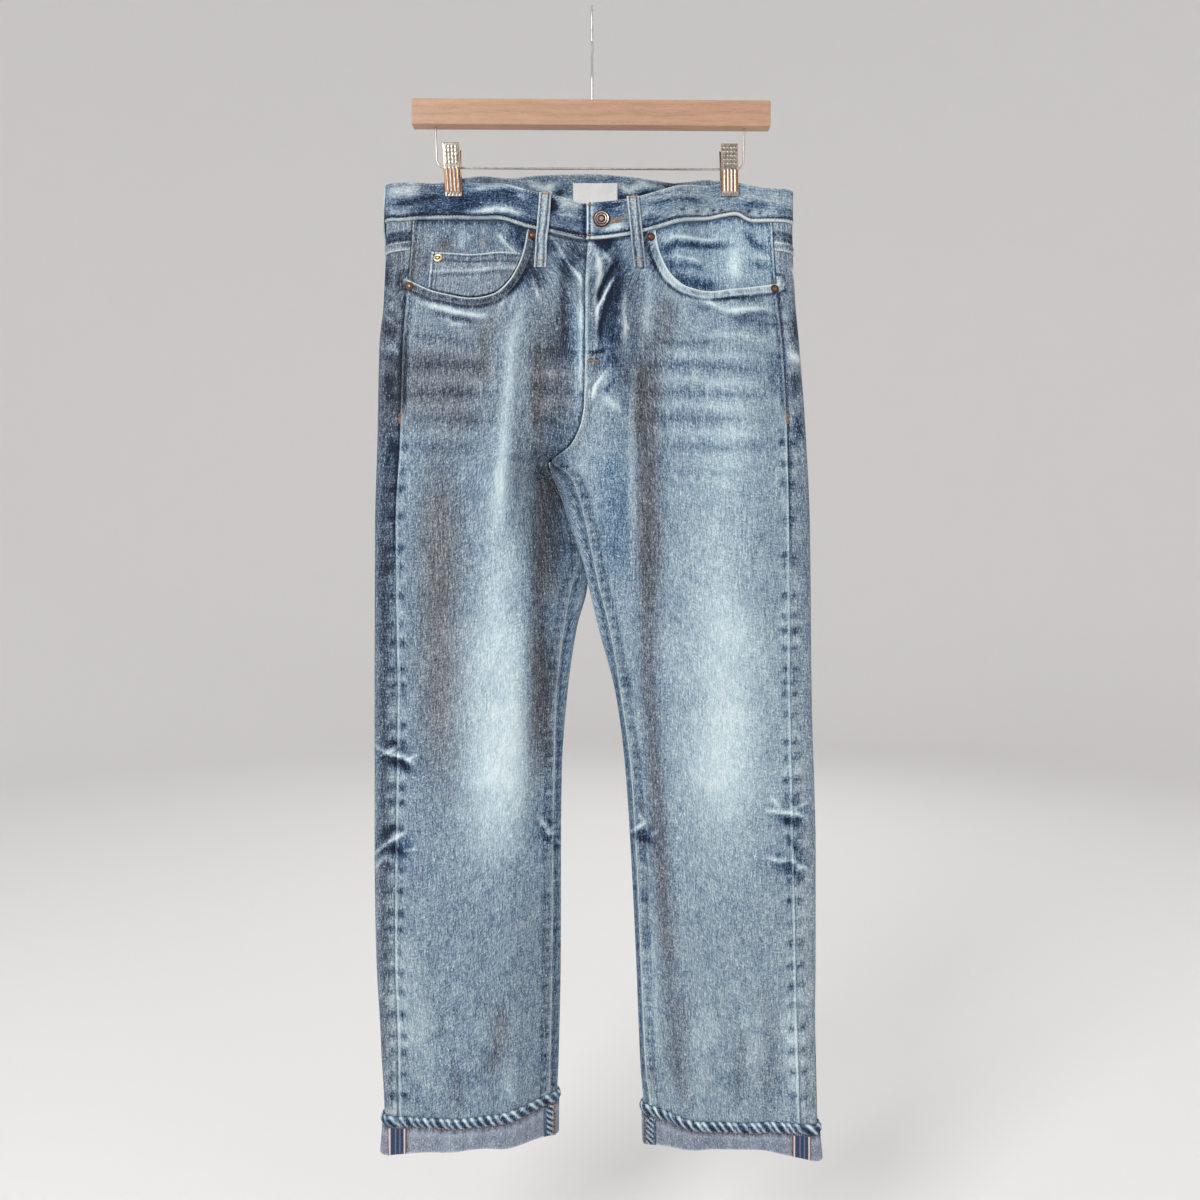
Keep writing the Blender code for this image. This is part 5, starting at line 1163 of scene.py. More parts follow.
class Finish:
    """A node material in the making."""

    def __init__(self, name, roughness=0.5, metallic=0.0):
        old = bpy.data.materials.get(name)
        if old:
            bpy.data.materials.remove(old)
        self.material = bpy.data.materials.new(name)
        self.material.use_nodes = True
        self.tree = self.material.node_tree
        self.shader = self.tree.nodes["Principled BSDF"]
        self.shader.inputs["Roughness"].default_value = roughness
        self.shader.inputs["Metallic"].default_value = metallic

    def join(self, value, socket):
        if isinstance(value, bpy.types.NodeSocket):
            self.tree.links.new(value, socket)
        else:
            socket.default_value = value

    def node(self, kind, sockets=None, **settings):
        made = self.tree.nodes.new(kind)
        for name, value in settings.items():
            setattr(made, name, value)
        for name, value in (sockets or {}).items():
            self.join(value, made.inputs[name])
        return made

    def maths(self, operation, a, b=0.0, c=0.0, clamp=False):
        made = self.node("ShaderNodeMath", {0: a, 1: b, 2: c}, operation=operation, use_clamp=clamp)
        return made.outputs[0]

    def scaled(self, vector, scale):
        made = self.node("ShaderNodeVectorMath", {0: vector, 1: scale}, operation="MULTIPLY")
        return made.outputs[0]

    def noise(self, vector, scale=(1, 1, 1), detail=2.0, rough=0.5):
        sockets = {"Vector": self.scaled(vector, scale), "Scale": 1.0, "Detail": detail, "Roughness": rough}
        return self.node("ShaderNodeTexNoise", sockets).outputs[0]

    def around(self, value, middle, amount):
        """A value about a middle, scaled to stand about 0."""
        return self.maths("MULTIPLY", self.maths("SUBTRACT", value, middle), amount)

    def total(self, *values):
        first, *others = values
        for other in others:
            first = self.maths("ADD", first, other)
        return first

    def mix(self, share, a, b, blend="MIX"):
        made = self.node("ShaderNodeMix", data_type="RGBA", blend_type=blend)
        for value, number in ((share, 0), (a, 6), (b, 7)):
            self.join(value, made.inputs[number])
        return made.outputs[2]

    def ramp(self, value, stops):
        made = self.node("ShaderNodeValToRGB", {0: value})
        line = made.color_ramp.elements
        line[0].position, line[0].color = stops[0][0], linear(stops[0][1])
        line[1].position, line[1].color = stops[-1][0], linear(stops[-1][1])
        for at, colour in stops[1:-1]:
            line.new(at).color = linear(colour)
        return made.outputs[0]

    def attribute(self, name):
        return self.node("ShaderNodeAttribute", attribute_name=name).outputs["Fac"]

    def place(self):
        return self.node("ShaderNodeTexCoord").outputs["Object"]

    def cloth_map(self):
        return self.node("ShaderNodeUVMap", uv_map="cloth").outputs[0]

    def bump(self, height, distance, strength=1.0):
        made = self.node("ShaderNodeBump", {"Height": height, "Distance": distance, "Strength": strength})
        self.join(made.outputs[0], self.shader.inputs["Normal"])

    def finish(self, colour, roughness=None):
        self.join(colour, self.shader.inputs["Base Color"])
        if roughness is not None:
            self.join(roughness, self.shader.inputs["Roughness"])
        return self.material


def linear(colour):
    """A colour of 0 to 255 as Blender's linear light, opaque."""
    share = np.array(colour[:3], float) / 255
    share = np.where(share <= 0.04045, share / 12.92, ((share + 0.055) / 1.055) ** 2.4)
    return (*share.tolist(), 1.0)


def denim(name, settings, blues, streaks=1.0, mottle=1.0):
    """Washed cotton twill. Its warp runs along the cloth map's second axis, and its noises are scaled
    in waves a metre. Pale cloth shows less of its yarns."""
    made = Finish(name, roughness=0.9)
    weave = made.cloth_map()
    # The colour level read here holds the wash, with painted highlight and painted shade among it.
    fade = made.attribute("fade")
    warp = made.noise(weave, (820, 130, 1), 2, 0.6)
    slub = made.noise(weave, (420, 30, 1), 2, 0.6)
    cross = made.noise(weave, (150, 620, 1), 2, 0.6)
    grain = made.noise(weave, (680, 480, 1), 2, 0.8)
    fleck = made.around(made.noise(weave, (640, 240, 1), 1, 0.5), 0.60, 1.0)
    fleck = made.maths("SMOOTH_MAX", fleck, 0.0, 0.02)
    cloud = made.noise(weave, (26, 20, 1), 3, 0.55)
    patch = made.noise(weave, (90, 60, 1), 3, 0.65)
    fine = made.total(
        made.around(warp, 0.5, 0.95 * streaks * settings.streaks),
        made.around(slub, 0.5, 0.5 * streaks * settings.streaks),
        made.around(cross, 0.5, 0.36),
        made.around(grain, 0.5, 1.3 * settings.grain),
        made.around(fleck, 0.02, 1.6 * settings.grain),
    )
    calm = made.maths("SUBTRACT", 1.52, made.maths("MULTIPLY", fade, 1.15))
    calm = made.maths("MINIMUM", made.maths("MAXIMUM", calm, 0.34), 1.15)
    level = made.total(
        fade,
        made.maths("MULTIPLY", fine, calm),
        made.around(cloud, 0.5, 0.20 * mottle * settings.cloud),
        made.around(patch, 0.5, 0.30 * mottle * settings.cloud),
    )
    blue = made.ramp(level, list(zip(RAMP_STOPS, blues)))
    grey = made.ramp(level, list(zip(RAMP_STOPS, GREYS)))
    share = made.maths("ADD", made.attribute("grey"), made.around(patch, 0.5, 0.5), clamp=True)
    colour = made.mix(share, blue, grey)
    height = made.total(made.around(warp, 0, 0.5), made.around(slub, 0, 0.5), made.around(grain, 0, 0.8),
                        made.around(cross, 0, 0.3))
    made.bump(height, 0.0005, settings.relief)
    made.shader.inputs["Sheen Weight"].default_value = 0.08
    made.shader.inputs["Sheen Roughness"].default_value = 0.5
    made.shader.inputs["Specular IOR Level"].default_value = 0.2
    return made.finish(colour, made.maths("ADD", made.around(grain, 0.5, 0.1), 0.9))


def selvedge_finish(name):
    """Indigo cloth with its woven white edge and red line: the map runs across the strip."""
    made = Finish(name, roughness=0.86)
    weave = made.cloth_map()
    parts = made.node("ShaderNodeSeparateXYZ", {0: weave}).outputs
    across = made.maths("MULTIPLY", parts[0], 1 / (SELVEDGE_WIDTH * MM))
    grain = made.noise(weave, (900, 900, 1), 2, 0.6)
    twist = made.noise(weave, (300, 160, 1), 2, 0.6)
    wander = made.total(across, made.around(twist, 0.5, 0.035))
    stripes = made.ramp(wander, [
        (0.0, (104, 52, 56)), (0.03, (150, 58, 60)), (0.065, (208, 184, 180)), (0.11, (226, 226, 224)),
        (0.15, (38, 54, 88)), (0.36, (26, 42, 76)), (0.41, (112, 128, 154)), (0.46, (24, 40, 72)),
        (0.60, (30, 46, 80)), (0.65, (104, 120, 148)), (0.70, (26, 42, 74)), (0.85, (40, 56, 90)),
        (0.89, (226, 226, 224)), (0.935, (210, 188, 184)), (0.97, (152, 60, 62)), (1.0, (108, 56, 60)),
    ])
    colour = made.mix(made.around(grain, 0.4, 0.6), stripes, linear((140, 150, 168)))
    rib = made.node("ShaderNodeTexWave", {"Vector": made.scaled(weave, (0.2, 1, 1)), "Scale": 260.0,
                                          "Distortion": 2.0}, bands_direction="Y").outputs[1]
    made.bump(made.total(rib, grain), 0.0003, 0.7)
    return made.finish(colour)


def woven_label(name):
    """Off-white satin weave."""
    made = Finish(name, roughness=0.8)
    weave = made.cloth_map()
    warp = made.noise(weave, (1500, 300, 1), 2, 0.6)
    shade = made.noise(weave, (60, 60, 1), 2, 0.5)
    level = made.total(0.5, made.around(warp, 0.5, 0.8), made.around(shade, 0.5, 0.6))
    colour = made.ramp(level, [(0.0, (196, 196, 198)), (0.5, (226, 226, 226)), (1.0, (244, 243, 240))])
    made.bump(warp, 0.0003, 0.6)
    made.shader.inputs["Sheen Weight"].default_value = 0.2
    return made.finish(colour)


def thread(name, dark, light):
    """Spun sewing thread, unevenly dyed and worn."""
    made = Finish(name, roughness=0.62)
    place = made.place()
    fuzz = made.noise(place, (900, 900, 900), 2, 0.6)
    tone = made.noise(place, (70, 70, 70), 2, 0.6)
    level = made.total(0.5, made.around(fuzz, 0.5, 1.3), made.around(tone, 0.5, 1.4))
    made.bump(fuzz, 0.0002, 0.6)
    made.shader.inputs["Sheen Weight"].default_value = 0.2
    return made.finish(made.ramp(level, [(0.0, dark), (1.0, light)]))


def plated(name, dark, light, roughness, scratches, patina=1.0):
    """A metal plating with worn, duller places."""
    made = Finish(name, roughness=roughness, metallic=1.0)
    place = made.place()
    wear = made.noise(place, (420, 420, 420), 3, 0.65)
    fine = made.noise(place, (1900, 1900, 1900), 2, 0.6)
    level = made.total(0.5, made.around(wear, 0.5, 2.2 * patina), made.around(fine, 0.5, 0.8 * scratches))
    made.bump(fine, 0.0002, 0.4 * scratches)
    return made.finish(made.ramp(level, [(0.0, dark), (1.0, light)]),
                       made.total(roughness, made.around(wear, 0.5, 0.5 * patina)))


def beech(name, settings):
    """Pale straight-grained wood under a satin lacquer."""
    made = Finish(name, roughness=0.42)
    place = made.place()
    bend = made.noise(place, (9, 20, 40), 2, 0.5)
    parts = made.node("ShaderNodeSeparateXYZ", {0: place}).outputs
    lines = made.total(parts[2], made.around(bend, 0.5, 0.014), made.around(parts[1], 0, 0.35))
    rings = made.maths("SINE", made.maths("MULTIPLY", lines, 700.0))
    wide = made.maths("SINE", made.maths("MULTIPLY", lines, 190.0))
    fleck = made.noise(place, (260, 1500, 1500), 2, 0.6)
    pore = made.noise(place, (60, 900, 900), 3, 0.65)
    level = made.total(0.58, made.around(rings, 0, 0.06), made.around(wide, 0, 0.07),
                       made.around(pore, 0.5, 0.7), made.around(fleck, 0.5, 0.4))
    light, dark = np.array(settings.bar_colour), np.array(settings.bar_colour) * 0.66
    made.bump(made.total(pore, fleck), 0.0002, 0.35)
    made.shader.inputs["Coat Weight"].default_value = 0.25
    made.shader.inputs["Coat Roughness"].default_value = 0.3
    return made.finish(made.ramp(level, [(0.0, tuple(dark * 255)), (0.55, tuple(light * 245)),
                                         (1.0, tuple(np.minimum(light * 1.1, 1) * 255))]))


def finish(name):
    """One of this object's finishes, made when first asked for. Brass comes with the frame."""
    found = bpy.data.materials.get(name)
    if found:
        return found
    scene = bpy.context.scene
    cloth_settings, metal = scene.jeans_denim, scene.jeans_hanger
    makers = {
        "washed denim": lambda: denim(name, cloth_settings, BLUES),
        "waistband denim": lambda: denim(name, cloth_settings, BLUES, 0.8, 1.6),
        "denim wrong side": lambda: denim(name, cloth_settings, WRONG_SIDE, 0.6),
        "roped hem": lambda: denim(name, cloth_settings, BLUES, 0.7),
        "selvedge cloth": lambda: selvedge_finish(name),
        "woven label": lambda: woven_label(name),
        "gold thread": lambda: thread(name, (128, 84, 44), (206, 160, 96)),
        "tan thread": lambda: thread(name, (96, 72, 54), (158, 128, 96)),
        "pale thread": lambda: thread(name, (134, 140, 148), (206, 208, 206)),
        "navy thread": lambda: thread(name, (30, 38, 56), (66, 76, 98)),
        "old copper": lambda: plated(name, (40, 32, 30), (104, 80, 70), 0.5, 0.6),
        "bright copper": lambda: plated(name, (84, 56, 46), (166, 122, 102), 0.4, 0.4, 0.5),
        "button metal": lambda: plated(name, (146, 133, 124), (226, 213, 205), 0.42, 0.6),
        "beech": lambda: beech(name, metal),
        "hook steel": lambda: plated(name, (166, 165, 164), (238, 237, 235), 0.38, 0.5, 0.5),
        "wire steel": lambda: plated(name, (152, 145, 138), (238, 233, 227), 0.38, 0.5, 0.6),
        "bright plate": lambda: plated(name, (112, 100, 90), (206, 198, 188), 0.34, 0.6, 0.8),
        "copper tint": lambda: plated(name, (84, 60, 46), (158, 118, 90), 0.42, 0.6, 0.8),
    }
    return makers[name]()


# ---------------------------------------------------------------- panels and yokes


def cuff_line(side, kind, x):
    """Height of the cuff's fold, or of its roped hem's lower edge, over x."""
    edge = side_edge(side, CUFF_LINE_Z)
    across = (x - edge) / (inner_edge(side, CUFF_LINE_Z) - edge)
    return CUFF[f"{side}_{kind}"](np.clip(across, 0, 1))


def panel_floor(side, x):
    """A leg panel ends just above the cuff's fold, inside it."""
    return cuff_line(side, "fold", x) + DENIM + 2 * SEAM_GAP


def panel_levels():
    """Heights of the rows between the shaped top and the cuff, about as far apart as its columns."""
    return np.linspace(SHAPED_TO_Z, HEM_FROM_Z, LEG_ROWS + 1)


def front_grid(side):
    """(x, z) of the front panel, from the waist seam and the pocket mouth to the cuff."""
    sign = SIGN[side]
    mouth = resample(MOUTH[side][::-1], np.linspace(0, 1, MOUTH_FINE + 1))
    fly_x = np.linspace(mouth[-1, 0], RISE["seam"](-246) + sign * SEAM_GAP / 2, FLY_FINE + 1)[1:]
    fly_z = WAIST["front_seam"](fly_x) - SEAM_GAP
    top_x = np.concatenate([mouth[:, 0], fly_x])
    top_z = np.concatenate([mouth[:, 1], fly_z])
    seam = side_seam(side, top_z)
    top_share = (top_x - seam) / (RISE["seam"](top_z) + sign * SEAM_GAP / 2 - seam)
    top_share[0] = 0
    even = np.linspace(0, 1, MOUTH_FINE + FLY_FINE + 1)
    even = even - NEAR_SEAMS * np.sin(2 * math.pi * even) / (2 * math.pi)
    rows = []
    for v in np.linspace(0, 1, TOP_FINE, endpoint=False):
        rows.append((top_z + (SHAPED_TO_Z - top_z) * v, top_share + (even - top_share) * ease(v)))
    rows += [(np.full(len(even), level), even) for level in panel_levels()]
    seam = side_seam(side, CUFF_FOLD_Z)
    floor = panel_floor(side, seam + (inner_seam(side, CUFF_FOLD_Z) - seam) * even)
    rows += [(height, even) for height in rows_between(HEM_FROM_Z, floor, HEM_FINE + 1)[1:]]
    z, share = np.array([row[0] for row in rows]), np.array([row[1] for row in rows])
    seam = side_seam(side, z)
    near_fork = 0.7 * np.exp(-(((z - FORK_Z + 5) / 8) ** 2))
    inner = np.where(z >= FORK_Z, RISE["seam"](z), inner_seam(side, z))
    inner = inner + sign * (SEAM_GAP / 2 + near_fork)
    return seam + (inner - seam) * share, z


def leg_piece(name, side, face, x, z):
    """A panel's wall: its relief and rounded rim outside, the plain wrong side within."""
    height, _, _ = panel_marks(side, face, x, z)
    base, away = cloth_frame(side, face, x, z, STROKES)
    outer = base + away * (height - softened(x.shape))[..., None]
    fade, grey = panel_tone(side, face, x, z)
    made = make_cloth(f"{name}_cloth", outer, base - away * DENIM, unrolled(base), fade, grey)
    dress(made, [name])


def front_panel(side):
    """From the waist seam and the pocket mouth to the cuff."""
    x, z = front_grid(side)
    leg_piece(f"front_{side}", side, np.full(x.shape, FRONT), x, z)


def yoke_line(share):
    """Height of the yoke's lower edge, from the side seam (0) to the seat seam (1)."""
    return YOKE_SIDE_Z + (YOKE_CENTRE_Z - YOKE_SIDE_Z) * share


def fine_columns():
    """Back panel columns, finer than its construction's: round the outer edge, across, round the inner."""
    turn = SEAM_COLUMNS + BACK_COLUMNS
    return np.concatenate([np.linspace(0, SEAM_COLUMNS, 18), np.linspace(SEAM_COLUMNS, turn, 61)[1:],
                           np.linspace(turn, LAST_COLUMN, 15)[1:]])


def back_panel(side):
    """From the yoke's seam to the cuff, wrapped round both folded edges of the leg."""
    column = fine_columns()
    top = yoke_line(column / LAST_COLUMN) - SEAM_GAP
    heights = rows_between(top, SHAPED_TO_Z, TOP_FINE - 8, endpoint=False)
    heights += [np.full(len(column), level) for level in panel_levels()]
    _, floor_x = round_the_back(side, CUFF_FOLD_Z, column)
    heights += rows_between(HEM_FROM_Z, panel_floor(side, floor_x), HEM_FINE + 1)[1:]
    z = np.array(heights)
    face, x = round_the_back(side, z, column)
    leg_piece(f"back_{side}", side, face, x, z)


def yoke(side):
    """Between the waistband and the back panel, its end showing in front of the side seam."""
    column = fine_columns()
    top_face, top_x = round_the_back(side, -215.0, column)
    top = np.where(top_face == FRONT, WAIST["front_seam"](top_x), WAIST["back_seam"](top_x))
    bottom = yoke_line(column / LAST_COLUMN)
    z = np.array(rows_between(top - 2 * SEAM_GAP, bottom, YOKE_ROWS))
    face, x = round_the_back(side, z, column)
    over = z - bottom
    front = face == FRONT
    height = 0.6 * band(over, -1, 9) - softened(x.shape)
    ripples = puckered(x, pucker_marks(SEEDS["yoke"], 210, -210, PUCKER_GAP))
    fade = ridges(0.54, over, (0.34, 1.0, 1.5), (-0.26, 10.5, 1.8), (-0.3 * ripples, 5, 3), (0.22, 8.4, 1.0))
    fade = fade - 0.36 * band(over, 11, 20, 3) * front
    if side == LEFT:
        fade = fade + front * 0.4 * bump(x, 190, 6) * bump(z, -240, 7)
    base, away = cloth_frame(side, face, x, z)
    made = make_cloth(f"yoke_{side}_cloth", base + away * height[..., None], base - away * DENIM,
                      unrolled(base), fade, 0.15 + STRIP_GREY * front)
    dress(made, [f"yoke_{side}"])


def seam_tapes():
    """Seam allowances behind the outseams, inseams, crotch and seat, which close the seams' gaps."""
    tapes = []
    for side in (RIGHT, LEFT):
        z = np.linspace(-238, TAPE_FOOT_Z, 230)
        tapes.append((side, FRONT, side_seam(side, z), z, 10, -1.55, False))
        z = np.linspace(FORK_Z - 4, TAPE_FOOT_Z, 180)
        tapes.append((side, FRONT, inner_seam(side, z) - SIGN[side] * 0.6, z, 7, -1.55, True))
    z = np.concatenate([np.linspace(-262, -448, 60), np.linspace(-450, FORK_Z + 0.3, 14)])
    tapes.append((LEFT, FRONT, RISE["seam"](z), z, 10, -1.7, False))
    z = np.linspace(-284, FORK_Z + 1, 60)
    tapes.append((LEFT, BACK, RISE["seam"](z), z, 10, -1.7, False))
    points, faces, maps, rims = [], [], [], []
    for side, face, middle, z, width, out, kept_on_leg in tapes:
        across = np.linspace(-width / 2, width / 2, 5)
        x = middle[:, None] + across
        z = z[:, None] + 0 * across
        if kept_on_leg:
            inside = inner_edge(side, z)
            x = np.where(SIGN[side] * (x - inside) < 0.5, inside + SIGN[side] * 0.5, x)
        low, high = cloth(side, face, x, z, out - 0.5), cloth(side, face, x, z, out)
        wall, _, flat = wall_faces(high, low)
        faces.append(wall + sum(len(part) for part in points))
        rims.append(flat)
        points += [high.reshape(-1, 3), low.reshape(-1, 3)]
        maps += [unrolled(high).reshape(-1, 2)] * 2
    points = np.concatenate(points)
    made = make_mesh("seam_allowances", points, np.concatenate(faces), [finish("denim wrong side")],
                     flat=np.concatenate(rims), cloth_map=np.concatenate(maps),
                     fade=np.full(len(points), 0.3), grey=np.full(len(points), 0.2))
    dress(made, [])


# ---------------------------------------------------------------- waistband and loops


def band_run():
    """Face, side and distance from the folded side edge of each waistband column, from its left
    front end round the back to its right front end, which laps on under the left one."""
    steps = np.concatenate([[0, 0.8, 2, 4, 7], np.linspace(10, BAND_HALF - 7.4, 90),
                            BAND_HALF - np.array([5.9, 4.6, 3.5, 2.4, 1.5, 0.7, 0])])
    left_front = [(FRONT, LEFT, d) for d in steps[::-1]]
    left_back = [(BACK, LEFT, d) for d in steps[1:]]
    right_back = [(BACK, RIGHT, d) for d in steps[:-1][::-1]]
    right_front = [(FRONT, RIGHT, d) for d in steps[1:]]
    return left_front + left_back + right_back + right_front


def band_tone(face, x, z, low):
    """Wear of the waistband: navy with greyed patches, white along both edges, with painted shade in the
    groove above its lower edge, beside the left front end and beside a belt loop. Low is the height above
    its lower edge."""
    fade, grey, height = worn_and_shaded(BAND_STROKES, face, x, z)
    front = face == FRONT
    base = np.where(front, np.where(x < BAND_END_X, 0.41, 0.57), 0.48)
    ripples = puckered(x, pucker_marks(SEEDS["band"], 215, -215, 6.2), 1.8)
    broken = 0.7 + 0.3 * puckered(x, pucker_marks(SEEDS["band_edge"], 215, -215, 5.1), 1.6)
    edge = ridges(0, low, (0.62, 0.8, 1.6), (0.34, 36.2, 1.2))
    # A dark line of painted shade in the groove above the lower edge; dark puckers above it.
    dark = ridges(0, low, (-0.66, 3.9, 1.4), (-0.2 * ripples, 7, 3))
    end = x - BAND_END_X
    dark = dark + front * ridges(0, end, (0.55, 0.4, 1.0), (-0.36, 2.7, 1.0), (0.34, 4.8, 1.0))
    # Painted shade on the right front end beside the edge of the left one, which stands over it.
    dark = dark - front * 0.34 * bump(end, -2.6, 2.2)
    return base + 1.3 * fade + edge * broken + dark, 0.2 + grey + 0.4 * bump(low, 1.0, 1.5), height


def waistband():
    """One strip round the waist, its right front end lapped on under the left one."""
    share = np.linspace(0, 1, BAND_ROWS)
    under = -(BAND_OUT - BAND_IN + SEAM_GAP)
    columns = band_run()
    count = len(columns)
    left = np.array([side == LEFT for _, side, _ in columns])
    distance = np.array([distance for _, _, distance in columns])
    face = np.array([face for face, _, _ in columns] + [FRONT] * BAND_LAP_COLUMNS)[:, None] + 0 * share.astype(int)
    lap_x = BAND_END_X + BAND_LAP * np.linspace(0.1, 1, BAND_LAP_COLUMNS)
    x, z = np.zeros(face.shape), np.full(face.shape, -200.0)
    for _ in range(3):
        for side, mask in ((LEFT, left), (RIGHT, ~left)):
            edge = side_edge(side, z[:count][mask])
            along = distance[mask][:, None]
            front_x = edge + (BAND_END_X - edge) * along / BAND_HALF
            x[:count][mask] = np.where(face[:count][mask] == FRONT, front_x, edge - SIGN[side] * along)
        x[count:] = lap_x[:, None]
        top = np.where(face == FRONT, WAIST["front_top"](x), WAIST["back_top"](x))
        seam = np.where(face == FRONT, WAIST["front_seam"](x), WAIST["back_seam"](x))
        z = top + (seam - top) * share
    right_front = np.concatenate([~left, np.ones(BAND_LAP_COLUMNS, bool)])[:, None] & (face == FRONT)
    laps = np.where(right_front, under * ease((x - BAND_END_X + 20) / 16), 0.0)
    low = BAND_TALL * (1 - share)
    fade, grey, height = band_tone(face, x, z, low)
    base, away = np.zeros((*x.shape, 3)), np.zeros((*x.shape, 3))
    for side, mask in ((RIGHT, x < 0), (LEFT, x >= 0)):
        base[mask], away[mask] = cloth_frame(side, face[mask], x[mask], z[mask])
    roll = ridges(0, low, (0.35, 1.6, 1.6), (-0.35, 4.4, 1.2), (0.25, 34.6, 1.4), (-0.25, 32, 1.2))
    outer = base + away * (BAND_OUT + laps + height + roll - softened(x.shape, 0.5))[..., None]
    inner = base + away * (BAND_IN + laps)[..., None]
    run = unrolled(base.transpose(1, 0, 2))
    made = make_cloth("waistband_cloth", outer.transpose(1, 0, 2), inner.transpose(1, 0, 2), run[..., ::-1],
                      fade.T, grey.T, "waistband denim", "waistband denim")
    dress(made, ["waistband"])


def loop_rise(z, seam):
    """How far a belt loop stands off: over the waistband, then down on to the panel."""
    return LIE_CLEAR + BAND_OUT * ease((z - seam) / LOOP_DROP + 1.2)


def loop_bow(v):
    """How far a belt loop bows out between its two tacked ends."""
    return LOOP_BOW * np.sin(math.pi * v) ** 2


def belt_loop(name, outer, inner, tint):
    """A belt loop: folded edges worn white, stitched rows sunk and painted dark as painted shade, a pale raised
    middle.
    """
    rows, columns = outer.shape[:2]
    across = np.abs(np.linspace(-0.5, 0.5, columns))[None, :] * LOOP_WIDTH + np.zeros((rows, 1))
    down = np.linspace(0, 1, rows)[:, None]
    away = outer - inner
    away = away / np.linalg.norm(away, axis=-1, keepdims=True)
    relief = ridges(0, across, (0.35, 0, 2.2), (-0.35, 3.4, 0.9), (0.2, 5.0, 0.8))
    # The dark of the sunk stitched rows is painted shade.
    fade = ridges(0.62 + tint * down, across, (0.14, 0, 2), (-0.30, 3.4, 0.9), (0.30, 5.6, 0.9))
    fade = fade + 0.2 * (bump(down, 0, 0.02) + bump(down, 1, 0.02))
    made = make_cloth(f"{name}_cloth", outer + away * (relief - softened((rows, columns), 0.5))[..., None],
                      inner, unrolled(outer), fade, 0.45 + 0 * fade)
    dress(made, [name])


def belt_loops():
    """Two in front, two at the sides of the back and one over the seat seam."""
    across = np.linspace(-0.5, 0.5, 15)[None, :] * LOOP_WIDTH
    v = np.linspace(0, 1, LOOP_ROWS)[:, None]
    for side in (RIGHT, LEFT):
        x_top, x_foot, z_top, z_foot = FRONT_LOOPS[side]
        x, z = x_top + (x_foot - x_top) * v + across, z_top + (z_foot - z_top) * v + 0 * across
        low = loop_rise(z, WAIST["front_seam"](x)) + loop_bow(v)
        belt_loop(f"belt_loop_front_{side}", cloth(side, FRONT, x, z, low + LOOP_THICK),
                  cloth(side, FRONT, x, z, low), 0.02 if side == RIGHT else -0.14)

        levels = np.linspace(*SIDE_LOOP_Z, LOOP_ROWS)
        inner, outer = [], []
        for level, bow in zip(levels, loop_bow(v)):
            run, xs, _, _ = back_profile(side, round(float(level), 1))
            x = np.interp(SIDE_LOOP_AT + across[0], run, xs)
            low = loop_rise(level, WAIST["back_seam"](x)) + bow
            z = np.full(x.shape, level)
            inner.append(cloth(side, BACK, x, z, low))
            outer.append(cloth(side, BACK, x, z, low + LOOP_THICK))
        belt_loop(f"belt_loop_side_{side}", np.array(outer), np.array(inner), -0.1)

    x = RISE["seam"](-200) + across + 0 * v
    z = np.linspace(*BACK_LOOP_Z, LOOP_ROWS)[:, None] + 0 * x
    low = loop_rise(z, WAIST["back_seam"](x)) + loop_bow(v)
    belt_loop("belt_loop_back", cloth(LEFT, BACK, x, z, low + LOOP_THICK), cloth(LEFT, BACK, x, z, low), 0.0)


# ---------------------------------------------------------------- pockets, fly and label


def facing_grid(side):
    """The facing's construction grid: from the side seam inwards, from the waist seam to below the mouth."""
    sign = SIGN[side]
    mouth = resample(MOUTH[side][::-1], np.linspace(0, 1, 40))
    along = np.gradient(mouth, axis=0)
    along /= np.linalg.norm(along, axis=1, keepdims=True)
    inward = np.stack([along[:, 1], -along[:, 0]], axis=1) * -sign
    under = mouth + inward * FACING_UNDER * ease(np.linspace(0.25, 1, 40) * 2)[:, None]
    under[:, 0] = sign * np.minimum(under[:, 0] * sign, side_seam(side, under[:, 1]) * sign - SEAM_GAP)
    bottom = resample(under[::6], np.linspace(0, 1, FACING_COLUMNS))
    seam_x = side_seam(side, -222) - sign * SEAM_GAP
    top_x = np.linspace(seam_x, bottom[-1, 0], FACING_COLUMNS)
    top_z = WAIST["front_seam"](top_x) - 2 * SEAM_GAP
    bottom[-1, 1] = min(bottom[-1, 1], top_z[-1] - 8)
    rows = np.linspace(0, 1, FACING_ROWS)[:, None]
    x = top_x + (bottom[:, 0] - top_x) * rows
    z = top_z + (bottom[:, 1] - top_z) * rows
    x[:, 0] = side_seam(side, z[:, 0]) - sign * SEAM_GAP
    return x, z


def refined(grid, rows, columns):
    """Values of a small grid at more rows and columns."""
    down, across = np.linspace(0, grid.shape[0] - 1, rows), np.linspace(0, grid.shape[1] - 1, columns)
    wide = np.stack([np.interp(across, np.arange(grid.shape[1]), row) for row in grid])
    return np.stack([np.interp(down, np.arange(grid.shape[0]), wide[:, j]) for j in range(columns)], axis=1)


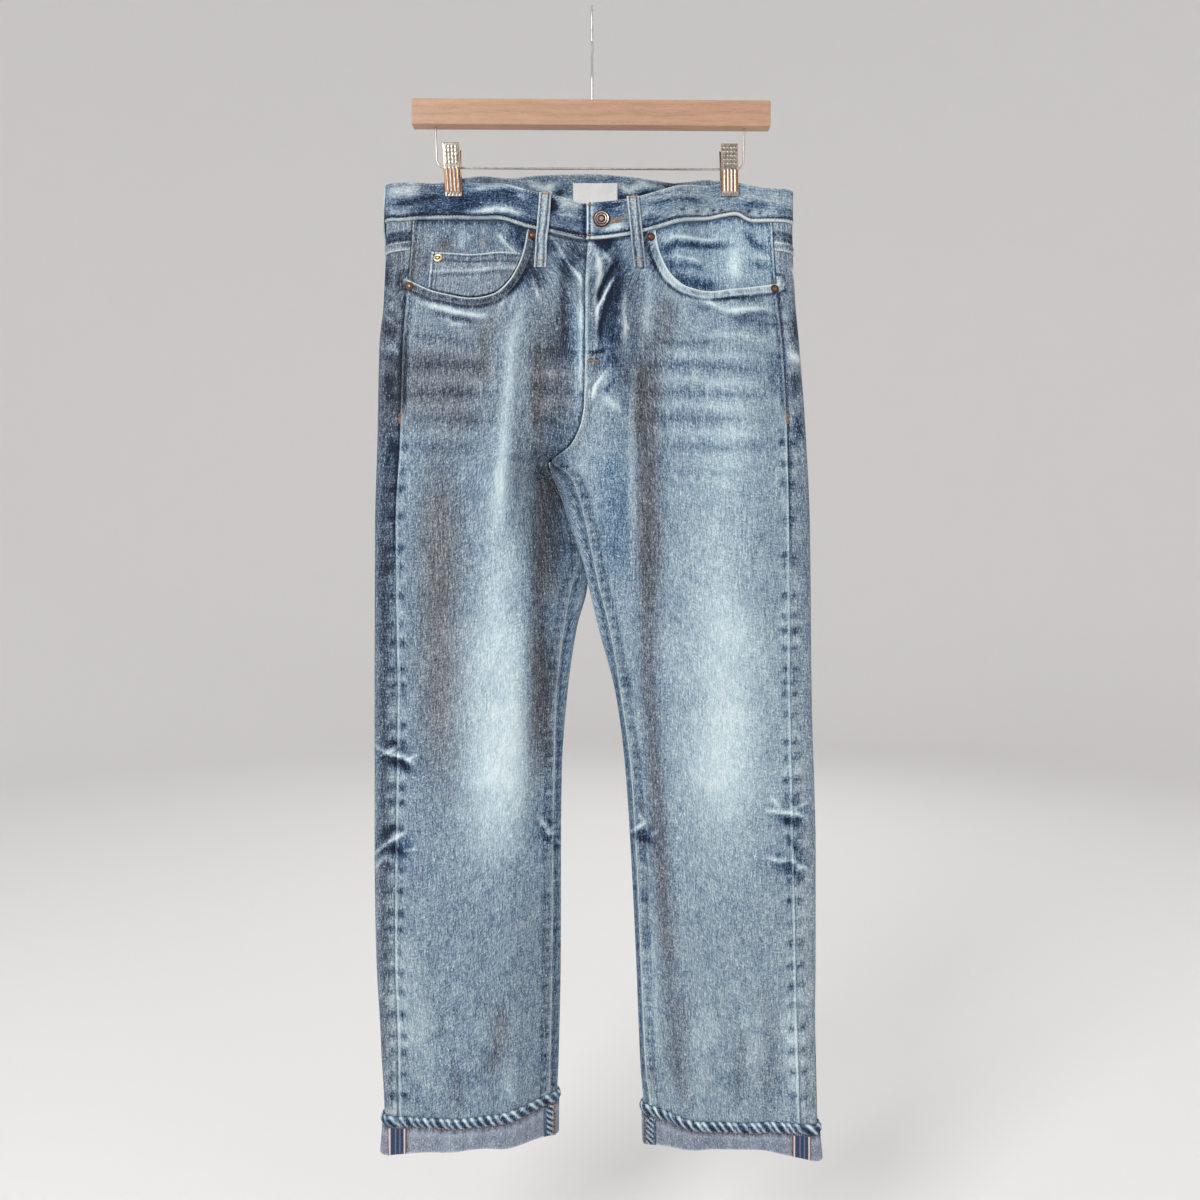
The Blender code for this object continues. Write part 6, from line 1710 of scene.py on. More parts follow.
def pocket_facing(side):
    """The cloth that shows in the pocket mouth, tucked under its edge."""
    x, z = (refined(part, 70, 90) for part in facing_grid(side))
    down, across = np.linspace(0, 1, 70)[:, None], np.linspace(0, 1, 90)
    out = UNDER - LIE_CLEAR * ease(down * 5 - 3.2) - LIE_CLEAR * ease(across * 5 - 3.2)
    fade, grey, _ = worn_and_shaded(FACING_STROKES, FRONT, x, z)
    wash, greyed = FACING_TONE[side]
    # Painted shadow just below the waist seam, under the waistband's edge.
    fade = fade + wash - 0.25 * bump(WAIST["front_seam"](x) - z, 2, 3)
    mouth = resample(MOUTH[side], np.linspace(0, 1, 60))
    mouth = mouth[np.argsort(mouth[:, 0])]
    from_seam = np.abs(x - side_seam(side, z))
    over_mouth = z - np.interp(x, mouth[:, 0], mouth[:, 1])
    out = out + 1.35 * (1 - ease(from_seam / 9)) * ease((over_mouth - 2) / 7)
    # Painted shade: dark lines in the gap at the side seam and beside it.
    fade = ridges(fade, from_seam, (0.26, 1.6, 1.0), (-0.4, 0.2, 0.9), (-0.3, 3.6, 1.2))
    base, away = cloth_frame(side, FRONT, x, z, FACING_STROKES)
    made = make_cloth(f"pocket_facing_{side}_cloth", base + away * out[..., None],
                      base + away * (out - DENIM)[..., None], unrolled(base), fade, grey + greyed)
    dress(made, [f"pocket_facing_{side}"])


def coin_grid():
    """(x, z) of the coin pocket, on the right facing's own columns, cut off by the pocket mouth."""
    count_across, count_down = COIN_FINE
    x, z = facing_grid(RIGHT)
    mouth = resample(MOUTH[RIGHT], np.linspace(0, 1, 60))
    first, last = COIN_COLUMNS
    grid_x, grid_z = [], []
    for column in np.linspace(first, last, count_across):
        line_x = [np.interp(column, np.arange(FACING_COLUMNS), row) for row in x]
        line_z = [np.interp(column, np.arange(FACING_COLUMNS), row) for row in z]
        fine = np.linspace(0, 1, 400)
        down_x = np.interp(fine, np.linspace(0, 1, FACING_ROWS), line_x)
        down_z = np.interp(fine, np.linspace(0, 1, FACING_ROWS), line_z)
        top = COIN_TOP_Z[0] + (COIN_TOP_Z[1] - COIN_TOP_Z[0]) * (column - first) / (last - first)
        above_mouth = down_z > np.interp(down_x, mouth[::-1, 0], mouth[::-1, 1]) + COIN_FOOT_CLEAR
        start, end = np.interp(-top, -down_z, fine), fine[above_mouth][-1]
        at = np.linspace(start, end, count_down)
        grid_x.append(np.interp(at, fine, down_x))
        grid_z.append(np.interp(at, fine, down_z))
    return np.array(grid_x).T, np.array(grid_z).T


def coin_pocket():
    """A small patch on the right facing, with its hem and left edge worn white."""
    x, z = coin_grid()
    low = UNDER + COIN_CLEAR
    base, away = cloth_frame(RIGHT, FRONT, x, z, FACING_STROKES)
    run = unrolled(base)
    across, down = run[..., 0], -run[..., 1]
    ripples = puckered(across, pucker_marks(SEEDS["coin_pocket"], 90, 0, 6.0), 1.8)
    relief = ridges(0, down, (0.3, 1, 1.2), (-0.35, 10, 1.4)) + 0.3 * bump(across, 1, 1.2)
    # The dark line in the sunk groove below the hem is painted shade.
    fade = ridges(0.56, down, (0.42, 0.7, 1.3), (-0.22, 3.2, 1.0), (-0.26, 10, 1.2))
    fade = ridges(fade, across, (0.34, 0.7, 1.3), (-0.36, 3.2, 1.0)) - 0.2 * ripples * bump(down, 6.5, 2.6)
    fade = ridges(fade, z, (0.20, -274 - 0.02 * (x + 120), 2.0), (-0.18, -278.5, 1.6))
    outer = base + away * (low + COIN_THICK + relief - softened(x.shape, 0.35))[..., None]
    made = make_cloth("coin_pocket_cloth", outer, base + away * low, run, fade, 0.5 + 0 * fade)
    dress(made, ["coin_pocket"])


def back_pocket(side):
    """A plain patch with a pointed foot, on the back panel's own columns."""
    first, last = BACK_POCKET_COLUMNS
    columns = np.linspace(first, last, 76)
    top, corner, point = BACK_POCKET_Z
    pointed = 1 - np.abs(2 * (columns - first) / (last - first) - 1)
    z = np.array(rows_between(top, corner + (point - corner) * pointed, 76))
    face, x = round_the_back(side, z, columns)
    base, away = cloth_frame(side, face, x, z, STROKES)
    run = unrolled(base)
    across, down = run[..., 0], -run[..., 1]
    from_edge = np.minimum(np.minimum(across, across[:, -1:] - across), down[-1:] - down)
    ripples = puckered(across + down, pucker_marks(SEEDS["back_pocket"], 320, 0, 7.0), 2.0)
    relief = ridges(0, from_edge, (0.35, 1, 1.2), (-0.3, 6.8, 1.2)) + 0.5 * band(down, -1, 15)
    fade = ridges(0.60, from_edge, (0.30, 0.6, 1.4), (-0.22, 3, 1.2), (-0.24 * ripples, 6, 3))
    fade = ridges(fade, down, (0.34, 0.6, 1.4), (-0.24, 16, 1.8)) + worn_and_shaded(STROKES, face, x, z)[0] * 0.8
    outer = base + away * (POCKET_CLEAR + DENIM + relief - softened(x.shape))[..., None]
    made = make_cloth(f"back_pocket_{side}_cloth", outer, base + away * POCKET_CLEAR, run, fade, 0.2 + 0 * fade)
    dress(made, [f"back_pocket_{side}"])


def fly_shield():
    """The underlap behind the fly, its wrong side out."""
    x_from, x_to, z_foot = FLY_SHIELD
    x = np.linspace(x_from, x_to, 18)
    foot = z_foot + 26 * ((x - x_from) / (x_to - x_from)) ** 2
    z = np.array(rows_between(WAIST["front_seam"](x) - SEAM_GAP, foot, 60))
    x = np.tile(x, (60, 1))
    out = UNDER - 2 * LIE_CLEAR
    outer, inner = cloth(LEFT, FRONT, x, z, out), cloth(LEFT, FRONT, x, z, out - DENIM)
    fade = 0.45 + edge_fade(outer, 1.4, 0.3)
    made = make_cloth("fly_shield_cloth", outer, inner, unrolled(outer), fade, 0.2 + 0 * fade,
                      "denim wrong side", "washed denim")
    dress(made, ["fly_shield"])


def woven_label_piece():
    """A blank label inside the back of the waistband."""
    x, z = np.meshgrid(np.linspace(*LABEL_X, 40), rows_between(*LABEL_Z, 26))
    out = BAND_IN - SEAM_GAP
    base, away = cloth_frame(LEFT, BACK, x, z)
    outer, inner = base + away * (out - LABEL_THICK), base + away * out
    made = make_cloth("label_cloth", outer, inner, unrolled(outer), np.full(z.shape, 0.9), np.zeros(z.shape),
                      "woven label", "woven label")
    dress(made, ["label"])


# ---------------------------------------------------------------- cuffs


def leg_ring(side):
    """Face and share of the way from the outer edge to the inner one for points round the leg."""
    z = CUFF_MIDDLE_Z
    edge, inner = side_edge(side, z), inner_edge(side, z)
    seam, inseam = side_seam(side, z), inner_seam(side, z)
    front_x = seam + (inseam - seam) * np.linspace(0, 1, RING_FRONT + 1)
    column = np.concatenate([np.linspace(0.3, 5, 36), np.linspace(5, 17, 130)[1:], np.linspace(17, 20.7, 26)[1:]])
    back_face, back_x = round_the_back(side, np.full(len(column), float(z)), column)
    face = np.concatenate([np.full(len(front_x), FRONT), back_face[::-1]])
    x = np.concatenate([front_x, back_x[::-1]])
    return face, (x - edge) / (inner - edge)


def ring_points(side, profile):
    """Points of a section swept round the leg. Its rows are (distance out, share of the way from the
    cuff's fold up to its hem line, height added); the first may also be an array round the leg."""
    face, across = leg_ring(side)
    loops = []
    for out, share, height in profile:
        z = np.full(len(face), CUFF_MIDDLE_Z)
        for _ in range(3):
            edge = side_edge(side, z)
            x = edge + (inner_edge(side, z) - edge) * across
            fold, line = cuff_line(side, "fold", x), cuff_line(side, "line", x)
            z = fold + (line - fold) * share + height
        loops.append(cloth(side, face, x, z, np.broadcast_to(out, x.shape)))
    return np.array(loops)


def ring_mesh(name, loops, look, fade, grey):
    """A closed ring from its loops, in order round the section."""
    steps, count = loops.shape[:2]
    k, j = np.meshgrid(np.arange(steps), np.arange(count), indexing="ij")
    a, b = k * count + j, k * count + (j + 1) % count
    c, d = (k + 1) % steps * count + (j + 1) % count, (k + 1) % steps * count + j
    faces = np.stack([a, b, c, d], axis=-1).reshape(-1, 4)
    return outward_mesh(name, loops, faces, [look], cloth_map=unrolled(loops),
                        fade=np.broadcast_to(fade, (steps, count)), grey=np.broadcast_to(grey, (steps, count)))


def rope(seed):
    """Places and depths of the slanted ridges round a roped hem, about 8 mm apart."""
    random = np.random.default_rng(seed)
    places = np.sort((np.arange(ROPE_RIDGES) + 0.35 * (random.random(ROPE_RIDGES) - 0.5)) / ROPE_RIDGES)
    return places, 0.7 + 0.3 * random.random(ROPE_RIDGES)


def cuff_wall(side):
    """Turned up outside the leg: a wall joined to the leg's foot by the fold, up to the roped hem."""
    inside, outside = CUFF_CLEAR, CUFF_CLEAR + DENIM
    top = -HEM_HEIGHT - SEAM_GAP
    seed = SEEDS[f"cuff_{side}"]
    count = len(leg_ring(side)[0])
    around = np.arange(count) / count
    marks = pucker_marks(seed, 1.0, 0.0, 0.022)
    sag = 0.35 * puckered(around, marks, 0.006)
    profile = [(inside, 1, top)]
    for share in np.linspace(1, 0, 16):
        profile.append((outside - sag * bump(share, 1, 0.35), share, top * share + 0.7 * (1 - share) ** 4))
    profile += [(outside - 0.35, 0, 0.2), (outside - 0.9, 0, 0.0), (0.2, 0, 0.0), (-DENIM + 0.3, 0, 0.1),
                (-DENIM, 0, 0.5), (-DENIM, 0, DENIM), (inside, 0, DENIM)]
    share = np.array([row[1] for row in profile])[:, None]
    fade = ridges(CUFF_TONE[side], share, (0.26, 0, 0.05), (-0.16, 1, 0.12), (0.12, 0.75, 0.12))
    fade = fade - 0.22 * puckered(around, marks, 0.004)[None, :] * bump(share, 0.92, 0.16)
    slow = puckered(around, pucker_marks(seed + 4, 1, 0, 0.05), 0.014)
    fade = fade + 0.08 * (slow[None, :] - 0.5)
    made = ring_mesh(f"cuff_{side}_cloth", ring_points(side, profile), "denim wrong side", fade, 0.15)
    dress(made, [f"cuff_{side}"])


def roped_hem(side):
    """The cuff's hem, twisted into slanted ridges."""
    places, depths = rope(SEEDS[f"cuff_{side}"] + 1)
    count = len(leg_ring(side)[0])
    around = np.arange(count) / count
    turns = np.linspace(0, 1, ROPE_ROWS)
    profile, waves = [(CUFF_CLEAR, 1, -HEM_HEIGHT)], []
    for turn in turns:
        wave = np.zeros(count)
        for place, depth in zip(places, depths):
            gap = (around - place + 0.5 + ROPE_SLANT[side] * (turn - 0.5)) % 1 - 0.5
            wave += depth * bump(gap, 0, 0.0066)
        waves.append(wave)
        swell = math.sin(math.pi * min(max(turn, 0.06), 0.94)) ** 0.55
        out = CUFF_CLEAR + HEM_THICK * swell + (wave - 0.5) * 0.9 * swell
        profile.append((np.maximum(out, CUFF_CLEAR + 0.15), 1, -HEM_HEIGHT * (1 - turn)))
    profile.append((CUFF_CLEAR, 1, 0.3))
    waves = np.array([waves[0], *waves, waves[-1]])
    down = np.concatenate([[0], turns, [1]])[:, None]
    fade = ridges(0.10 + 0.86 * np.clip(waves, 0, 1) ** 1.3, down, (0.25, 0.9, 0.14), (-0.1, 0.0, 0.12))
    made = ring_mesh(f"hem_{side}_cloth", ring_points(side, profile), "roped hem", fade, 0.12)
    dress(made, [f"hem_{side}"])


def hem_line(side, up):
    """Points on the roped hem's face in front, a height above its lower edge."""
    x = np.linspace(side_seam(side, STRIP_Z), inner_seam(side, STRIP_Z), 120)
    return x, cuff_line(side, "line", x) - HEM_HEIGHT + up


def cuff_strip(name, side, x_from, width):
    """A strip sewn into the cuff: the outseam's selvedge edges, or the inseam's allowance."""
    run = np.linspace(-width / 2, width / 2, 30)
    x = x_from + SIGN[side] * run
    fold = cuff_line(side, "fold", x) + 1.0
    top = cuff_line(side, "line", x) - HEM_HEIGHT - 1.0
    v = np.linspace(0, 1, 50)[:, None]
    z = fold + (top - fold) * v
    x = x + 0 * z
    across = np.abs(run)[None, :] + 0 * v
    twist = np.sin(z * 1.1 + (x - x_from) * 0.9)
    relief = 0.25 * bump(across, width / 2 - 0.8, 0.8)
    if width == SELVEDGE_WIDTH:
        slot, look = "selvedge", "selvedge cloth"
        relief = relief - 0.3 * bump(across, 0, 0.9)
    else:
        slot, look = "denim_wrong_side", "washed denim"
        relief = relief + 0.35 * twist * bump(across, 1.5, 2.5)
    out = CUFF_CLEAR + DENIM + 2 * SEAM_GAP
    outer = cloth(side, FRONT, x, z, out + 0.9 + relief - softened(x.shape, 0.4))
    inner = cloth(side, FRONT, x, z, out)
    fade = 0.5 + 0.32 * twist * (across < 3.4) - 0.1 * (across >= 3.4)
    cloth_map = np.stack([(x - x_from) + width / 2, z - z[:1]], axis=-1)
    made = make_cloth(f"{name}_cloth", outer, inner, cloth_map, fade, 0.25 + 0 * fade, look)
    dress(made, [name])


# ---------------------------------------------------------------- stitches


# How far each layer's outer face stands off the plain cloth, and the strokes that shape it.
LAYERS = {
    "bare": 0.0, "facing": UNDER, "coin": UNDER + COIN_CLEAR + COIN_THICK, "pocket": POCKET_CLEAR + DENIM + 0.1,
    "band inside": BAND_IN, "hem": CUFF_CLEAR + HEM_THICK + 0.1, "cuff": CUFF_CLEAR + DENIM,
}
LAYER_WEAR = {"panel": STROKES, "pocket": STROKES, "facing": FACING_STROKES, "coin": FACING_STROKES}


def layer_height(place, side, face, x, z):
    """How far a layer's outer face stands off the plain cloth."""
    if place == "panel":
        return panel_marks(side, face, x, z)[0]
    if place == "band":
        return BAND_OUT + worn_and_shaded(BAND_STROKES, face, x, z)[2]
    return LAYERS[place]


class Sewing:
    """Lines of stitches in one thread, gathered before they are made."""

    def __init__(self):
        self.points, self.ups, self.edges = [], [], []

    def add(self, points, ups):
        """A line through points, and the way out of the cloth at each."""
        start = len(self.points)
        self.points += list(points)
        self.ups += list(ups)
        self.edges += [(start + k, start + k + 1) for k in range(len(points) - 1)]

    def line(self, place, side, face, x, z, out=0.15):
        """A line over (x, z) on a layer of the jeans. With no side it runs across both."""
        x, z = np.asarray(x, float), np.asarray(z, float)
        face = np.broadcast_to(face, x.shape)
        base, ups = np.zeros((len(x), 3)), np.zeros((len(x), 3))
        for one, half in ((RIGHT, x < 0), (LEFT, x >= 0)):
            here = half if side is None else np.full(len(x), side == one)
            if here.any():
                spot = one, face[here], x[here], z[here]
                level = layer_height(place, *spot) + out
                base[here], ups[here] = cloth_frame(*spot, LAYER_WEAR.get(place), level)
        self.add(base, ups)

    def through(self, place, side, face, points, out=0.15, gap=2.0):
        """A line through a few points."""
        points = np.array(points, float)
        length = np.sum(np.linalg.norm(np.diff(points, axis=0), axis=1))
        dense = resample(points, np.linspace(0, 1, max(int(length / gap), 3)))
        self.line(place, side, face, dense[:, 0], dense[:, 1], out)

    def sew(self, name, look, slot, pitch, size, seed):
        """Makes the stitches: small rounded threads set along every line."""
        clear_name(name)
        mesh = bpy.data.meshes.new(name)
        mesh.from_pydata((np.array(self.points) * MM).tolist(), self.edges, [])
        mesh.attributes.new("up", "FLOAT_VECTOR", "POINT").data.foreach_set("vector", np.ravel(self.ups))
        made = bpy.data.objects.new(name, mesh)
        bpy.context.scene.collection.objects.link(made)
        modifier = made.modifiers.new("stitches", "NODES")
        tree = stitch_tree()
        modifier.node_group = tree
        given = {"Pitch": pitch * MM, "Size": [part * MM for part in size], "Seed": seed, "Thread": finish(look)}
        for item in tree.interface.items_tree:
            if item.item_type == "SOCKET" and item.in_out == "INPUT" and item.name in given:
                modifier[item.identifier] = given[item.name]
        bpy.context.view_layer.update()
        solid = bpy.data.meshes.new_from_object(made.evaluated_get(bpy.context.evaluated_depsgraph_get()))
        made.modifiers.remove(modifier)
        made.data = solid
        for polygon in solid.polygons:
            polygon.use_smooth = True
        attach(made, "root")


def stitch_tree():
    """Geometry Nodes that set a small rounded thread at even steps along lines."""
    found = bpy.data.node_groups.get("stitches along lines")
    if found:
        return found
    tree = bpy.data.node_groups.new("stitches along lines", "GeometryNodeTree")
    for name, kind in (("Lines", "Geometry"), ("Pitch", "Float"), ("Size", "Vector"), ("Seed", "Int"),
                       ("Thread", "Material")):
        tree.interface.new_socket(name, in_out="INPUT", socket_type=f"NodeSocket{kind}")
    tree.interface.new_socket("Stitches", in_out="OUTPUT", socket_type="NodeSocketGeometry")

    def node(kind, sockets=None, **settings):
        made = tree.nodes.new(kind)
        for name, value in settings.items():
            setattr(made, name, value)
        for name, value in (sockets or {}).items():
            if isinstance(value, bpy.types.NodeSocket):
                tree.links.new(value, made.inputs[name])
            else:
                made.inputs[name].default_value = value
        return made

    given = node("NodeGroupInput").outputs
    curve = node("GeometryNodeMeshToCurve", {0: given["Lines"]}).outputs[0]
    steps = node("GeometryNodeResampleCurve", {"Curve": curve, "Length": given["Pitch"]}, mode="LENGTH").outputs[0]
    tangent = node("GeometryNodeInputTangent").outputs[0]
    up = node("GeometryNodeInputNamedAttribute", {"Name": "up"}, data_type="FLOAT_VECTOR").outputs[0]
    along = node("FunctionNodeAlignRotationToVector", {"Vector": tangent}, axis="X").outputs[0]
    upright = node("FunctionNodeAlignRotationToVector", {"Rotation": along, "Vector": up}, axis="Z",
                   pivot_axis="X").outputs[0]
    bead = node("GeometryNodeMeshUVSphere", {"Segments": 6, "Rings": 4, "Radius": 0.5}).outputs[0]
    vary = node("FunctionNodeRandomValue", {2: 0.82, 3: 1.12, "Seed": given["Seed"]}, data_type="FLOAT").outputs[1]
    sized = node("ShaderNodeVectorMath", {0: given["Size"], "Scale": vary}, operation="SCALE").outputs[0]
    placed = node("GeometryNodeInstanceOnPoints", {"Points": steps, "Instance": bead, "Rotation": upright,
                                                   "Scale": sized}).outputs[0]
    real = node("GeometryNodeRealizeInstances", {0: placed}).outputs[0]
    dressed = node("GeometryNodeSetMaterial", {"Geometry": real, "Material": given["Thread"]}).outputs[0]
    tree.links.new(dressed, node("NodeGroupOutput").inputs[0])
    return tree


def beside(points, distance):
    """A line of points moved sideways, down or towards the middle for a positive distance."""
    points = np.asarray(points, float)
    along = np.gradient(points, axis=0)
    along /= np.linalg.norm(along, axis=1, keepdims=True)
    across = np.stack([along[:, 1], -along[:, 0]], axis=1)
    if across[len(across) // 2, 1] > 0:
        across = -across
    return points + across * distance


def seam_points(line, start, stop, shift):
    """(x, z) of a stitch line beside a seam, from one height to another, every 2 mm."""
    z = np.linspace(start, stop, int(abs(stop - start) / 2))
    return line(z) + shift, z


def back_points(side, column_from, column_to, z_from, z_to, count):
    """Face, x and z of a straight line between two of the back panel's columns and heights."""
    column, z = np.linspace(column_from, column_to, count), np.linspace(z_from, z_to, count)
    return *round_the_back(side, z, column), z


def leg_stitches(side, gold, tan, pale, navy):
    """One leg's lines: pocket mouth, inseam, outseam, yoke, belt loop, back pocket and cuff."""
    sign = SIGN[side]
    mouth = resample(MOUTH[side], np.linspace(0.012, 0.985, 110))
    for distance in (1.9, 7.4):
        line = beside(mouth, distance)
        (tan if side == RIGHT else pale).line("panel", side, FRONT, line[:, 0], line[:, 1])
    for shift in (2.2, 7.8):
        tan.line("panel", side, FRONT, *seam_points(INNER[f"{side}_seam"], -480, -1112, sign * shift))
    tan.line("panel", side, FRONT, *seam_points(SIDES[f"{side}_seam"], -312, -416, -sign * 1.9))
    column = np.linspace(0.2, LAST_COLUMN - 0.2, 190)
    for shift in (1.9, 7.2):
        z = yoke_line(column / LAST_COLUMN) + shift
        face, x = round_the_back(side, z, column)
        tan.line("bare", side, face, x, z, 0.75)
    x_top, x_foot, z_top, z_foot = FRONT_LOOPS[side]
    v = np.linspace(0.02, 0.98, 40)
    for shift in (-3.4, 3.4):
        x, z = x_top + (x_foot - x_top) * v + shift, z_top + (z_foot - z_top) * v
        high = loop_rise(z, WAIST["front_seam"](x)) + loop_bow(v) + LOOP_THICK - 0.25
        navy.add(*cloth_frame(side, FRONT, x, z, out=high))

    first, last = BACK_POCKET_COLUMNS
    top, corner, point = BACK_POCKET_Z
    middle = (first + last) / 2
    for inset in (1.8, 7.2):
        start, stop = first + inset / BACK_COLUMN_WIDTH, last - inset / BACK_COLUMN_WIDTH
        low, lowest = corner + inset * 0.4, point + inset * 1.05
        for x0, x1, z0, z1 in ((start, start, top - 2, low), (start, middle, low, lowest),
                               (middle, stop, lowest, low), (stop, stop, low, top - 2)):
            face, x, z = back_points(side, x0, x1, z0, z1, 40)
            tan.line("pocket", side, face, x, z)
    for inset in (2.0, 14.0):
        face, x, z = back_points(side, first + 0.1, last - 0.1, top - inset, top - inset, 60)
        tan.line("pocket", side, face, x, z, 0.5)

    gold.line("hem", side, FRONT, *hem_line(side, 1.0), -1.0)
    for inwards in (3.0, 2.1, 1.2, 0.3):
        x = np.full(16, inner_seam(side, STRIP_Z) - sign * inwards)
        fold = cuff_line(side, "fold", x[:1])[0] + 2
        top = cuff_line(side, "line", x[:1])[0] - HEM_HEIGHT - 2
        gold.line("cuff", side, FRONT, x, np.linspace(fold, top, 16), 2 * SEAM_GAP + 1.25)


def middle_stitches(gold, tan, pale, navy):
    """Lines of the seat, the crotch, the fly and the coin pocket."""
    for shift in (2.0, 7.8):
        tan.line("panel", LEFT, BACK, *seam_points(RISE["seam"], -282, FORK_Z + 3, shift))
    for shift in (2.2, 7.8):
        tan.line("panel", LEFT, FRONT, *seam_points(RISE["seam"], -396, -452, shift * 0.9))
    for points in (((30, -258), (29, -300), (27, -340), (20, -362), (10, -381), (-1, -394)),
                   ((23, -260), (22, -300), (21, -338), (14, -357), (5, -373), (-3, -384))):
        navy.through("panel", LEFT, FRONT, points)
    for points in (((-2.2, -300), (-3.6, -360)), ((0.8, -302), (-0.4, -360))):
        pale.through("panel", LEFT, FRONT, points)
    for points in (((-5, -370), (-7.4, -394)), ((6.5, -370), (0, -391), (-1.5, -406))):
        gold.through("panel", LEFT, FRONT, points, 0.3)
    gold.through("coin", RIGHT, FRONT, ((-81.4, -262), (-81.6, -280)), 0.2)
    for x in (-86, -82.4):
        navy.through("facing", RIGHT, FRONT, ((x, -235), (x + 0.6, -252)), 0.2)
    x, z = coin_grid()
    for row in (3, 9):
        navy.line("coin", RIGHT, FRONT, x[row], z[row])
    for column in (2, 5):
        navy.line("coin", RIGHT, FRONT, x[:, column], z[:, column])


def band_stitches(gold, tan, pale):
    """Lines along both edges of the waistband, open at the button, and the one inside it."""
    x = np.linspace(-203, 203, 260)
    closed = (x < -8) | (x > 20)
    for thread_line, face, keep, top, seam in ((pale, FRONT, closed, "front_top", "front_seam"),
                                               (tan, BACK, True, "back_top", "back_seam")):
        for shift, line in ((-2.4, top), (2.6, seam)):
            for part in (x[keep & (x < 0)], x[keep & (x > 0)]):
                thread_line.line("band", None, face, part, WAIST[line](part) + shift, 0.2)
    inside = np.linspace(-150, 150, 160)
    gold.line("band inside", None, BACK, inside, WAIST["back_top"](inside) - 2.6, -0.25)


def stitch_lines():
    """All lines of stitches, by thread."""
    threads = {name: Sewing() for name in ("gold", "tan", "pale", "navy")}
    for side in (RIGHT, LEFT):
        leg_stitches(side, **threads)
    middle_stitches(**threads)
    band_stitches(threads["gold"], threads["tan"], threads["pale"])
    return threads


def tacks():
    """Bar tacks and the buttonhole's edge: short rows of threads laid across their line."""
    short, long = Sewing(), Sewing()
    first, last = BACK_POCKET_COLUMNS
    for side in (RIGHT, LEFT):
        x_top, x_foot, z_top, z_foot = FRONT_LOOPS[side]
        for x, z in ((x_top, z_top - 1.6), (x_foot, z_foot + 6.5)):
            high = loop_rise(z, WAIST["front_seam"](x)) + LOOP_THICK + 0.35
            short.add(*cloth_frame(side, FRONT, x + np.linspace(-4.4, 4.4, 12), np.full(12, float(z)), out=high))
        seam = side_seam(side, -421)
        long.through("panel", side, FRONT, ((seam, -417), (seam, -427)), 0.3, 1.0)
        for column in (first + 0.12, last - 0.12):
            face, x, z = back_points(side, column, column, -301, -309, 8)
            short.line("pocket", side, face, x, z, 0.5)
    short.through("panel", LEFT, FRONT, ((-4.5, -368.5), (7, -368.5)), 0.4, 1.0)
    for points in (((18.8, -225.6), (26, -226.8), (34, -225)), ((19.8, -229.5), (28, -227.8)),
                   ((-4.6, -211.5), (0.5, -212)), ((-4.6, -242), (-0.5, -242))):
        short.through("band", LEFT, FRONT, points, 0.4, 1.0)
    return short, long


# ---------------------------------------------------------------- hardware


def turned(name, centre, axis, profile, looks, rings, count, radius=1.0):
    """A turned piece: (share of its radius, height) points swept round an axis. Each ring has the
    number of its finish."""
    axis = np.asarray(axis, float) / np.linalg.norm(axis)
    across = np.cross(axis, (0, 0, 1))
    across /= np.linalg.norm(across)
    upright = np.cross(across, axis)
    angles = np.linspace(0, 2 * math.pi, count, endpoint=False)
    ring = np.cos(angles)[:, None] * across + np.sin(angles)[:, None] * upright
    points = [centre + axis * profile[0][1]]
    for share, height in profile[1:-1]:
        points.extend(centre + axis * height + ring * (share * radius))
    points.append(centre + axis * profile[-1][1])
    steps = len(profile) - 2
    last = 1 + (steps - 1) * count
    faces = [(0, 1 + (j + 1) % count, 1 + j) for j in range(count)]
    faces += (grid_faces(steps, count, closed=True) + 1).tolist()
    faces += [(last + j, last + (j + 1) % count, last + count) for j in range(count)]
    indices = np.repeat([0, *rings[:steps - 1], rings[-1]], count)
    return outward_mesh(name, points, faces, looks, indices=indices)


def seat_of(side, x, z, out):
    """Where a button or rivet sits on the front, and the way it points."""
    base, away = cloth_frame(side, FRONT, np.array([float(x)]), np.array([float(z)]), out=out)
    return base[0], away[0]


def waist_button():
    """A shank button with a raised rim and rings round a sunk middle."""
    x, z, radius = BUTTON
    seat, axis = seat_of(LEFT, x, z, BAND_OUT + SEAM_GAP)
    profile = [(0, 0), (0.55, 0), (0.62, 0.9), (0.93, 0.8), (0.99, 1.1), (1.0, 1.6), (0.97, 2.1), (0.90, 2.4),
               (0.83, 2.45), (0.77, 2.2), (0.73, 1.95), (0.66, 2.0), (0.62, 2.2), (0.57, 2.25), (0.52, 2.1),
               (0.48, 1.95), (0.40, 2.0), (0.34, 2.3), (0.24, 2.42), (0.14, 2.46), (0, 2.48)]
    rings = [0] * 7 + [1, 1, 0, 0, 0, 1, 1, 0, 0, 0, 1, 1, 1]
    made = turned("button_disc", seat, axis, profile, ("old copper", "button metal"), rings, 56, radius)
    dress(made, ["button"])


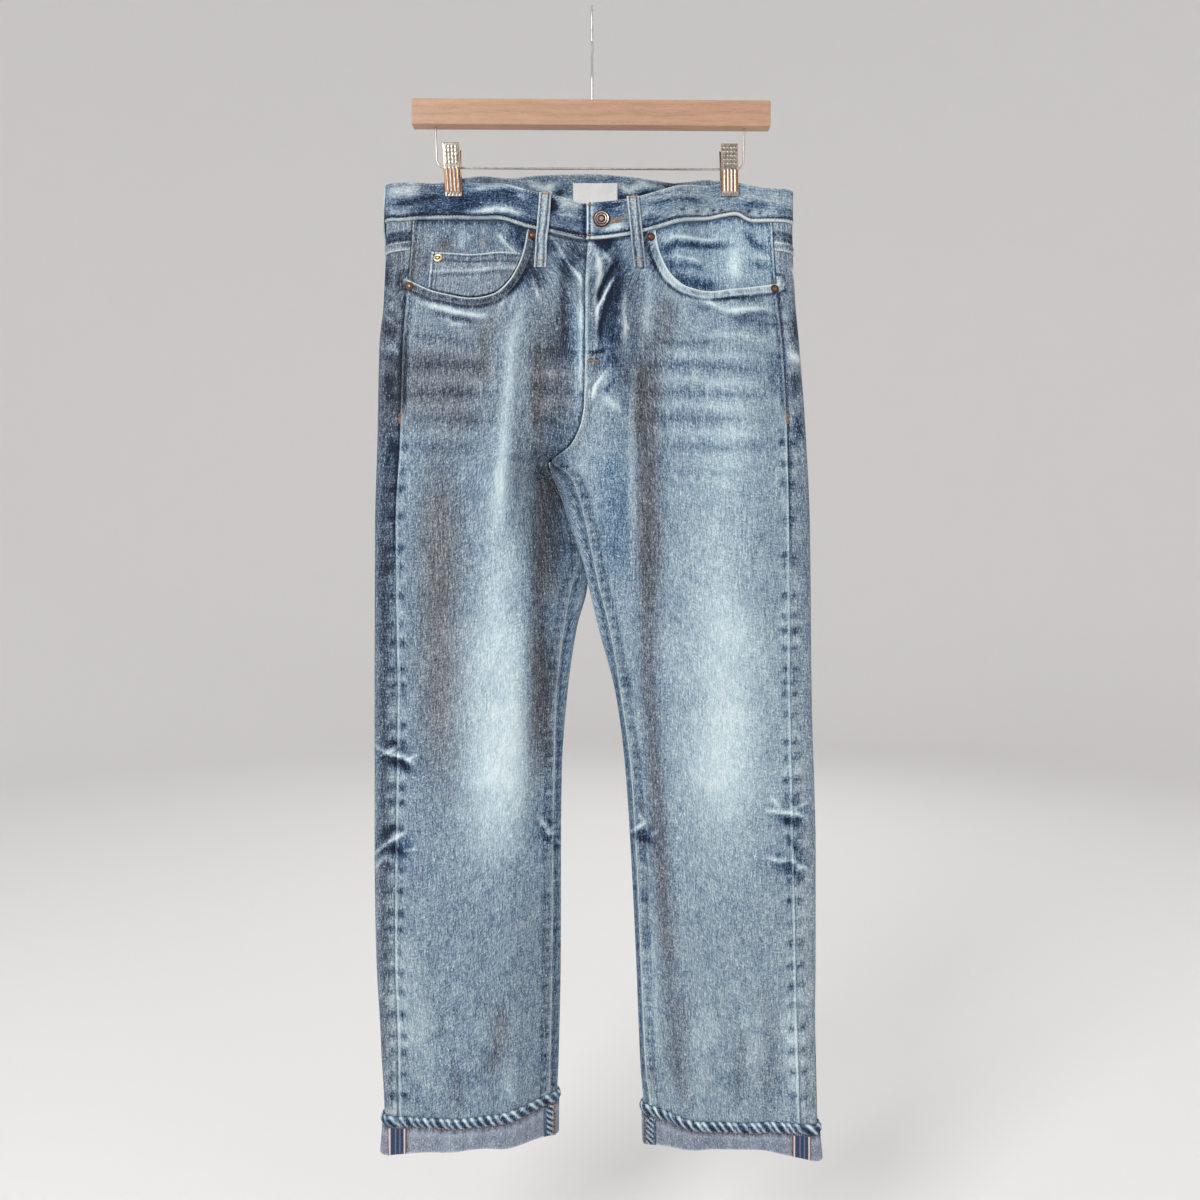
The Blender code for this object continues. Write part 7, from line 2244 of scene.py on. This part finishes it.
def rivets():
    """Four copper rivets at the pocket corners and a brass one on the coin pocket."""
    profile = [(0, 0), (1.0, 0), (1.02, 0.4), (0.96, 0.85), (0.80, 1.05), (0.66, 0.95), (0.56, 0.75),
               (0.50, 0.80), (0.48, 1.35), (0.42, 1.65), (0.28, 1.8), (0, 1.85)]
    rings = [0] * 6 + [1] * 5
    for name, (x, z) in RIVETS.items():
        seat, axis = seat_of(RIGHT if x < 0 else LEFT, x, z, SEAM_GAP + 0.2)
        made = turned(f"{name}_stud", seat, axis, profile, ("old copper", "bright copper"), rings, 32, RIVET_RADIUS)
        dress(made, [name])
    x, z, radius = COIN_RIVET
    seat, axis = seat_of(RIGHT, x, z, UNDER + COIN_CLEAR + COIN_THICK + SEAM_GAP)
    profile = [(0, 0), (0.98, 0), (1.0, 0.5), (0.92, 1.0), (0.78, 1.25), (0.62, 1.2), (0.50, 0.95), (0.42, 0.85),
               (0.34, 0.9), (0.30, 1.3), (0.20, 1.5), (0, 1.55)]
    rings = [0] * 5 + [1] * 3 + [0] * 3
    made = turned("rivet_coin_stud", seat, axis, profile, ("brass", "old copper"), rings, 36, radius)
    dress(made, ["rivet_coin"])


# ---------------------------------------------------------------- hanger


def arc(centre, radius, start, stop, count):
    """Points in a plane on a circle, from one angle to another, in degrees."""
    angles = np.radians(np.linspace(start, stop, count))
    return [(centre[0] + radius * math.cos(a), centre[1] + radius * math.sin(a)) for a in angles]


def bar_face_z(x, top):
    """Height of the bar's top or underside over x."""
    middle = BAR_TOP_Z - BAR_HEIGHT / 2
    return middle + (BAR_HEIGHT / 2 if top else -BAR_HEIGHT / 2) - math.tan(BAR_TILT) * (x - sum(BAR_X) / 2)


def tube(path, radius, count=16):
    """Points and faces of a round wire with domed ends."""
    path = np.array(path, float)
    along = np.gradient(path, axis=0)
    along /= np.linalg.norm(along, axis=1, keepdims=True)
    side = np.eye(3)[int(np.argmin(np.ptp(path, axis=0)))]
    angles = np.linspace(0, 2 * math.pi, count, endpoint=False)
    last = len(path) - 1
    sections = [(0, -math.cos(t), math.sin(t)) for t in np.linspace(0.25, math.pi / 2, 4)[:-1]]
    sections += [(k, 0, 1) for k in range(len(path))]
    sections += [(last, math.cos(t), math.sin(t)) for t in np.linspace(math.pi / 2, 0.25, 4)[1:]]
    rings = []
    for k, ahead, wide in sections:
        ring = np.cos(angles)[:, None] * side + np.sin(angles)[:, None] * np.cross(along[k], side)
        rings.append(path[k] + along[k] * ahead * radius + ring * radius * wide)
    faces = grid_faces(len(rings), count, closed=True).tolist()
    faces += [range(count)[::-1], range((len(rings) - 1) * count, len(rings) * count)]
    return np.concatenate(rings), faces


def hanger_hook():
    """A stem that swings back, over the bearing point and down in front."""
    top = HOOK_WIRE - HOOK_RADIUS
    stem = [(0, bar_face_z(0, True) + SEAM_GAP + HOOK_WIRE), (0, -70), (2.5, -60), (8.5, -48), (14.5, -38)]
    over = arc((0, top), HOOK_RADIUS, -25, 180, 25)
    tip = [(-HOOK_RADIUS, (top + HOOK_TIP_Z) / 2), (-HOOK_RADIUS - 0.5, HOOK_TIP_Z + HOOK_WIRE)]
    path = resample([(0, y, z) for y, z in stem + over + tip], np.linspace(0, 1, 110))
    dress(outward_mesh("hook_wire", *tube(path, HOOK_WIRE), ["hook steel"]), ["hanger_hook"])
    seat, axis = np.array([0, 0, bar_face_z(0, True) - 0.2]), np.array([0.0, 0.001, 1.0])
    profile = [(0, 0), (3.4, 0), (3.6, 0.5), (3.3, 1.1), (2.3, 1.4), (0, 1.5)]
    dress(turned("hook_collar", seat, axis, profile, ("hook steel",), [0] * 5, 28), [])


def clip_wire():
    """Bent wire whose two ends stand in the bar and whose low run carries the clips."""
    (x0, x1), (z0, z1), r = CLIP_WIRE_X, CLIP_WIRE_Z, CLIP_CORNER
    path = [(x0 - 1.2, bar_face_z(x0, False) + 0.4)] + arc((x0 + r, z0 + r), r, 180, 270, 12)
    path += [(x0 + (x1 - x0) * s, z0 + (z1 - z0) * s) for s in (0.25, 0.5, 0.75)]
    path += arc((x1 - r, z1 + r), r, 270, 360, 12) + [(x1 + 0.6, bar_face_z(x1, False) + 0.4)]
    made = outward_mesh("clip_wire", *tube([(x, 0, z) for x, z in path], CLIP_WIRE), ["wire steel"])
    dress(made, ["hanger_wire"])


def clip_wire_z(x):
    """Height of the clip wire's low run."""
    (x0, x1), (z0, z1) = CLIP_WIRE_X, CLIP_WIRE_Z
    return z0 + (z1 - z0) * (x - x0) / (x1 - x0)


def jaw_place(side, z):
    """The middle of a clip's jaw at a height, and how far its plate stands from the wire's plane."""
    pivot = clip_wire_z(CLIP_X[side])
    lean = (z - CLIP_FOOT_Z) / (pivot + CLIP_TOP - CLIP_FOOT_Z)
    return CLIP_X[side] + CLIP_SWAY[side] * (pivot - z), CLIP_GRIP + (CLIP_SPREAD - CLIP_GRIP) * lean


def clip_plate(name, side, face, ribs_count):
    """A pressed plate with rows of bumps over the spring and ribs on its gripping foot."""
    pivot = clip_wire_z(CLIP_X[side])
    top, foot, half = pivot + CLIP_TOP, CLIP_FOOT_Z, CLIP_WIDTH / 2
    across = np.concatenate([[-half], np.linspace(-half + 0.35, half - 0.35, 46), [half]])
    u, z = np.meshgrid(across, np.linspace(top, foot, 72))
    rib_zone = band(pivot - 3 - z, 0, pivot - 3 - foot - 3.5, 2.5)
    ribs, dots, bumps = np.zeros(u.shape), np.zeros(u.shape), np.zeros(u.shape)
    for k in range(ribs_count):
        at = (k + 0.5) / ribs_count * (CLIP_WIDTH - 2.4) - half + 1.2
        ribs += bump(u, at, 0.95) * rib_zone
        dots += np.exp(-(((u - at) / 0.8) ** 2 + ((z - foot - 2.0) / 0.8) ** 2))
    for row in np.linspace(top - 4.2, pivot + 2.6, 5):
        for at in (-5.25, -1.75, 1.75, 5.25):
            bumps += np.exp(-(((u - at) / 0.95) ** 2 + ((z - row) / 0.95) ** 2))
    pressed = 0.75 * ribs + 0.55 * bumps - 0.35 * dots - 0.25 * bump(np.abs(u), half, 0.5)
    middle, near = jaw_place(side, z)
    outer = np.stack([middle + u, face * (near + CLIP_PLATE * 0.8 + pressed), z], axis=-1)
    inner = np.stack([middle + u * 0.93, face * (near + 0.1), z], axis=-1)
    made = make_cloth(f"{name}_plate", outer, inner, unrolled(outer), np.clip(ribs, 0, 1), np.zeros(u.shape),
                      "bright plate", "copper tint")
    # The valleys between the ribs, and the dots, take the darker finish.
    valley = (ribs < 0.45) & (rib_zone > 0.6) | (dots > 0.5)
    tinted = valley[:-1, :-1] & valley[1:, 1:]
    numbers = np.zeros(len(made.data.polygons), np.int32)
    made.data.polygons.foreach_get("material_index", numbers)
    numbers[: tinted.size] = tinted.ravel()
    made.data.polygons.foreach_set("material_index", numbers)
    return made


def clip_flanges(name, side, face):
    """The plate's two rolled sides, deepest where they hold the wire."""
    pivot = clip_wire_z(CLIP_X[side])
    top, foot, half = pivot + CLIP_TOP, CLIP_FOOT_Z, CLIP_WIDTH / 2
    levels, depths = zip((top, 1.6), (pivot + 12, 3.4), (pivot, 4.6), (pivot - 8, 4.4), (pivot - 11.5, 0.9),
                         (foot + 2, 0.5), (foot, 0.05))
    heights = np.linspace(top, foot, 40)
    points, faces = [], []
    for edge in (-1, 1):
        start = len(points)
        for z, deep in zip(heights, np.interp(-heights, [-level for level in levels], depths)):
            middle, near = jaw_place(side, z)
            for u, y in ((half - 0.9, near - deep), (half, near - deep), (half, near + CLIP_PLATE * 0.8),
                         (half - 0.9, near + CLIP_PLATE * 0.5)):
                points.append((middle + edge * u, face * y, z))
        faces += (grid_faces(len(heights), 4, closed=True) + start).tolist()
        faces += [range(start, start + 4), range(len(points) - 4, len(points))]
    return outward_mesh(f"{name}_flanges", points, faces, ["copper tint"], flat=[True] * len(faces))


def clip_jaw(side, face, ribs_count):
    """One jaw of a clip: its pressed plate and its rolled sides."""
    name = f"clip_{side}_{'front' if face == FRONT else 'back'}_jaw"
    plate, flanges = clip_plate(name, side, face, ribs_count), clip_flanges(name, side, face)
    dress(plate, [name])
    dress(flanges, [])


def clip_spring(side):
    """A coil spring on the wire, its two legs pressing the jaws' tops apart."""
    x0 = CLIP_X[side]
    pivot = clip_wire_z(x0)
    turns, radius, wire, count = 4.5, 3.0, 0.55, 8
    angle = np.linspace(0, 2 * math.pi * turns, 150)
    coil = np.stack([x0 - 4.2 + 8.4 * np.linspace(0, 1, 150), radius * np.cos(angle),
                     pivot + radius * np.sin(angle)], axis=1)
    first = coil[0] + np.array([[0, 2.0, 12.0], [0, 1.2, 6.0]])
    last = coil[-1] + np.array([[0, -1.2, 6.0], [0, -2.0, 12.0]])
    path = resample(np.concatenate([first, coil[::3], last]), np.linspace(0, 1, 170))
    along = np.gradient(path, axis=0)
    along /= np.linalg.norm(along, axis=1, keepdims=True)
    angles = np.linspace(0, 2 * math.pi, count, endpoint=False)
    points, side_on = [], np.array([1.0, 0.0, 0.0])
    for point, ahead in zip(path, along):
        side_on = side_on - ahead * np.dot(side_on, ahead)
        side_on /= np.linalg.norm(side_on)
        other = np.cross(ahead, side_on)
        points += list(point + wire * (np.cos(angles)[:, None] * side_on + np.sin(angles)[:, None] * other))
    faces = grid_faces(len(path), count, closed=True).tolist()
    faces += [range(count), range(len(points) - count, len(points))]
    dress(outward_mesh(f"clip_{side}_coil", points, faces, ["bright plate"]), [f"clip_{side}_spring"])


# ---------------------------------------------------------------- stage


def floor(settings):
    """A pale floor that curves up into a pale wall all round."""
    radius, rise, height, count = 5.2, 1.6, 7.0, 96
    profile = [(0.02, 0.0), (radius - rise, 0.0)]
    profile += [(radius - rise + rise * math.sin(a), rise * (1 - math.cos(a)))
                for a in np.linspace(0.1, math.pi / 2, 14)]
    profile += [(radius, height)]
    angles = np.linspace(0, 2 * math.pi, count, endpoint=False)
    points = [(r * math.cos(a), r * math.sin(a), z + settings.floor_z) for r, z in profile for a in angles]
    faces = grid_faces(len(profile), count, closed=True).tolist() + [range(count)[::-1]]
    look = Finish("pale floor", roughness=0.95).finish(linear(np.array(settings.floor_colour) * 255))
    make_mesh("floor", np.array(points) / MM, faces, [look])


def lights(settings):
    """Pale light from all round, a soft key light at the upper left and two fill lights."""
    world = bpy.data.worlds.new("pale room")
    bpy.context.scene.world = world
    world.use_nodes = True
    background = world.node_tree.nodes["Background"]
    background.inputs["Color"].default_value = (1.0, 1.0, 1.0, 1.0)
    background.inputs["Strength"].default_value = settings.room_light
    aim = Vector((0.0, 0.0, -0.6))
    for name, place, size, power in (
        ("key light", (-1.5, -2.0, 0.7), 1.1, settings.key_light),
        ("fill light", (2.0, -1.6, -0.2), 1.8, settings.fill_light),
        ("back light", (0.6, 2.2, 0.9), 1.6, settings.fill_light),
    ):
        lamp = bpy.data.lights.new(name, "AREA")
        lamp.shape, lamp.size, lamp.energy = "SQUARE", size, power
        made = bpy.data.objects.new(name, lamp)
        made.location = place
        made.rotation_euler = (aim - Vector(place)).to_track_quat("-Z", "Y").to_euler()
        bpy.context.scene.collection.objects.link(made)


def camera(settings):
    """A level camera in front of the jeans."""
    scene = bpy.context.scene
    view = bpy.data.cameras.new("view")
    view.lens, view.sensor_width, view.sensor_height = settings.lens, 36.0, 36.0
    view.sensor_fit = "HORIZONTAL"
    made = bpy.data.objects.new("view", view)
    made.location = settings.camera_place
    made.rotation_euler = (math.pi / 2, 0, 0)
    scene.collection.objects.link(made)
    scene.camera = made
    scene.view_settings.view_transform = "Standard"


# ---------------------------------------------------------------- add-on


class JeansDenimSettings(PropertyGroup):
    relief: FloatProperty(name="Weave relief", description="Strength of the twill's relief",
                          default=0.9, min=0, max=2, subtype="FACTOR")
    streaks: FloatProperty(name="Warp streaks", description="Strength of the light and dark warp streaks",
                           default=1.0, min=0, max=2, subtype="FACTOR")
    grain: FloatProperty(name="Grain", description="Strength of the fine mottling", default=1.0, min=0, max=2,
                         subtype="FACTOR")
    cloud: FloatProperty(name="Clouding", description="Strength of the wash's broad unevenness",
                         default=1.0, min=0, max=2, subtype="FACTOR")


class JeansThreadSettings(PropertyGroup):
    pitch: FloatProperty(name="Stitch pitch", description="Distance between stitches in millimetres",
                         default=3.1, min=1.5, max=8)
    length: FloatProperty(name="Stitch length", description="Length of each stitch in millimetres",
                          default=2.3, min=0.5, max=6)
    thickness: FloatProperty(name="Thread thickness", description="Thickness of the thread in millimetres",
                             default=0.75, min=0.2, max=2)
    seed: IntProperty(name="Seed", description="Seed of the stitches' small differences", default=7, min=0)


class JeansHangerSettings(PropertyGroup):
    bar_colour: FloatVectorProperty(name="Bar colour", description="Colour of the wooden bar",
                                    default=(0.73, 0.575, 0.47), size=3, min=0, max=1, subtype="COLOR_GAMMA")
    clip_ribs: IntProperty(name="Clip ribs", description="Pressed ribs on each clip's foot", default=4,
                           min=2, max=8)


class JeansStageSettings(PropertyGroup):
    floor_z: FloatProperty(name="Floor height", description="Height of the floor", default=-1.34, unit="LENGTH")
    floor_colour: FloatVectorProperty(name="Floor colour", description="Colour of the pale floor",
                                      default=(0.96, 0.955, 0.95), size=3, min=0, max=1,
                                      subtype="COLOR_GAMMA")
    room_light: FloatProperty(name="Room light", description="Strength of the light from all round",
                              default=0.62, min=0, max=5)
    key_light: FloatProperty(name="Key light", description="Power of the soft light at the upper left",
                             default=46.0, min=0, unit="POWER")
    fill_light: FloatProperty(name="Fill light", description="Power of the two soft fill lights",
                              default=14.0, min=0, unit="POWER")
    lens: FloatProperty(name="Lens", description="Focal length of the camera", default=27.03, min=10, max=200)
    camera_place: FloatVectorProperty(name="Camera place", description="Where the camera stands",
                                      default=(0.008, -0.928, -0.606), size=3, subtype="TRANSLATION",
                                      unit="LENGTH")


class JEANS_OT_panels(Operator):
    """Builds the four leg panels and the seam allowances behind their seams"""

    bl_idname = "jeans.panels"
    bl_label = "Leg panels"

    def execute(self, context):
        for side in (RIGHT, LEFT):
            front_panel(side)
            back_panel(side)
        seam_tapes()
        return {"FINISHED"}


class JEANS_OT_yokes(Operator):
    """Builds the two back yokes"""

    bl_idname = "jeans.yokes"
    bl_label = "Yokes"

    def execute(self, context):
        yoke(RIGHT)
        yoke(LEFT)
        return {"FINISHED"}


class JEANS_OT_waistband(Operator):
    """Builds the waistband and the label inside it"""

    bl_idname = "jeans.waistband"
    bl_label = "Waistband and label"

    def execute(self, context):
        waistband()
        woven_label_piece()
        return {"FINISHED"}


class JEANS_OT_belt_loops(Operator):
    """Builds the five belt loops"""

    bl_idname = "jeans.belt_loops"
    bl_label = "Belt loops"

    def execute(self, context):
        belt_loops()
        return {"FINISHED"}


class JEANS_OT_front_pockets(Operator):
    """Builds the front pockets' facings and the coin pocket"""

    bl_idname = "jeans.front_pockets"
    bl_label = "Front pockets"

    def execute(self, context):
        pocket_facing(RIGHT)
        pocket_facing(LEFT)
        coin_pocket()
        return {"FINISHED"}


class JEANS_OT_back_pockets(Operator):
    """Builds the two plain back pockets"""

    bl_idname = "jeans.back_pockets"
    bl_label = "Back pockets"

    def execute(self, context):
        back_pocket(RIGHT)
        back_pocket(LEFT)
        return {"FINISHED"}


class JEANS_OT_fly(Operator):
    """Builds the fly's underlap"""

    bl_idname = "jeans.fly"
    bl_label = "Fly shield"

    def execute(self, context):
        fly_shield()
        return {"FINISHED"}


class JEANS_OT_cuffs(Operator):
    """Builds the turned-up cuffs, their roped hems and the seam strips on them"""

    bl_idname = "jeans.cuffs"
    bl_label = "Cuffs"

    def execute(self, context):
        for side in (RIGHT, LEFT):
            cuff_wall(side)
            roped_hem(side)
            cuff_strip(f"selvedge_{side}", side, side_seam(side, STRIP_Z), SELVEDGE_WIDTH)
            cuff_strip(f"inseam_allowance_{side}", side, inner_seam(side, STRIP_Z) + SIGN[side] * 2,
                       ALLOWANCE_WIDTH)
        return {"FINISHED"}


class JEANS_OT_stitching(Operator):
    """Sews all lines of stitches and the bar tacks"""

    bl_idname = "jeans.stitching"
    bl_label = "Stitching"

    def execute(self, context):
        given = context.scene.jeans_thread
        size = (given.length, given.thickness, given.thickness * 0.8)
        for number, (name, sewing) in enumerate(stitch_lines().items()):
            sewing.sew(f"stitches_{name}", f"{name} thread", "denim", given.pitch, size, given.seed + number)
        short, long = tacks()
        short.sew("bar_tacks", "gold thread", "denim", 0.62, (0.55, 2.1, 0.6), given.seed + 9)
        long.sew("side_tacks", "gold thread", "denim", 0.7, (0.6, 4.6, 0.7), given.seed + 10)
        return {"FINISHED"}


class JEANS_OT_hardware(Operator):
    """Builds the waist button and the rivets"""

    bl_idname = "jeans.hardware"
    bl_label = "Button and rivets"

    def execute(self, context):
        waist_button()
        rivets()
        return {"FINISHED"}


class JEANS_OT_hanger(Operator):
    """Finishes the wooden bar and builds the wire hook and the clip wire"""

    bl_idname = "jeans.hanger"
    bl_label = "Hanger"

    def execute(self, context):
        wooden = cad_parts["hanger_bar"]
        for socket in wooden.material_slots:
            socket.material = finish("beech")
        hanger_hook()
        clip_wire()
        return {"FINISHED"}


class JEANS_OT_clips(Operator):
    """Builds the two metal clips and their springs"""

    bl_idname = "jeans.clips"
    bl_label = "Clips"

    def execute(self, context):
        for side in (RIGHT, LEFT):
            clip_jaw(side, FRONT, context.scene.jeans_hanger.clip_ribs)
            clip_jaw(side, BACK, context.scene.jeans_hanger.clip_ribs)
            clip_spring(side)
        return {"FINISHED"}


class JEANS_OT_stage(Operator):
    """Builds the floor, the lights and the camera"""

    bl_idname = "jeans.stage"
    bl_label = "Stage"

    def execute(self, context):
        settings = context.scene.jeans_stage
        floor(settings)
        lights(settings)
        camera(settings)
        return {"FINISHED"}


OPERATORS = (
    JEANS_OT_panels, JEANS_OT_yokes, JEANS_OT_waistband, JEANS_OT_belt_loops, JEANS_OT_front_pockets,
    JEANS_OT_back_pockets, JEANS_OT_fly, JEANS_OT_cuffs, JEANS_OT_stitching, JEANS_OT_hardware,
    JEANS_OT_hanger, JEANS_OT_clips, JEANS_OT_stage,
)
SETTINGS = {
    "jeans_denim": JeansDenimSettings,
    "jeans_thread": JeansThreadSettings,
    "jeans_hanger": JeansHangerSettings,
    "jeans_stage": JeansStageSettings,
}


class JEANS_PT_sidebar(Panel):
    """Lists the jeans' settings and the buttons that build them"""

    bl_idname = "JEANS_PT_sidebar"
    bl_label = "Jeans on a hanger"
    bl_space_type = "VIEW_3D"
    bl_region_type = "UI"
    bl_category = "Jeans"

    def draw(self, context):
        for name in SETTINGS:
            box = self.layout.box()
            for key in getattr(context.scene, name).__annotations__:
                box.prop(getattr(context.scene, name), key)
        for operator in OPERATORS:
            self.layout.operator(operator.bl_idname)


def register():
    for settings in SETTINGS.values():
        bpy.utils.register_class(settings)
    for name, settings in SETTINGS.items():
        setattr(bpy.types.Scene, name, PointerProperty(type=settings))
    for operator in OPERATORS:
        bpy.utils.register_class(operator)
    bpy.utils.register_class(JEANS_PT_sidebar)


def unregister():
    bpy.utils.unregister_class(JEANS_PT_sidebar)
    for operator in reversed(OPERATORS):
        bpy.utils.unregister_class(operator)
    for name, settings in SETTINGS.items():
        delattr(bpy.types.Scene, name)
        bpy.utils.unregister_class(settings)


def main():
    register()
    for operator in OPERATORS:
        group, name = operator.bl_idname.split(".")
        getattr(getattr(bpy.ops, group), name)()


if __name__ == "__main__":
    main()
